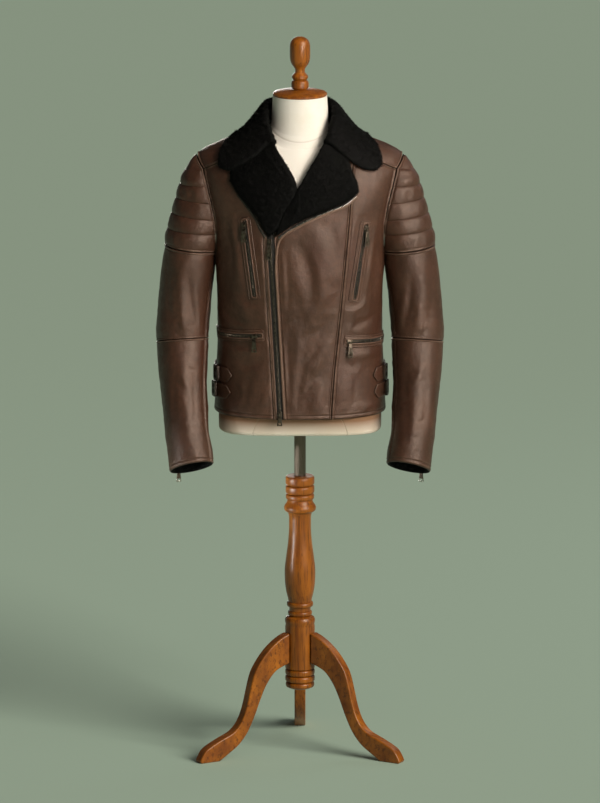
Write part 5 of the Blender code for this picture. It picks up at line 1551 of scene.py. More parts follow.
    def panels(self, right: bool) -> list[Panel]:
        """The five panels of one sleeve."""
        side = "right" if right else "left"
        gap = self.half_gap
        made = []
        for name, low, high, under, foot, head in (
                ("sleeve_rib", self.rib_foot + gap, self.rib_top, False, DOUBLE, PLAIN),
                ("sleeve_top_upper", SLEEVE.elbow + gap, self.rib_foot - gap, False, SOFT, DOUBLE),
                ("sleeve_top_lower", SLEEVE.cuff, SLEEVE.elbow - gap, False, HEM, DOUBLE),
                ("sleeve_under_upper", SLEEVE.elbow + gap, self.under_top, True, SOFT, PLAIN),
                ("sleeve_under_lower", SLEEVE.cuff, SLEEVE.elbow - gap, True, HEM, DOUBLE)):
            front, back = self.folds(name, right)
            rib = name == "sleeve_rib"
            long_seam = (Run(DOUBLE if rib else SOFT),)
            seams = {Side.LEFT: long_seam, Side.RIGHT: long_seam,
                     Side.FOOT: (Run(foot),), Side.HEAD: (Run(head),)}
            padded = {"spacing": 3.4, "puff": 0.6, "extra": self.rolls,
                      "levels": self.rib_rows()} if rib else {}
            made.append(Panel(
                f"{name}_{side}", self.surface(low, high, under), seams, self.middle, folds=front,
                back_folds=back, mirrored=right, **{"spacing": 4.3, **padded}))
        return made

    def build(self) -> None:
        """Make both sleeves."""
        for right in (False, True):
            for panel in self.panels(right):
                self.room.sew(panel, self.room.finishes.fur, panel.name)


# -------------------------------------------------------------------- shearling

# one three-sided tuft a unit long, bent over, with how near each point is to its tip
TUFT = np.array(((0.5, 0.0, 0.0), (-0.25, 0.433, 0.0), (-0.25, -0.433, 0.0), (0.0, 0.4, 1.0)))
TUFT_FACES = [(2, 1, 0), (0, 1, 3), (1, 2, 3), (2, 0, 3)]
TUFT_TIP = (0.1, 0.1, 0.1, 1.0)


def planted(roots: Array, way: Array, off: Array, scales: Array) -> tuple[Array, list, Array]:
    """A tuft at each root.

    Args:
        roots: the tufts' feet.
        way: the direction that each one grows in.
        off: a direction for each that it doesn't grow in.
        scales: its two widths and its length.

    Returns:
        Points, faces, and how near each point is to its tip.
    """
    across = unit(np.cross(way, off))
    frames = np.stack([across, np.cross(way, across), way], axis=-2).reshape(-1, 3, 3)
    points, faces = scattered(TUFT, TUFT_FACES, roots.reshape(-1, 3), frames, scales)
    return points, faces, np.tile(TUFT_TIP, len(scales))


@dataclass
class Pile:
    """Shearling: a wall with a soft rounded rim, and tufts that lean with the nap in clumps."""

    room: Workroom
    pitch: float = 1.55
    length: float = 5.2
    shortest: float = 2.2
    width: float = 1.9
    lean: float = 0.8
    base: float = 5.6
    rim: float = 6.5
    clumping: float = 0.34
    lumps: float = 0.9

    def wall(self, name: str, surface: Surface, columns: int, rows: int) -> None:
        """The skin with the foot of its pile.

        Args:
            name: the piece's name.
            surface: points of its leather side, the pile towards their normals.
            columns: grid lines across.
            rows: grid lines along the other way.
        """
        u, v = np.meshgrid(np.linspace(0.0, 1.0, columns), np.linspace(0.0, 1.0, rows))
        points, normals = self.with_normals(surface, u, v)
        away = self.from_rim(points)
        height = self.height(points, away)
        outer = points + normals * height[..., None]
        faces, kinds = wall_faces(rows, columns)
        both = np.concatenate([outer.reshape(-1, 3), points.reshape(-1, 3)])
        tip = np.zeros(len(both))
        tip[:u.size] = 0.25 + 0.2 * waves(points, 9.0, 23).ravel()
        skin = (self.room.finishes.fur, self.room.finishes.leather)
        piece = new_piece(name, both, faces, skin, (kinds == 2).astype(int), tip=tip)
        self.room.declare(piece, "shearling", name)
        self.room.cuts[name] = Cut(piece, *cut_size(points))

    def with_normals(self, surface: Surface, u: Array, v: Array) -> tuple[Array, Array]:
        """Points of a surface with their normals."""
        step = 4e-3
        along = surface(np.minimum(1.0, u + step), v) - surface(np.maximum(0.0, u - step), v)
        rise = surface(u, np.minimum(1.0, v + step)) - surface(u, np.maximum(0.0, v - step))
        return surface(u, v), unit(np.cross(along, rise))

    def from_rim(self, points: Array) -> Array:
        """Distance of each grid point from the nearest side, along the grid."""
        across = np.linalg.norm(np.diff(points, axis=1), axis=-1)
        down = np.linalg.norm(np.diff(points, axis=0), axis=-1)
        left = np.pad(np.cumsum(across, axis=1), ((0, 0), (1, 0)))
        foot = np.pad(np.cumsum(down, axis=0), ((1, 0), (0, 0)))
        return np.minimum.reduce([left, left[:, -1:] - left, foot, foot[-1:] - foot])

    def height(self, points: Array, away: Array) -> Array:
        """Height of the pile's foot, lumpy and rounded off at the rim."""
        short = np.clip(1 - away / self.rim, 0.0, 1.0)
        lumps = self.lumps * (waves(points, 16.0, 21) + 0.55 * waves(points, 7.0, 22))
        return (self.base + lumps) * np.sqrt(1 - 0.9 * short ** 2)

    def tufts(self, name: str, surface: Surface, nap: Callable[[Array], Array], seed: int,
              cloth: str) -> None:
        """The tufts of a skin.

        Args:
            name: the piece's name.
            surface: points of its leather side.
            nap: the way that the pile leans at points.
            seed: start of the random draws.
            cloth: the skin that they grow from.
        """
        coarse = np.linspace(0.0, 1.0, 60)
        grid = surface(*np.meshgrid(coarse, coarse))
        columns = round(float(lengths(grid, 1).mean()) / self.pitch)
        rows = round(float(lengths(grid, 0).mean()) / self.pitch)
        rng = np.random.RandomState(seed)
        u, v = np.meshgrid((np.arange(columns) + 0.5) / columns, (np.arange(rows) + 0.5) / rows)
        points, normals = self.with_normals(surface, u, v)
        height = self.height(points, self.from_rim(points))
        near = self.from_rim(points) < self.rim
        inward = unit(points - points.reshape(-1, 3).mean(axis=0))
        inward = inward - normals * (inward * normals).sum(axis=-1, keepdims=True)
        jitter = rng.normal(0.0, self.pitch * 0.35, (*u.shape, 3))
        clump = np.stack([waves(points, 13.0, seed + axis) for axis in range(3)], axis=-1)
        way = normals + nap(points) * self.lean + clump * self.clumping + rng.normal(0.0, 0.16, (*u.shape, 3))
        way = unit(way + inward * near[..., None] * 0.9)
        roots = points + normals * (height * 0.72)[..., None] + jitter
        tall = self.length * (0.8 + 0.4 * rng.rand(*u.shape)) * (1 + 0.6 * self.clumping * clump[..., 0])
        tall = np.maximum(tall, self.shortest)
        scales = np.stack([np.full(u.size, self.width), np.full(u.size, self.width), tall.ravel()], axis=-1)
        made, faces, tip = planted(roots, way, normals + 0.01, scales)
        share = tip * np.repeat(0.55 + 0.45 * rng.rand(u.size), len(TUFT_TIP))
        piece = new_piece(name, made, faces, (self.room.finishes.fur,), tip=share)
        self.room.trim(cloth, piece, "shearling")


@dataclass
class Collar:
    """The folded collar: it stands from the neck seam, rolls, and falls to its edge."""

    room: Workroom
    # share of the neck seam's half; roll, middle of the fall and edge, each x, y and z
    rows: Rows = (
        (0, 0, 80, 1417, 0, 101, 1385, 0, 112, 1340), (0.35, 55, 59, 1417, 74, 77, 1384, 88, 90, 1341),
        (0.70, 74, 6, 1411, 104, 11, 1377, 137, 15, 1354),
        (0.95, 73, -34, 1395, 112, -33, 1365, 159, -22, 1341),
        (1.10, 67, -60, 1372, 112, -63, 1341, 171, -45, 1320),
        (1.22, 60, -80, 1349, 109, -88, 1309, 174, -63, 1298))
    end: float = 1.22
    roll: float = 0.4                   # share of its width that stands
    lean: float = 4.0
    seam_lift: float = 1.2

    def __post_init__(self) -> None:
        """Make the curve."""
        self.curve = Curve(self.rows)

    def point(self, u: Array, v: Array) -> Array:
        """Leather side by u, along the neck seam, and v, from the seam over the roll to the edge."""
        share = (2 * u - 1) * self.end
        reach = np.abs(share)
        neck = BODY.neck(reach)
        seam = BODY.over(neck[..., 0], BODY.climb_at(neck[..., 0], neck[..., 1])) + UP * self.seam_lift
        stages = self.curve(reach)
        roll, fall, edge = stages[..., :3], stages[..., 3:6], stages[..., 6:]
        out = unit((edge - roll) * (1.0, 1.0, 0.0)) * self.lean
        after = roll + out * 1.5
        rise = seam + UP * ((roll - seam)[..., 2:] * 0.5)
        stand = self.bend(np.clip(v / self.roll, 0.0, 1.0), seam, rise, roll - out, roll)
        lying = self.bend(np.clip((v - self.roll) / (1 - self.roll), 0.0, 1.0), roll, after,
                          (fall * 8 - roll - after * 3 - edge) / 3, edge)
        points = np.where((v < self.roll)[..., None], stand, lying)
        side = np.where(share < 0, -1.0, 1.0)
        return points * np.stack([side, np.ones_like(side), np.ones_like(side)], axis=-1)

    def bend(self, t: Array, *stages: Array) -> Array:
        """A cubic curve through its first and last stages."""
        weights = ((1 - t) ** 3, 3 * t * (1 - t) ** 2, 3 * t ** 2 * (1 - t), t ** 3)
        return sum(stage * weight[..., None] for stage, weight in zip(stages, weights))

    def nap(self, points: Array) -> Array:
        """The pile leans down and away from the neck."""
        away = unit(points * (1.0, 1.0, 0.0))
        return unit(away * 0.5 - UP)

    def build(self) -> None:
        """Make the collar."""
        pile = Pile(self.room)
        pile.wall("collar", self.point, 170, 46)
        pile.tufts("pile_collar", self.point, self.nap, 7, "collar")


@dataclass
class Lapels:
    """The turned-back tops of the fronts, pile outwards, seen from in front by their four edges."""

    room: Workroom
    lift: float = 3.2                   # over the zip sewn along the outer edge
    roll_lift: float = 0.7              # where a lapel rolls out of the front's own edge
    left: dict[str, Rows] = field(default_factory=lambda: {
        "gorge": ((50, 1345), (70, 1340), (91, 1327)),
        "outer": ((91, 1327), (101, 1304), (111, 1282), (120, 1263), (122.5, 1247)),
        "lower": ((-52, 1154), (-10, 1182), (24.5, 1199), (59, 1213), (93.6, 1226), (122.5, 1247)),
        "roll": ((50, 1345), (-8, 1250), (-37, 1202), (-52, 1154))})
    right: dict[str, Rows] = field(default_factory=lambda: {
        "gorge": ((-55, 1345), (-84, 1333), (-113, 1316)),
        "outer": ((-113, 1316), (-131, 1301), (-143, 1285), (-145, 1268)),
        "lower": ((-66, 1154), (-79, 1172), (-87, 1190), (-96, 1204), (-115, 1228),
                  (-130, 1245), (-145, 1268)),
        "roll": ((-55, 1345), (-6, 1252), (-32, 1202), (-45, 1172), (-66, 1154))})

    def surface(self, outline: dict[str, Rows], side: int) -> Surface:
        """Surface of a lapel's leather side: u outwards from the roll, v down from the gorge."""
        edges = {name: through(points) for name, points in outline.items()}

        def point(u: Array, v: Array) -> Array:
            """Points of the lapel."""
            if side < 0:
                v = 1 - v
            along, up = u[..., None], v[..., None]
            ruled = (edges["gorge"](u) * (1 - up) + edges["lower"](u) * up
                     + edges["roll"](v) * (1 - along) + edges["outer"](v) * along)
            ends = [edges[name](np.array(at)) for name, at in (
                ("gorge", 0.0), ("gorge", 1.0), ("lower", 0.0), ("lower", 1.0))]
            corners = ((ends[0] * (1 - along) + ends[1] * along) * (1 - up)
                       + (ends[2] * (1 - along) + ends[3] * along) * up)
            flat = ruled - corners
            points, normals = BODY.on_front(flat[..., 0], flat[..., 1])
            lift = self.lift + (self.roll_lift - self.lift) * np.maximum(0.0, 1 - 3 * u)
            return points + normals * lift[..., None]
        return point

    def nap(self, points: Array) -> Array:
        """The pile leans outwards and down."""
        outwards = np.sign(points[..., :1]) * np.array((1.0, 0.0, 0.0))
        return unit(outwards * 0.6 + np.array((0.0, 0.0, -1.0)))

    def build(self) -> None:
        """Make both lapels."""
        for name, outline, side in (("left", self.left, 1), ("right", self.right, -1)):
            surface = self.surface(outline, side)
            probe = np.array([[0.5]])
            normal = Pile(self.room).with_normals(surface, probe, probe)[1]
            if normal[0, 0, 1] > 0:
                surface = flipped(surface)
            pile = Pile(self.room, pitch=1.45, clumping=0.11, lumps=0.35)
            pile.wall(f"lapel_{name}", surface, 64, 64)
            pile.tufts(f"pile_lapel_{name}", surface, self.nap, 11 + side, f"lapel_{name}")


def flipped(surface: Surface) -> Surface:
    """The same surface with its other side outwards."""
    return lambda u, v: surface(u, 1 - v)


@dataclass
class CuffPile:
    """The pile of the sleeves' lining where it shows in the cuffs."""

    room: Workroom
    low: float = 646.5
    high: float = 716.0
    skin: float = 3.0                   # from the leather's face to the pile's foot
    depth: float = 6.5

    def build(self) -> None:
        """Make both linings."""
        for side, flip in (("left", 1.0), ("right", -1.0)):
            turns = np.linspace(0.0, 360.0, 72, endpoint=False)
            rim_levels = np.linspace(self.low, self.low + 8.0, 6)
            levels = np.concatenate([rim_levels, np.linspace(660.0, self.high, 9)])
            turn, level = np.meshgrid(turns, levels)
            points, normals = self.walls(turn, level)
            rim = np.clip(1 - (level - self.low) / 7.0, 0.0, 1.0)
            depth = self.depth * np.sqrt(1 - 0.85 * rim ** 2) + 0.8 * waves(points, 12.0, 31)
            outer = points - normals * self.skin
            inner = points - normals * (self.skin + depth)[..., None]
            faces, _ = wall_faces(len(levels), len(turns), ring=True)
            both = np.concatenate([outer.reshape(-1, 3), inner.reshape(-1, 3)]) * (flip, 1.0, 1.0)
            if flip > 0:
                faces = faces[:, ::-1]
            tip = np.concatenate([np.zeros(outer.size // 3), np.full(inner.size // 3, 0.3)])
            piece = new_piece(f"cuff_pile_{side}", both, faces, (self.room.finishes.fur,), tip=tip)
            self.room.trim(f"sleeve_under_lower_{side}", piece, "shearling")
            self.tufts(side, flip)

    def walls(self, turn: Array, level: Array) -> tuple[Array, Array]:
        """Points of the left sleeve with their outward normals."""
        along = SLEEVE.point(turn + 1.0, level) - SLEEVE.point(turn - 1.0, level)
        rise = SLEEVE.point(turn, level + 1.0) - SLEEVE.point(turn, level - 1.0)
        normals = unit(np.cross(along, rise))
        centre = SLEEVE.arm(level)[..., :2]
        points = SLEEVE.point(turn, level)
        outward = ((points[..., :2] - centre) * normals[..., :2]).sum(axis=-1, keepdims=True)
        return points, normals * np.sign(outward)

    def tufts(self, side: str, flip: float) -> None:
        """Tufts that hang over the lining's lower edge."""
        rng = np.random.RandomState(17)
        turn, level = np.meshgrid(np.arange(0.0, 360.0, 2.6), self.low + np.array((1.5, 3.4, 5.4, 8, 11, 15)))
        turn = turn + rng.uniform(-1.3, 1.3, turn.shape)
        points, normals = self.walls(turn, level)
        roots = points - normals * (self.skin + self.depth * 0.55)
        way = unit(-normals * 0.9 - UP * 0.75 + rng.normal(0.0, 0.3, roots.shape))
        scales = np.tile((2.2, 2.2, 6), (turn.size, 1)) * rng.uniform(0.7, 1.15, (turn.size, 1))
        made, rows, tip = planted(roots, way, normals, scales)
        rows = rows if flip > 0 else [row[::-1] for row in rows]
        fur = (self.room.finishes.fur,)
        piece = new_piece(f"cuff_tufts_{side}", made * (flip, 1.0, 1.0), rows, fur, tip=tip)
        self.room.trim(f"sleeve_under_lower_{side}", piece, "shearling")


# ------------------------------------------------------------ zips and hardware

def joined(first: Piece, *others: Piece) -> Piece:
    """Pieces made one with the first of them."""
    for piece in (first, *others):
        piece.select_set(True)
    bpy.context.view_layer.objects.active = first
    bpy.ops.object.join()
    return first


def softened(piece: Piece, width: float, segments: int, sharp: float, smooth_under: float) -> Piece:
    """Leave edit mode with the normals outwards, and soften a piece.

    Args:
        piece: the piece, in edit mode.
        width: how much is taken off its edges.
        segments: faces across each softened edge.
        sharp: the angle over which an edge is softened, in degrees.
        smooth_under: the angle under which its faces are shaded as one, in degrees.

    Returns:
        The piece.
    """
    bpy.ops.mesh.select_all(action="SELECT")
    bpy.ops.mesh.normals_make_consistent(inside=False)
    bpy.ops.object.mode_set(mode="OBJECT")
    soften = piece.modifiers.new("soften", "BEVEL")
    soften.width, soften.segments, soften.limit_method = width * MM, segments, "ANGLE"
    soften.angle_limit = math.radians(sharp)
    bpy.ops.object.modifier_apply(modifier="soften")
    bpy.ops.object.shade_smooth_by_angle(angle=math.radians(smooth_under))
    return piece


def standing(point: Array, *axes: Array) -> Matrix:
    """The place of a piece made at the origin: its own three directions, at a point."""
    return Matrix.Translation(Vector(to_frame(point))) @ Matrix(axes).transposed().to_4x4()


@dataclass
class Hardware:
    """Hard pieces, each modelled once on the bench and copied to its places."""

    room: Workroom
    slider_size: tuple[float, float, float] = (10, 12, 4.2)
    bridge: tuple[float, float, float] = (3.2, 6.4, 3)
    pull_top: float = 7.0
    pull_foot: float = 12.2
    pull_head: float = 0.9
    pull_thickness: float = 1.8
    window: tuple[float, float] = (5, 4)
    hinge_drop: float = 5.6
    hinge_out: float = 1.6

    def block(self, size: Sequence[float], place: Sequence[float] = (0.0, 0.0, 0.0)) -> Piece:
        """A cube of a size, open in edit mode with nothing selected; lengths are in metres from here."""
        bpy.ops.object.select_all(action="DESELECT")
        bpy.ops.mesh.primitive_cube_add(size=1.0, location=(0.0, 0.0, 0.0))
        piece = bpy.context.object
        scale = Matrix.Diagonal((*[side * MM for side in size], 1.0))
        piece.data.transform(Matrix.Translation(Vector(place) * MM) @ scale)
        bpy.ops.object.mode_set(mode="EDIT")
        bpy.ops.mesh.select_mode(type="FACE")
        bpy.ops.mesh.select_all(action="DESELECT")
        return piece

    def pick(self, piece: Piece, kind: str, test: Callable[[object], bool]) -> None:
        """Select the faces, edges or vertices of a piece that pass a test."""
        bpy.ops.mesh.select_mode(type={"faces": "FACE", "edges": "EDGE", "verts": "VERT"}[kind])
        bpy.ops.mesh.select_all(action="DESELECT")
        mesh = bmesh.from_edit_mesh(piece.data)
        for part in getattr(mesh, kind):
            if test(part):
                part.select_set(True)
        mesh.select_flush_mode()
        bmesh.update_edit_mesh(piece.data)

    def edge_bevel(self, piece: Piece, axis: int, width: float, segments: int) -> None:
        """Round the edges that run along an axis."""
        self.pick(piece, "edges", lambda e: abs((e.verts[0].co - e.verts[1].co).normalized()[axis]) > 0.9)
        bpy.ops.mesh.bevel(offset=width * MM, segments=segments, affect="EDGES")

    def window_through(self, piece: Piece, axis: int, inset: float) -> None:
        """Cut a window through a piece between its two outermost faces along an axis."""
        self.pick(piece, "faces", lambda f: abs(f.normal[axis]) > 0.99)
        bpy.ops.mesh.inset(thickness=inset * MM, use_individual=True)
        bpy.ops.mesh.bridge_edge_loops()

    def finish(self, piece: Piece, name: str, material: Material,
               round_off: float) -> Piece:
        """Leave edit mode, soften the edges, and dress a piece."""
        softened(piece, round_off, 2, 30.0, 35.0)
        piece.name = piece.data.name = name
        piece.data.materials.append(material)
        return piece

    def copy(self, model: Piece, name: str, matrix: Matrix) -> Piece:
        """A copy of a modelled piece, placed in its mesh."""
        mesh = model.data.copy()
        mesh.transform(matrix)
        piece = bpy.data.objects.new(name, mesh)
        mesh.name = name
        bpy.context.scene.collection.objects.link(piece)
        return piece

    def slider(self, material: Material) -> Piece:
        """A slider on its back: two tapered plates, with an arched bridge for the pull."""
        wide, long, high = self.slider_size
        plates = self.block((wide, long, high))
        self.pick(plates, "verts", lambda v: v.co.y < 0)
        bpy.ops.transform.resize(value=(0.75, 1, 1), center_override=(0.0, 0.0, 0.0))
        self.edge_bevel(plates, 2, 1.9, 4)
        self.pick(plates, "faces", lambda f: abs(f.normal.z) < 0.5)
        bpy.ops.mesh.inset(thickness=1.15 * MM, use_even_offset=True)
        bpy.ops.mesh.extrude_region_shrink_fatten(TRANSFORM_OT_shrink_fatten={"value": -0.8 * MM})
        self.finish(plates, "slider_plates", material, 0.35)
        bridge = self.block(self.bridge, (0.0, 0.0, (high + self.bridge[2]) / 2 - 0.1))
        self.pick(bridge, "verts", lambda v: v.co.z > high / 2 * MM + 1e-3)
        bpy.ops.transform.resize(value=(0.8, 0.75, 1), center_override=(0.0, 0.0, 0.0))
        self.window_through(bridge, 0, 0.85)
        self.finish(bridge, "slider_bridge", material, 0.4)
        joined(plates, bridge).data.transform(Matrix.Translation((0.0, 0.0, high / 2 * MM)))
        return plates

    def pull(self, length: float, material: Material) -> Piece:
        """A pull tab from its hinge down: tapered, waisted at its head, with a window near its foot."""
        tall = length + self.pull_head
        tab = self.block((self.pull_foot, tall, self.pull_thickness), (0.0, self.pull_head - tall / 2, 0.0))
        self.pick(tab, "verts", lambda v: v.co.y > 0)
        narrowed = (self.pull_top / self.pull_foot, 1.0, 1.0)
        bpy.ops.transform.resize(value=narrowed, center_override=(0.0, 0.0, 0.0))
        foot = (3.0 - length, 3.0 - length + self.window[1])
        for cut, normal in ((foot[0], (0, 1, 0)), (foot[1], (0, 1, 0)), (-0.5, (1, 0, 0)), (0.5, (1, 0, 0))):
            bpy.ops.mesh.select_all(action="SELECT")
            place = (cut * self.window[0] * MM, 0.0, 0.0) if normal[0] else (0.0, cut * MM, 0.0)
            bpy.ops.mesh.bisect(plane_co=place, plane_no=normal)
        half, middle = self.window[0] / 2 * MM, sum(foot) / 2 * MM
        self.pick(tab, "faces", lambda f: abs(f.normal.z) > 0.9 and abs(f.calc_center_median().x) < half
                  and abs(f.calc_center_median().y - middle) < self.window[1] / 2 * MM)
        bpy.ops.mesh.bridge_edge_loops()
        self.pick(tab, "edges", lambda e: abs((e.verts[0].co - e.verts[1].co).normalized().z) > 0.9
                  and min(v.co.y for v in e.verts) < (0.1 - length) * MM
                  and abs(e.verts[0].co.x) > half * 1.3)
        bpy.ops.mesh.bevel(offset=1.6 * MM, segments=4, affect="EDGES")
        return self.finish(tab, "pull_model", material, 0.32)


@dataclass
class Zip:
    """A zip along a line of the front or a sleeve."""

    name: str
    points: Array
    normals: Array
    width: float = 9.0
    low: float = 0.5
    tape_high: float = 1.0
    teeth_wide: float = 5.0
    pitch: float = 1.35
    open_side: float = 0.0              # for an open half, the side on which its teeth stand

    def sew(self, room: Workroom, cloth: str, metal: Material, last: int | None = None) -> None:
        """Sew the tapes and their teeth on a piece of cloth, with teeth up to the last of its stations."""
        room.trim(cloth, self.tape(room), "zip_tape", f"zip_{self.name}")
        self.points, self.normals = self.points[:last], self.normals[:last]
        room.trim(cloth, self.teeth(metal), "metal")

    def tape(self, room: Workroom) -> Piece:
        """The two tapes, thicker where the teeth are clamped to them."""
        half, low, high = self.width / 2, self.low, self.low + self.tape_high
        cord = self.teeth_wide / 2
        outline = np.array(((-half, low), (half, low), (half, high), (cord + 0.9, high), (cord, high + 0.45),
                            (-cord, high + 0.45), (-cord - 0.9, high), (-half, high)))
        points, faces = swept(self.points, self.normals, outline)
        return new_piece(f"zip_{self.name}", points, faces, (room.finishes.tape,), smooth=40.0)

    def teeth(self, material: Material) -> Piece:
        """The teeth, clamped in turn to either tape."""
        points, normals = spaced(self.points, self.normals, pitch=self.pitch)
        normals = unit(normals)
        ahead = unit(np.gradient(points, axis=0))
        across = unit(np.cross(normals, ahead))
        frames = np.stack([across, ahead, normals], axis=1)
        side = np.where(np.arange(len(points)) % 2 == 0, 1.0, -1.0)
        if self.open_side:
            side[:] = self.open_side
            frames, points, side, normals, across = (a[::2] for a in (frames, points, side, normals, across))
            shift = side * 0.5
        else:
            shift = side * self.teeth_wide * 0.16
        base = self.low + self.tape_high + 0.5
        places = points + normals * base + across * shift[:, None]
        tooth = np.array([(x * w, y * w, z) for z, w in ((-0.5, 1), (0.2, 1), (0.5, 0.6))
                          for x, y in ((-0.5, -0.5), (0.5, -0.5), (0.5, 0.5), (-0.5, 0.5))])
        faces = [(3, 2, 1, 0), (8, 9, 10, 11)]
        for low in (0, 4):
            faces += [(low + i, low + (i + 1) % 4, low + 4 + (i + 1) % 4, low + 4 + i) for i in range(4)]
        scales = np.tile((self.teeth_wide * 0.62, self.pitch * 0.82, 1.2), (len(places), 1))
        return new_piece(f"teeth_{self.name}", *scattered(tooth, faces, places, frames, scales), (material,),
                         smooth=30.0)


@dataclass
class Pocket:
    """A zipped pocket set into a front: its frame of leather, and a piped lip round the zip."""

    room: Workroom
    name: str
    start: tuple[float, float]          # its zip from its slider's end, seen from in front
    end: tuple[float, float]
    slider_share: float
    lift: float                         # of the zip over the panel
    cloth: str
    frame_half: float = 13.2
    frame_beyond: float = 8.0
    lip_half: float = 5.4
    lip_beyond: float = 4.5

    def at(self, along: Array, across: Array) -> tuple[Array, Array]:
        """Points and normals of the front by millimetres along the zip and across it, in the view."""
        start, end = np.array(self.start), np.array(self.end)
        ahead = (end - start) / np.linalg.norm(end - start)
        aside = np.array((-ahead[1], ahead[0]))
        flat = start + np.asarray(along)[..., None] * ahead + np.asarray(across)[..., None] * aside
        return BODY.on_front(flat[..., 0], flat[..., 1])

    @property
    def long(self) -> float:
        """Length of the zip, seen from in front."""
        return math.dist(self.start, self.end)

    def frame(self) -> Panel:
        """The stitched frame: a thin layer with rounded corners."""
        beyond, half, lift = self.frame_beyond, self.frame_half, self.lift + 0.7

        def point(u: Array, v: Array) -> Array:
            """Points of the frame."""
            a, b = 2 * u - 1, 2 * v - 1
            middle, reach = self.long / 2, self.long / 2 + beyond
            round_off = 2.4 * np.abs(a) ** 30 * np.abs(b) ** 8
            along = middle + a * reach - np.sign(a) * round_off
            across = b * half - np.sign(b) * round_off
            points, normals = self.at(along, across)
            return points + normals * lift
        edge = Seam((0, 0.5, 1.1, 1.8, 2.6, 3.4, 4.4, 6),
                    ((0, -0.7, 0.7), (1.5, 0.45, 1), (3.2, -0.6, 0.7), (5, 0.3, 1)), (3.2,), 0.5)
        seams = {side: (Run(edge),) for side in Side}
        return Panel(f"frame_{self.name}", point, seams, spacing=4.2, puff=0.5, thickness=1.0)

    def lip(self) -> Piece:
        """Piping round the zip, in one loop, painted lighter on top as wear and highlight and darker
        underneath as shade.
        """
        half, beyond, corner = self.lip_half, self.lip_beyond, 3.4
        turns = np.radians(np.linspace(0.0, 90.0, 7))
        quarter = np.stack([np.cos(turns), np.sin(turns)], axis=-1) * corner
        route = []
        for i, (x, y) in enumerate(((self.long + beyond, half), (-beyond, half), (-beyond, -half),
                                    (self.long + beyond, -half))):
            middle = (x - math.copysign(corner, x), y - math.copysign(corner, y))
            turn = math.radians(90.0 * i)
            spin = np.array(((math.cos(turn), -math.sin(turn)), (math.sin(turn), math.cos(turn))))
            route += [spin @ point + middle for point in quarter]
        route = np.array(route + [route[0]])
        route = spaced(route, pitch=3.0)[0][:-1]
        points, normals = self.at(route[:, 0], route[:, 1])
        angles = np.linspace(0.0, 2 * math.pi, 10, endpoint=False)
        outline = np.stack([np.cos(angles) * 1.9, np.sin(angles) * 1.25 + self.lift + 1.0], axis=-1)
        made, faces = swept(points, normals, outline, ring=True)
        # real wear and a painted highlight along the piping's top
        wear = np.tile(np.clip(np.sin(angles) - 0.2, 0.0, 1.0) * 0.75, len(points))
        # painted shade: darker along the piping's underside
        return new_piece(f"lip_{self.name}", made, faces, (self.room.finishes.leather,),
                         wear=wear, shade=np.tile(np.clip(-np.sin(angles), 0.0, 1.0), len(points)))

    def build(self) -> tuple[Array, Array, Array]:
        """Make the pocket.

        Returns:
            The slider's seat, its normal, and the way back along the zip.
        """
        self.room.sew(self.frame(), self.room.finishes.leather, cloth=self.cloth)
        self.room.trim(self.cloth, self.lip(), "leather")
        points, normals = self.at(np.linspace(0.0, self.long, 60), np.zeros(60))
        Zip(self.name, points, normals, low=self.lift).sew(self.room, self.cloth, self.room.finishes.teeth)
        seat, normal = self.at(np.array(self.long * self.slider_share), np.array(0.0))
        return seat + normal * (self.lift + 2.2), normal, points[0] - points[-1]


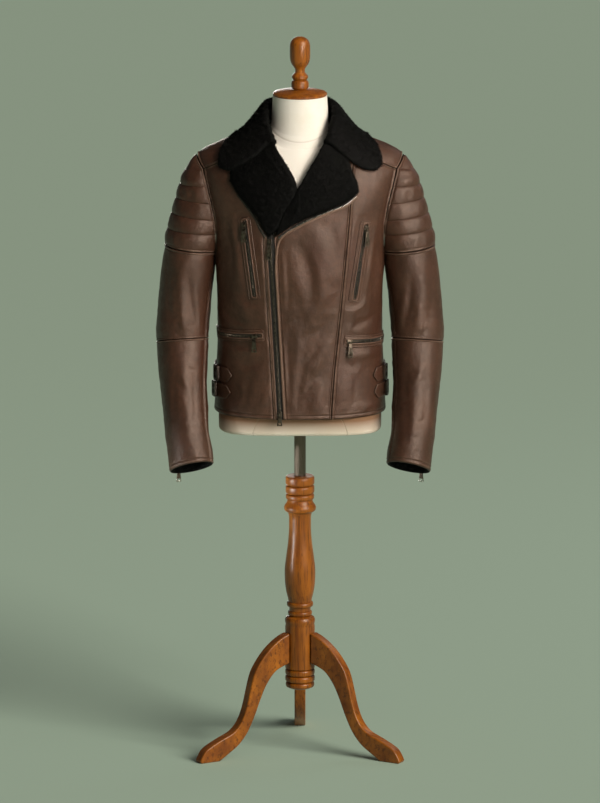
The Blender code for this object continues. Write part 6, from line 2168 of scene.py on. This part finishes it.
@dataclass
class Zips:
    """Every zip with its slider and pull."""

    room: Workroom
    centre_low: float = -1.3
    teeth_top: float = 1146.5           # above it the front zip's tape runs on under the lapel
    tape: float = 1.9                   # thickness of tape and teeth together
    gap: float = 0.3
    bright_from: float = 0.55           # share of a cuff's pull below which it is bright
    pulls: dict[str, float] = field(default_factory=lambda: {
        "front_top": 34.0, "front_foot": 19.0, "chest_left": 31.0, "chest_right": 31.0,
        "hip_left": 29.0, "hip_right": 29.0, "cuff_left": 19.0, "cuff_right": 19.0})

    def fit(self, hardware: Hardware, name: str, seat: Array, normal: Array, along: Array) -> None:
        """Put a slider on its seat with its pull hanging from it."""
        ahead = unit(along - normal * (along @ normal))
        place = standing(seat, np.cross(ahead, normal), ahead, normal)
        slider = hardware.copy(self.slider_model, f"slider_{name}", place)
        self.room.declare(slider, "metal", f"slider_{name}")
        facing = unit(normal * (1.0, 1.0, 0.0))
        hinge = seat + normal * (hardware.slider_size[2] + hardware.hinge_out) - UP * hardware.hinge_drop
        model = hardware.pull(self.pulls[name], self.room.finishes.slider)
        if name.startswith("cuff"):
            model.data.materials.append(self.room.finishes.silver)
            for face in model.data.polygons:
                face.material_index = int(face.center.y < -self.bright_from * self.pulls[name] * MM)
        pull = hardware.copy(model, f"pull_{name}", standing(hinge, np.cross(UP, facing), UP, facing))
        bpy.data.objects.remove(model)
        self.room.declare(pull, "metal", f"pull_{name}", body=f"pull_tab_{name}")

    def guard(self, name: str, cloth: str, line: Array, half: float, high: float, worn_and_lit: float) -> None:
        """A folded strip of leather along a line of the front, rubbed and painted lighter as a highlight on
        its ridge, and painted darker underneath as shade.
        """
        line = spaced(line, pitch=3.2)[0]
        points, normals = BODY.on_front(line[:, 0], line[:, 1])
        shape = ((-1.0, -0.4), (1.0, -0.4), (1.0, 0.5), (0.8, high * 0.8), (0.35, high), (-0.35, high),
                 (-0.8, high * 0.8), (-1.0, 0.5))
        outline = np.array(shape) * (half, 1.0)
        made, faces = swept(points, normals, outline)
        # real wear and a painted highlight on the ridge
        wear = np.tile((0, 0, 0.15, 0.75, 1, 1, 0.75, 0.15), len(points)) * worn_and_lit
        # painted shade under the strip
        shade = np.tile((1, 1, 0.6, 0, 0, 0, 0, 0.6), len(points))
        piece = new_piece(f"guard_{name}", made, faces, (self.room.finishes.leather,), wear=wear, shade=shade)
        self.room.trim(cloth, piece, "leather")

    def guards(self, fronts: Fronts) -> None:
        """The strips over the edges of the front zip; the left one runs on under the lapel's edge."""
        z = np.linspace(758.0, 1080.0, 12)
        up = np.column_stack([fronts.zip_x(z) + 9.4, z])
        on = np.array(((-50.3, 1108), (-48.4, 1128), (-43.5, 1145), (-32, 1158.5), (-6.3, 1173.4),
                       (27.7, 1190.4), (61.5, 1204.4), (95.5, 1216.6), (122, 1236)))
        line = through(np.vstack([up, on]))(np.linspace(0.0, 1.0, 240))
        # the left guard, on the lit side, gets the full painted highlight
        self.guard("left", "front_left_centre", line, 2.9, 2.6, 1.0)
        z = np.linspace(758.0, 1159.0, 60)
        self.guard("right", "front_right", np.column_stack([fronts.zip_x(z) - 8.6, z]), 2.6, 1.5, 0.45)

    def centre(self, fronts: Fronts, hardware: Hardware) -> None:
        """The slanted front zip with a slider at each end."""
        z = np.linspace(755.0, 1160.0, 93)
        points, normals = BODY.on_front(fronts.zip_x(z), z)
        zipped = Zip("front", points, normals, 16.6, self.centre_low, teeth_wide=5.6, pitch=1.45)
        zipped.sew(self.room, "front_right", self.room.finishes.teeth, int((z < self.teeth_top).sum()))
        for name, height in (("front_top", 1143.0), ("front_foot", 767.0)):
            place, normal = BODY.on_front(fronts.zip_x(height), np.array(height))
            self.fit(hardware, name, place + normal * (self.centre_low + self.gap + self.tape), normal,
                     points[-1] - points[0])

    def lapel_edges(self) -> None:
        """The open halves of the front zip, along the lapels' lower edges."""
        lines = {
            "left": ((-45, 1152), (-8, 1177), (26, 1194), (60, 1208), (94, 1220), (120, 1238)),
            "right": ((-73, 1152), (-84, 1169), (-92, 1187), (-101, 1201), (-119, 1224),
                      (-132, 1240))}
        for side, line in lines.items():
            flat = through(line)(np.linspace(0.0, 1.0, 60))
            points, normals = BODY.on_front(flat[:, 0], flat[:, 1])
            left = side == "left"
            # painted glint: the left half's teeth take bright nickel where the right's, of the same zip, stay
            # dark
            metal = self.room.finishes.silver if left else self.room.finishes.teeth
            Zip(f"lapel_{side}", points, normals, 6.0, teeth_wide=4.6, open_side=-1.0 if left else 1.0).sew(
                self.room, f"lapel_{side}", metal)

    def cuffs(self, hardware: Hardware) -> None:
        """A short zip on each cuff, behind."""
        level = np.linspace(745.0, 651.0, 40)
        turn = np.full_like(level, -60.0)
        points, normals = CuffPile(self.room).walls(turn, level)
        for side, flip in (("left", 1.0), ("right", -1.0)):
            path, off = points * (flip, 1.0, 1.0), normals * (flip, 1.0, 1.0)
            zipped = Zip(f"cuff_{side}", path, off)
            zipped.sew(self.room, f"sleeve_top_lower_{side}", self.room.finishes.teeth)
            seat = path[-1] + off[-1] * (zipped.low + self.gap + self.tape)
            self.fit(hardware, f"cuff_{side}", seat, off[-1], path[0] - path[-1])

    def build(self, fronts: Fronts) -> None:
        """Make every zip, pocket, slider and pull."""
        hardware = Hardware(self.room)
        self.slider_model = hardware.slider(self.room.finishes.slider)
        self.centre(fronts, hardware)
        self.guards(fronts)
        self.lapel_edges()
        for name, start, end, share, lift, cloth in (
                ("chest_right", (-118, 1184), (-97, 1023), 0.05, 0.5, "front_right"),
                ("chest_left", (140, 1173), (116, 1015), 0.05, 0.5, "front_left_side"),
                ("hip_right", (-84, 936), (-169, 928), 0.13, 1.0, "front_right"),
                ("hip_left", (101, 922.5), (173, 915.6), 0.045, 1.0, "front_left_side")):
            pocket = Pocket(self.room, name, start, end, share, lift, cloth)
            self.fit(hardware, name, *pocket.build())
        self.cuffs(hardware)
        bpy.data.objects.remove(self.slider_model)


@dataclass
class Straps:
    """Two side adjusters a side: a strap with a pointed end through a leather-covered buckle."""

    room: Workroom
    height: float = 31.0
    back_turn: float = 116.0
    lift: float = 0.9
    thickness: float = 2.6
    point: float = 0.12                 # width of the tip, as a share of the strap's
    taper: float = 0.085                # share of the strap that narrows to it
    buckle_half: tuple[float, float] = (12.5, 17)
    bar: float = 5.5
    low: float = 3.8
    high: float = 8.6
    # middle, turn of the tip, turn of the buckle
    places: dict[str, tuple[float, float, float]] = field(default_factory=lambda: {
        "upper_left": (842, 57.5, 78), "lower_left": (805.5, 58, 82),
        "upper_right": (842, 51, 73), "lower_right": (805.5, 52, 77)})

    def strap(self, name: str, z: float, tip: float) -> Panel:
        """A strap from its tip to where it is sewn down behind."""
        top = self.lift + self.thickness

        def point(u: Array, v: Array) -> Array:
            """Points of the strap."""
            half = self.height / 2 * np.interp(u, (0.0, self.taper, 1.0), (self.point, 1.0, 1.0))
            points, normals = BODY.with_normal(tip + (self.back_turn - tip) * u, z + (2 * v - 1) * half)
            return points + normals * top
        edge = Seam((0, 0.5, 1.1, 1.9, 2.7, 3.5, 4.6, 6.2),
                    ((0, -0.9, 0.8), (1.5, 0.4, 1), (3.1, -0.55, 0.7)), (3.1,), 0.4)
        seams = {side: (Run(PLAIN if side is Side.RIGHT else edge),) for side in Side}
        return Panel(f"strap_{name}", point, seams, spacing=3.2, puff=0.6, thickness=self.thickness,
                     mirrored=name.endswith("right"))

    def buckle(self, hardware: Hardware) -> Piece:
        """A padded oblong ring with a covered bar across its strap."""
        half_long, half_high = self.buckle_half
        deep = self.high - self.low
        ring = hardware.block((2 * half_long, 2 * half_high, deep))
        hardware.edge_bevel(ring, 2, 5.5, 5)
        hardware.window_through(ring, 2, self.bar)
        hardware.finish(ring, "buckle_ring", self.room.finishes.strap, 1.5)
        bar = hardware.block((3.6, 2 * half_high - 2 * self.bar + 2.0, deep - 1.4), (-1.5, 0, 0.2))
        hardware.finish(bar, "buckle_bar", self.room.finishes.strap, 1.0)
        prong = hardware.block((2 * half_long - 2 * self.bar + 2, 3.6, 1.8), (0, 0, 1.2))
        hardware.finish(prong, "buckle_prong", self.room.finishes.strap, 0.7)
        return joined(ring, bar, prong)

    def build(self) -> None:
        """Make the straps and buckles."""
        hardware = Hardware(self.room)
        model = self.buckle(hardware)
        middle = (self.low + self.high) / 2
        for name, (z, tip, turn) in self.places.items():
            right = name.endswith("right")
            self.room.sew(self.strap(name, z, tip), self.room.finishes.strap, f"strap_{name}",
                          "front_right" if right else "front_left_side")
            point, normal = BODY.with_normal(np.array(-turn if right else turn), np.array(z))
            across = unit(np.cross(UP, normal))
            place = standing(point + normal * middle, across if right else -across, UP, normal)
            buckle = hardware.copy(model, f"buckle_{name}", place)
            if place.determinant() < 0:
                buckle.data.flip_normals()
            self.room.declare(buckle, "leather", f"buckle_{name}")
        bpy.data.objects.remove(model)


# ---------------------------------------------------------- dress form and stand

@dataclass
class DressForm:
    """The limbless form: a cloth-covered body with long seams, closed over the shoulders to its neck."""

    room: Workroom
    bottom: float = 715.0
    chest: float = 1210.0               # above it the form closes in towards the shoulder ridge
    neck_foot: float = 1396.0
    edge: float = 8.0
    neck_radius: float = 61.0
    neck_top: tuple[float, float] = (58, 1437)
    fillet: float = 20.0
    socket_radius: float = 12.9
    socket_top: float = 905.4
    seam_x: float = 97.0
    # z, width, front, back, power
    rows: Rows = (
        (715, 174.6, 106, 104, 3.8), (740, 174.6, 108, 105, 3.3), (756, 174.2, 109, 106, 2.85),
        (775, 173.5, 111, 107, 2.55), (830, 171, 111, 107, 2.25), (920, 167, 108, 102, 2.25),
        (1000, 167, 113, 107, 2.25), (1076, 171, 119, 114, 2.25), (1150, 180, 118, 118, 2.25),
        (1210, 192, 114, 117, 2.25))
    ridge_rows: Rows = ((0, 1368), (60, 1359), (90, 1354.5), (120, 1349.8), (165, 1334.3), (192, 1322.8))

    def section(self, turn: Array, z: float) -> Array:
        """Plan of the form by turn at a height up to the chest."""
        return np.stack(oval(self.curve(z), turn), axis=-1)

    def height(self, x: Array, y: Array) -> Array:
        """Height of the shoulders over plan points."""
        width, front, back, power = self.curve(self.chest)
        share = np.minimum(1.0, np.abs(x) / width)
        depth = np.where(y < BODY.ridge_y, -front, back)
        edge = depth * (1 - share ** power) ** (1 / power) - BODY.ridge_y
        over = np.minimum(1.0, np.abs((y - BODY.ridge_y) / np.where(np.abs(edge) < 1e-6, 1e-6, edge)))
        rise = self.ridge.one(np.abs(x)) - self.chest
        return self.chest + rise * np.sqrt(1 - over ** 2) * (1 - share ** 12) ** (1 / 12)

    def circle(self, turns: Array) -> Array:
        """Plan of a circle with a radius of one by turn."""
        return np.stack([np.sin(np.radians(turns)), -np.cos(np.radians(turns))], axis=-1)

    def rings(self, turns: Array) -> Array:
        """Rings of the form from its lower edge to the top of its neck."""
        made = []
        for angle in np.radians(np.linspace(0.0, 90.0, 8)):
            inset = self.edge * (1 - math.sin(angle))
            z = self.bottom + self.edge * (1 - math.cos(angle))
            plan = self.section(turns, z) * (1 - inset / 150.0)
            made.append(np.column_stack([plan, np.full_like(turns, z)]))
        for z in (*np.linspace(727.0, 800.0, 16), *np.linspace(815.0, self.chest, 28)):
            made.append(np.column_stack([self.section(turns, z), np.full_like(turns, z)]))
        start = self.section(turns, self.chest)
        circle = self.circle(turns)
        for share in np.concatenate([np.linspace(0.02, 0.74, 20), np.linspace(0.76, 1.0, 44)]):
            plan = start + (circle * self.neck_radius - start) * share
            fillet = self.fillet * max(0.0, (share - 0.85) / 0.15) ** 2
            made.append(np.column_stack([plan, self.height(*plan.T) + fillet]))
        top_radius, top_z = self.neck_top
        for share in np.linspace(0.0, 1.0, 9):
            radius = self.neck_radius - 0.6 + (top_radius - self.neck_radius + 0.6) * share
            z = self.neck_foot + (top_z - self.neck_foot) * share
            made.append(np.column_stack([circle * radius, np.full_like(turns, z)]))
        return np.array(made)

    def build(self) -> None:
        """Make the form."""
        self.curve, self.ridge = Curve(self.rows), Curve(self.ridge_rows)
        seam_turn = float(np.interp(self.seam_x, self.section(np.linspace(1, 80, 80), 735.0)[:, 0],
                                    np.linspace(1, 80, 80)))
        seams = np.array((seam_turn, 180 - seam_turn, 180 + seam_turn, 360 - seam_turn, 90.0, 270.0))
        near = np.concatenate([seams + step for step in (-1.2, -0.6, -0.3, 0, 0.3, 0.6, 1.2)])
        even = np.arange(0.0, 360.0, 4.0)
        even = even[np.min(np.abs(even[:, None] - near[None]), axis=1) > 0.9]
        turns = np.sort(np.concatenate([even, near]))
        rings = self.rings(turns)
        away = np.min(np.abs(turns[:, None] - seams[None]), axis=1)
        groove = np.exp(-(away / 0.35) ** 2)
        middle = rings * (0.0, 0.0, 1.0)
        outward = unit(rings - middle)
        front = np.maximum(0.0, np.cos(np.radians(turns))) ** 1.5
        neck_seam = np.exp(-((rings[..., 2] - 1373.0 + 27.0 * front) / 1.3) ** 2)
        low = rings[..., 2] < 1300.0
        rings = rings + outward * (-0.9 * groove * low - 0.7 * neck_seam * ~low)[..., None]
        soft = 0.5 * waves(rings, 90.0, 41)
        rings = rings + outward * (soft * (rings[..., 2] < 1390.0))[..., None]
        deep, wide = rings.shape[:2]
        outer = closed(np.arange(deep * wide).reshape(deep, wide))
        faces = cells(outer).tolist()
        faces.append(list(range((deep - 1) * wide, deep * wide)))
        bore = [np.column_stack([self.circle(turns) * self.socket_radius, np.full_like(turns, z)])
                for z in (self.bottom, self.socket_top)]
        hole = closed(np.arange(deep * wide, (deep + 2) * wide).reshape(2, wide))
        faces += quads(outer[0][::-1], hole[0][::-1]).tolist() + quads(hole[1], hole[0]).tolist()
        faces.append(hole[1][:-1].tolist())
        # painted shade along the seam grooves and the neck seam
        shade = (0.5 * groove * low + 0.3 * neck_seam * ~low).ravel()
        points = np.concatenate([rings.reshape(-1, 3), *bore])
        form = new_piece("dress_form", points, faces, (self.room.finishes.cloth,), smooth=50.0,
                         shade=np.concatenate([shade, np.zeros(2 * wide)]))
        self.room.declare(form, "form_cloth", "dress_form")


@dataclass
class Turning:
    """Wood and steel turned on a lathe: a profile spun about the stand's axis."""

    room: Workroom
    steps: int = 64
    cap: Rows = ((0, 1450), (19, 1449.8), (44, 1447), (55.5, 1444), (58, 1441.5), (58, 1439),
                 (56.5, 1437.3), (0, 1437.3))
    finial: Rows = ((0, 1564), (5, 1563.6), (10, 1562), (14.6, 1559.4), (18, 1556), (20.4, 1551),
                    (21.6, 1545), (21.9, 1531), (21.6, 1518), (20.4, 1511), (18, 1505), (14, 1499.6),
                    (11, 1495), (10.3, 1491), (10.5, 1487), (13.6, 1483.4), (16.8, 1480), (17.5, 1476),
                    (14, 1470), (17, 1468), (18.6, 1464), (18.6, 1455), (15, 1450.3), (0, 1450.3))
    vase: Rows = ((332, 25), (352, 30), (373, 32.6), (395, 33.2), (430, 29.7), (462, 25.6),
                  (495, 23.7), (515, 23.7), (526, 26))
    top: float = 606.0
    bore: tuple[float, float] = (12.9, 200)
    pole: Rows = ((0, 905), (12, 905), (12.5, 904.5), (12.5, 306.5), (12, 306), (0, 306))

    def ring(self, high: float, low: float, radius: float, groove: float) -> list[tuple[float, float]]:
        """A turned bead from its upper groove down, rounded at both edges."""
        edge = min(4.2, (high - low) / 2.6)
        turns = [math.radians(30.0 * step) for step in range(4)]
        off = [(radius - edge * (1 - math.sin(t)), edge * (1 - math.cos(t)) + 0.4) for t in turns]
        return [(groove, high)] + [(r, high - z) for r, z in off] + [(r, low + z) for r, z in off[::-1]]

    def column(self) -> list[tuple[float, float]]:
        """The column's profile from its top, with its bore at the end."""
        vase = Curve(self.vase)
        body = [(float(vase.one(np.array(z))), z) for z in np.arange(524.0, 332.0, -4.0)]
        profile = [(self.bore[0], self.top)]
        for entry in ((606, 586, 31, 28.5), (586, 567.5, 31, 27.5), (567.5, 554, 30.5, 27.5)):
            profile += self.ring(*entry)
        profile += [(27, 554), (27.6, 550), (29.5, 546), (32.6, 542), (34.3, 538), (34.4, 534.6),
                    (33.5, 531), (30, 528), (26.4, 526.5)] + body
        profile += self.ring(329.0, 317.0, 28.4, 25.0) + [(23, 314)] + self.ring(309.0, 297.5, 26.0, 23.0)
        profile += [(24.5, 297), (30, 294), (32.5, 289.5), (32.4, 284), (31, 279), (32, 274),
                    (32, 230), (32, 182)]
        for entry in ((180, 165.5, 32, 29.5), (165.5, 151, 32, 29.5), (151, 138.5, 31, 29)):
            profile += self.ring(*entry)
        radius, foot = self.bore
        return profile + [(22, 136.3), (0, 136.3), (0.0, foot), (radius, foot), (radius, self.top)]

    def turn(self, name: str, profile: Sequence[tuple[float, float]], body: str, slot: str = "wood") -> None:
        """Spin a profile into a piece of wood, or of steel if its slot says so."""
        bpy.ops.object.select_all(action="DESELECT")
        bpy.ops.mesh.primitive_plane_add(size=1.0, location=(0.0, 0.0, 0.0))
        piece = bpy.context.object
        piece.name = piece.data.name = name
        bpy.ops.object.mode_set(mode="EDIT")
        bpy.ops.mesh.select_mode(type="VERT")
        bpy.ops.mesh.select_all(action="SELECT")
        bpy.ops.mesh.merge(type="CENTER")
        start = Vector(to_frame(np.array((profile[0][0], 0.0, profile[0][1]))))
        bpy.ops.transform.translate(value=start)
        for (r0, z0), (r1, z1) in zip(profile, profile[1:]):
            step = (max(r1, 0.0) - r0, 0.0, z1 - z0)
            bpy.ops.mesh.extrude_region_move(TRANSFORM_OT_translate={"value": [s * MM for s in step]})
        bpy.ops.mesh.select_all(action="SELECT")
        bpy.ops.mesh.spin(steps=self.steps, angle=2 * math.pi, center=(0.0, AXIS_Y * MM, 0.0),
                          axis=(0.0, 0.0, 1.0), use_auto_merge=True)
        bpy.ops.mesh.select_all(action="SELECT")
        bpy.ops.mesh.remove_doubles(threshold=1e-5)
        bpy.ops.mesh.normals_make_consistent(inside=False)
        bpy.ops.object.mode_set(mode="OBJECT")
        bpy.ops.object.shade_smooth_by_angle(angle=math.radians(32))
        finishes = self.room.finishes
        piece.data.materials.append(finishes.wood[Grain.UPRIGHT] if slot == "wood" else finishes.steel)
        self.room.declare(piece, slot, name, body=body)

    def build(self) -> None:
        """Make the cap, the finial, the column and the pole."""
        self.turn("neck_cap", self.cap, "form")
        self.turn("finial", self.finial, "form")
        self.turn("column", self.column(), "stand")
        self.turn("pole", self.pole, "pole", "steel")


@dataclass
class Legs:
    """Three sawn legs with softened edges."""

    room: Workroom
    thickness: float = 24.0
    top: Rows = ((32.5, 262.5), (50.5, 255), (80.6, 234), (104.7, 207), (119.7, 182), (128.8, 151),
                 (137.8, 115), (149.8, 84), (170.9, 60), (201, 47), (225, 36), (240, 27), (249, 14),
                 (254, 4))
    under: Rows = ((32.5, 197), (64.2, 184), (88.2, 157), (103.3, 127), (118.3, 91), (136.4, 56),
                   (157.4, 31.5), (184.5, 13), (205.6, 0))
    foot: tuple[float, float] = (250, 0)
    turns: dict[str, tuple[float, Grain]] = field(default_factory=lambda: {
        "left": (-30.0, Grain.ALONG_X), "right": (210.0, Grain.ALONG_X), "back": (90.0, Grain.ALONG_Y)})

    def outline(self) -> Array:
        """The leg's outline as (outwards, up)."""
        upper, lower = (through(rows)(np.linspace(0.0, 1.0, 46)) for rows in (self.top, self.under))
        return np.vstack([upper, (self.foot,), lower[::-1]])

    def build(self) -> None:
        """Make the legs."""
        outline = self.outline()
        for name, (turn, grain) in self.turns.items():
            angle = math.radians(turn)
            ahead = np.array((math.cos(angle), math.sin(angle), 0.0))
            aside = np.array((-ahead[1], ahead[0], 0.0)) * self.thickness / 2
            flat = outline[:, :1] * ahead + outline[:, 1:] * UP
            points = np.vstack([flat + aside, flat - aside])
            count = len(flat)
            faces = [list(range(count)), list(range(2 * count - 1, count - 1, -1))]
            faces += [[i, i + count, (i + 1) % count + count, (i + 1) % count] for i in range(count)]
            leg = new_piece(f"leg_{name}", points, faces, (self.room.finishes.wood[grain],), smooth=40.0)
            bpy.ops.object.select_all(action="DESELECT")
            leg.select_set(True)
            bpy.context.view_layer.objects.active = leg
            bpy.ops.object.mode_set(mode="EDIT")
            softened(leg, 2.6, 3, 60.0, 40.0)
            self.room.declare(leg, "wood", f"leg_{name}", body="stand")


# ------------------------------------------------------------------------ studio

class Studio:
    """A pale floor, soft light from the upper right in front, and the camera."""

    target = (0, AXIS_Y * MM, 0.769)
    distance = 19.2
    tilt = 12.0                         # degrees that the camera looks down
    lens = 400.5
    key_power = 2.95
    key_softness = 34.0
    key_height = 29.0
    key_turn = 48.0

    def build(self) -> None:
        """Make the floor, the lights, the world and the camera."""
        self.floor()
        self.sun()
        self.lamp("overhead", (1.1, -1.3, 3.4), 1.7, 7.0, "#fff7ee", 1.0)
        self.lamp("window", (2, -3.9, 1.5), 0.9, 1.3, "#fff4ea", 1.24, 18.0)
        self.lamp("strip", (-1.9, -0.95, 0.45), 0.22, 0.17, "#ffffff", 0.58, 8.0)
        self.lamp("behind", (-0.4, 3.5, 1.15), 1.0, 0.6, "#fff7ee", 1.05, 20.0)
        self.lamp("rim", (2, 2.2, 2.4), 1.4, 5.0, "#ffffff", 1.0)
        self.world(0.075)
        self.camera()
        bpy.context.scene.view_settings.view_transform = "Standard"

    def floor(self) -> None:
        """A wide plain floor."""
        bpy.ops.object.select_all(action="DESELECT")
        bpy.ops.mesh.primitive_plane_add(size=120.0, location=(0.0, 0.0, 0.0))
        plane = bpy.context.object
        plane.name = "floor"
        made = Recipe("painted_floor", Roughness=0.9, Specular_IOR_Level=0.1)
        plane.data.materials.append(made.done("#b4cfbf"))
        plane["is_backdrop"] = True

    def sun(self) -> None:
        """The key light: a far soft window on the right, which lights the floor evenly."""
        lamp = bpy.data.lights.new("key", "SUN")
        lamp.energy, lamp.color = self.key_power, linear("#fff3e4")[:3]
        lamp.angle = math.radians(self.key_softness)
        body = bpy.data.objects.new("key", lamp)
        body.rotation_euler = (math.radians(90.0 - self.key_height), 0.0, math.radians(self.key_turn))
        bpy.context.scene.collection.objects.link(body)

    def lamp(self, name: str, place: tuple[float, float, float], size: float, power: float, colour: str,
             aim: float, spread: float = 180.0) -> None:
        """A square soft light that looks at a height of the stand's axis, its beam so many degrees wide."""
        lamp = bpy.data.lights.new(name, "AREA")
        lamp.size, lamp.energy, lamp.color = size, power, linear(colour)[:3]
        lamp.spread = math.radians(spread)
        body = bpy.data.objects.new(name, lamp)
        body.location = place
        body.rotation_euler = (Vector((0.0, 0.0, aim)) - Vector(place)).to_track_quat("-Z", "Y").to_euler()
        bpy.context.scene.collection.objects.link(body)

    def world(self, strength: float) -> None:
        """Even pale light from all round."""
        world = bpy.data.worlds.new("studio")
        world.use_nodes = True
        world.node_tree.nodes["Background"].inputs["Color"].default_value = linear("#f3e6df")
        world.node_tree.nodes["Background"].inputs["Strength"].default_value = strength
        bpy.context.scene.world = world

    def camera(self) -> None:
        """A long lens, a little above the jacket and square in front of it."""
        lens = bpy.data.cameras.new("camera")
        lens.lens, lens.sensor_width, lens.clip_end = self.lens, 36.0, 100.0
        body = bpy.data.objects.new("camera", lens)
        down = math.radians(self.tilt)
        place = Vector((0.0, -math.cos(down), math.sin(down))) * self.distance
        body.location = Vector(self.target) + place
        body.rotation_euler = (math.radians(90.0 - self.tilt), 0.0, 0.0)
        bpy.context.scene.collection.objects.link(body)
        bpy.context.scene.camera = body


def corners() -> list[list[float]]:
    """The whole object's box as plain lists."""
    return [[float(value) for value in corner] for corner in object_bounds()]


def main() -> None:
    """Build every piece in order."""
    logging.basicConfig(level=logging.INFO, format="%(message)s")
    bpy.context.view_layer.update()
    room = Workroom(Finishes())
    fronts = Fronts(room)
    for part in (fronts, Back(room), Sleeves(room), Collar(room), Lapels(room), CuffPile(room), Straps(room),
                 DressForm(room), Turning(room), Legs(room)):
        part.build()
    Zips(room).build(fronts)
    room.close()
    Studio().build()


if __name__ == "__main__":
    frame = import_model()
    main()
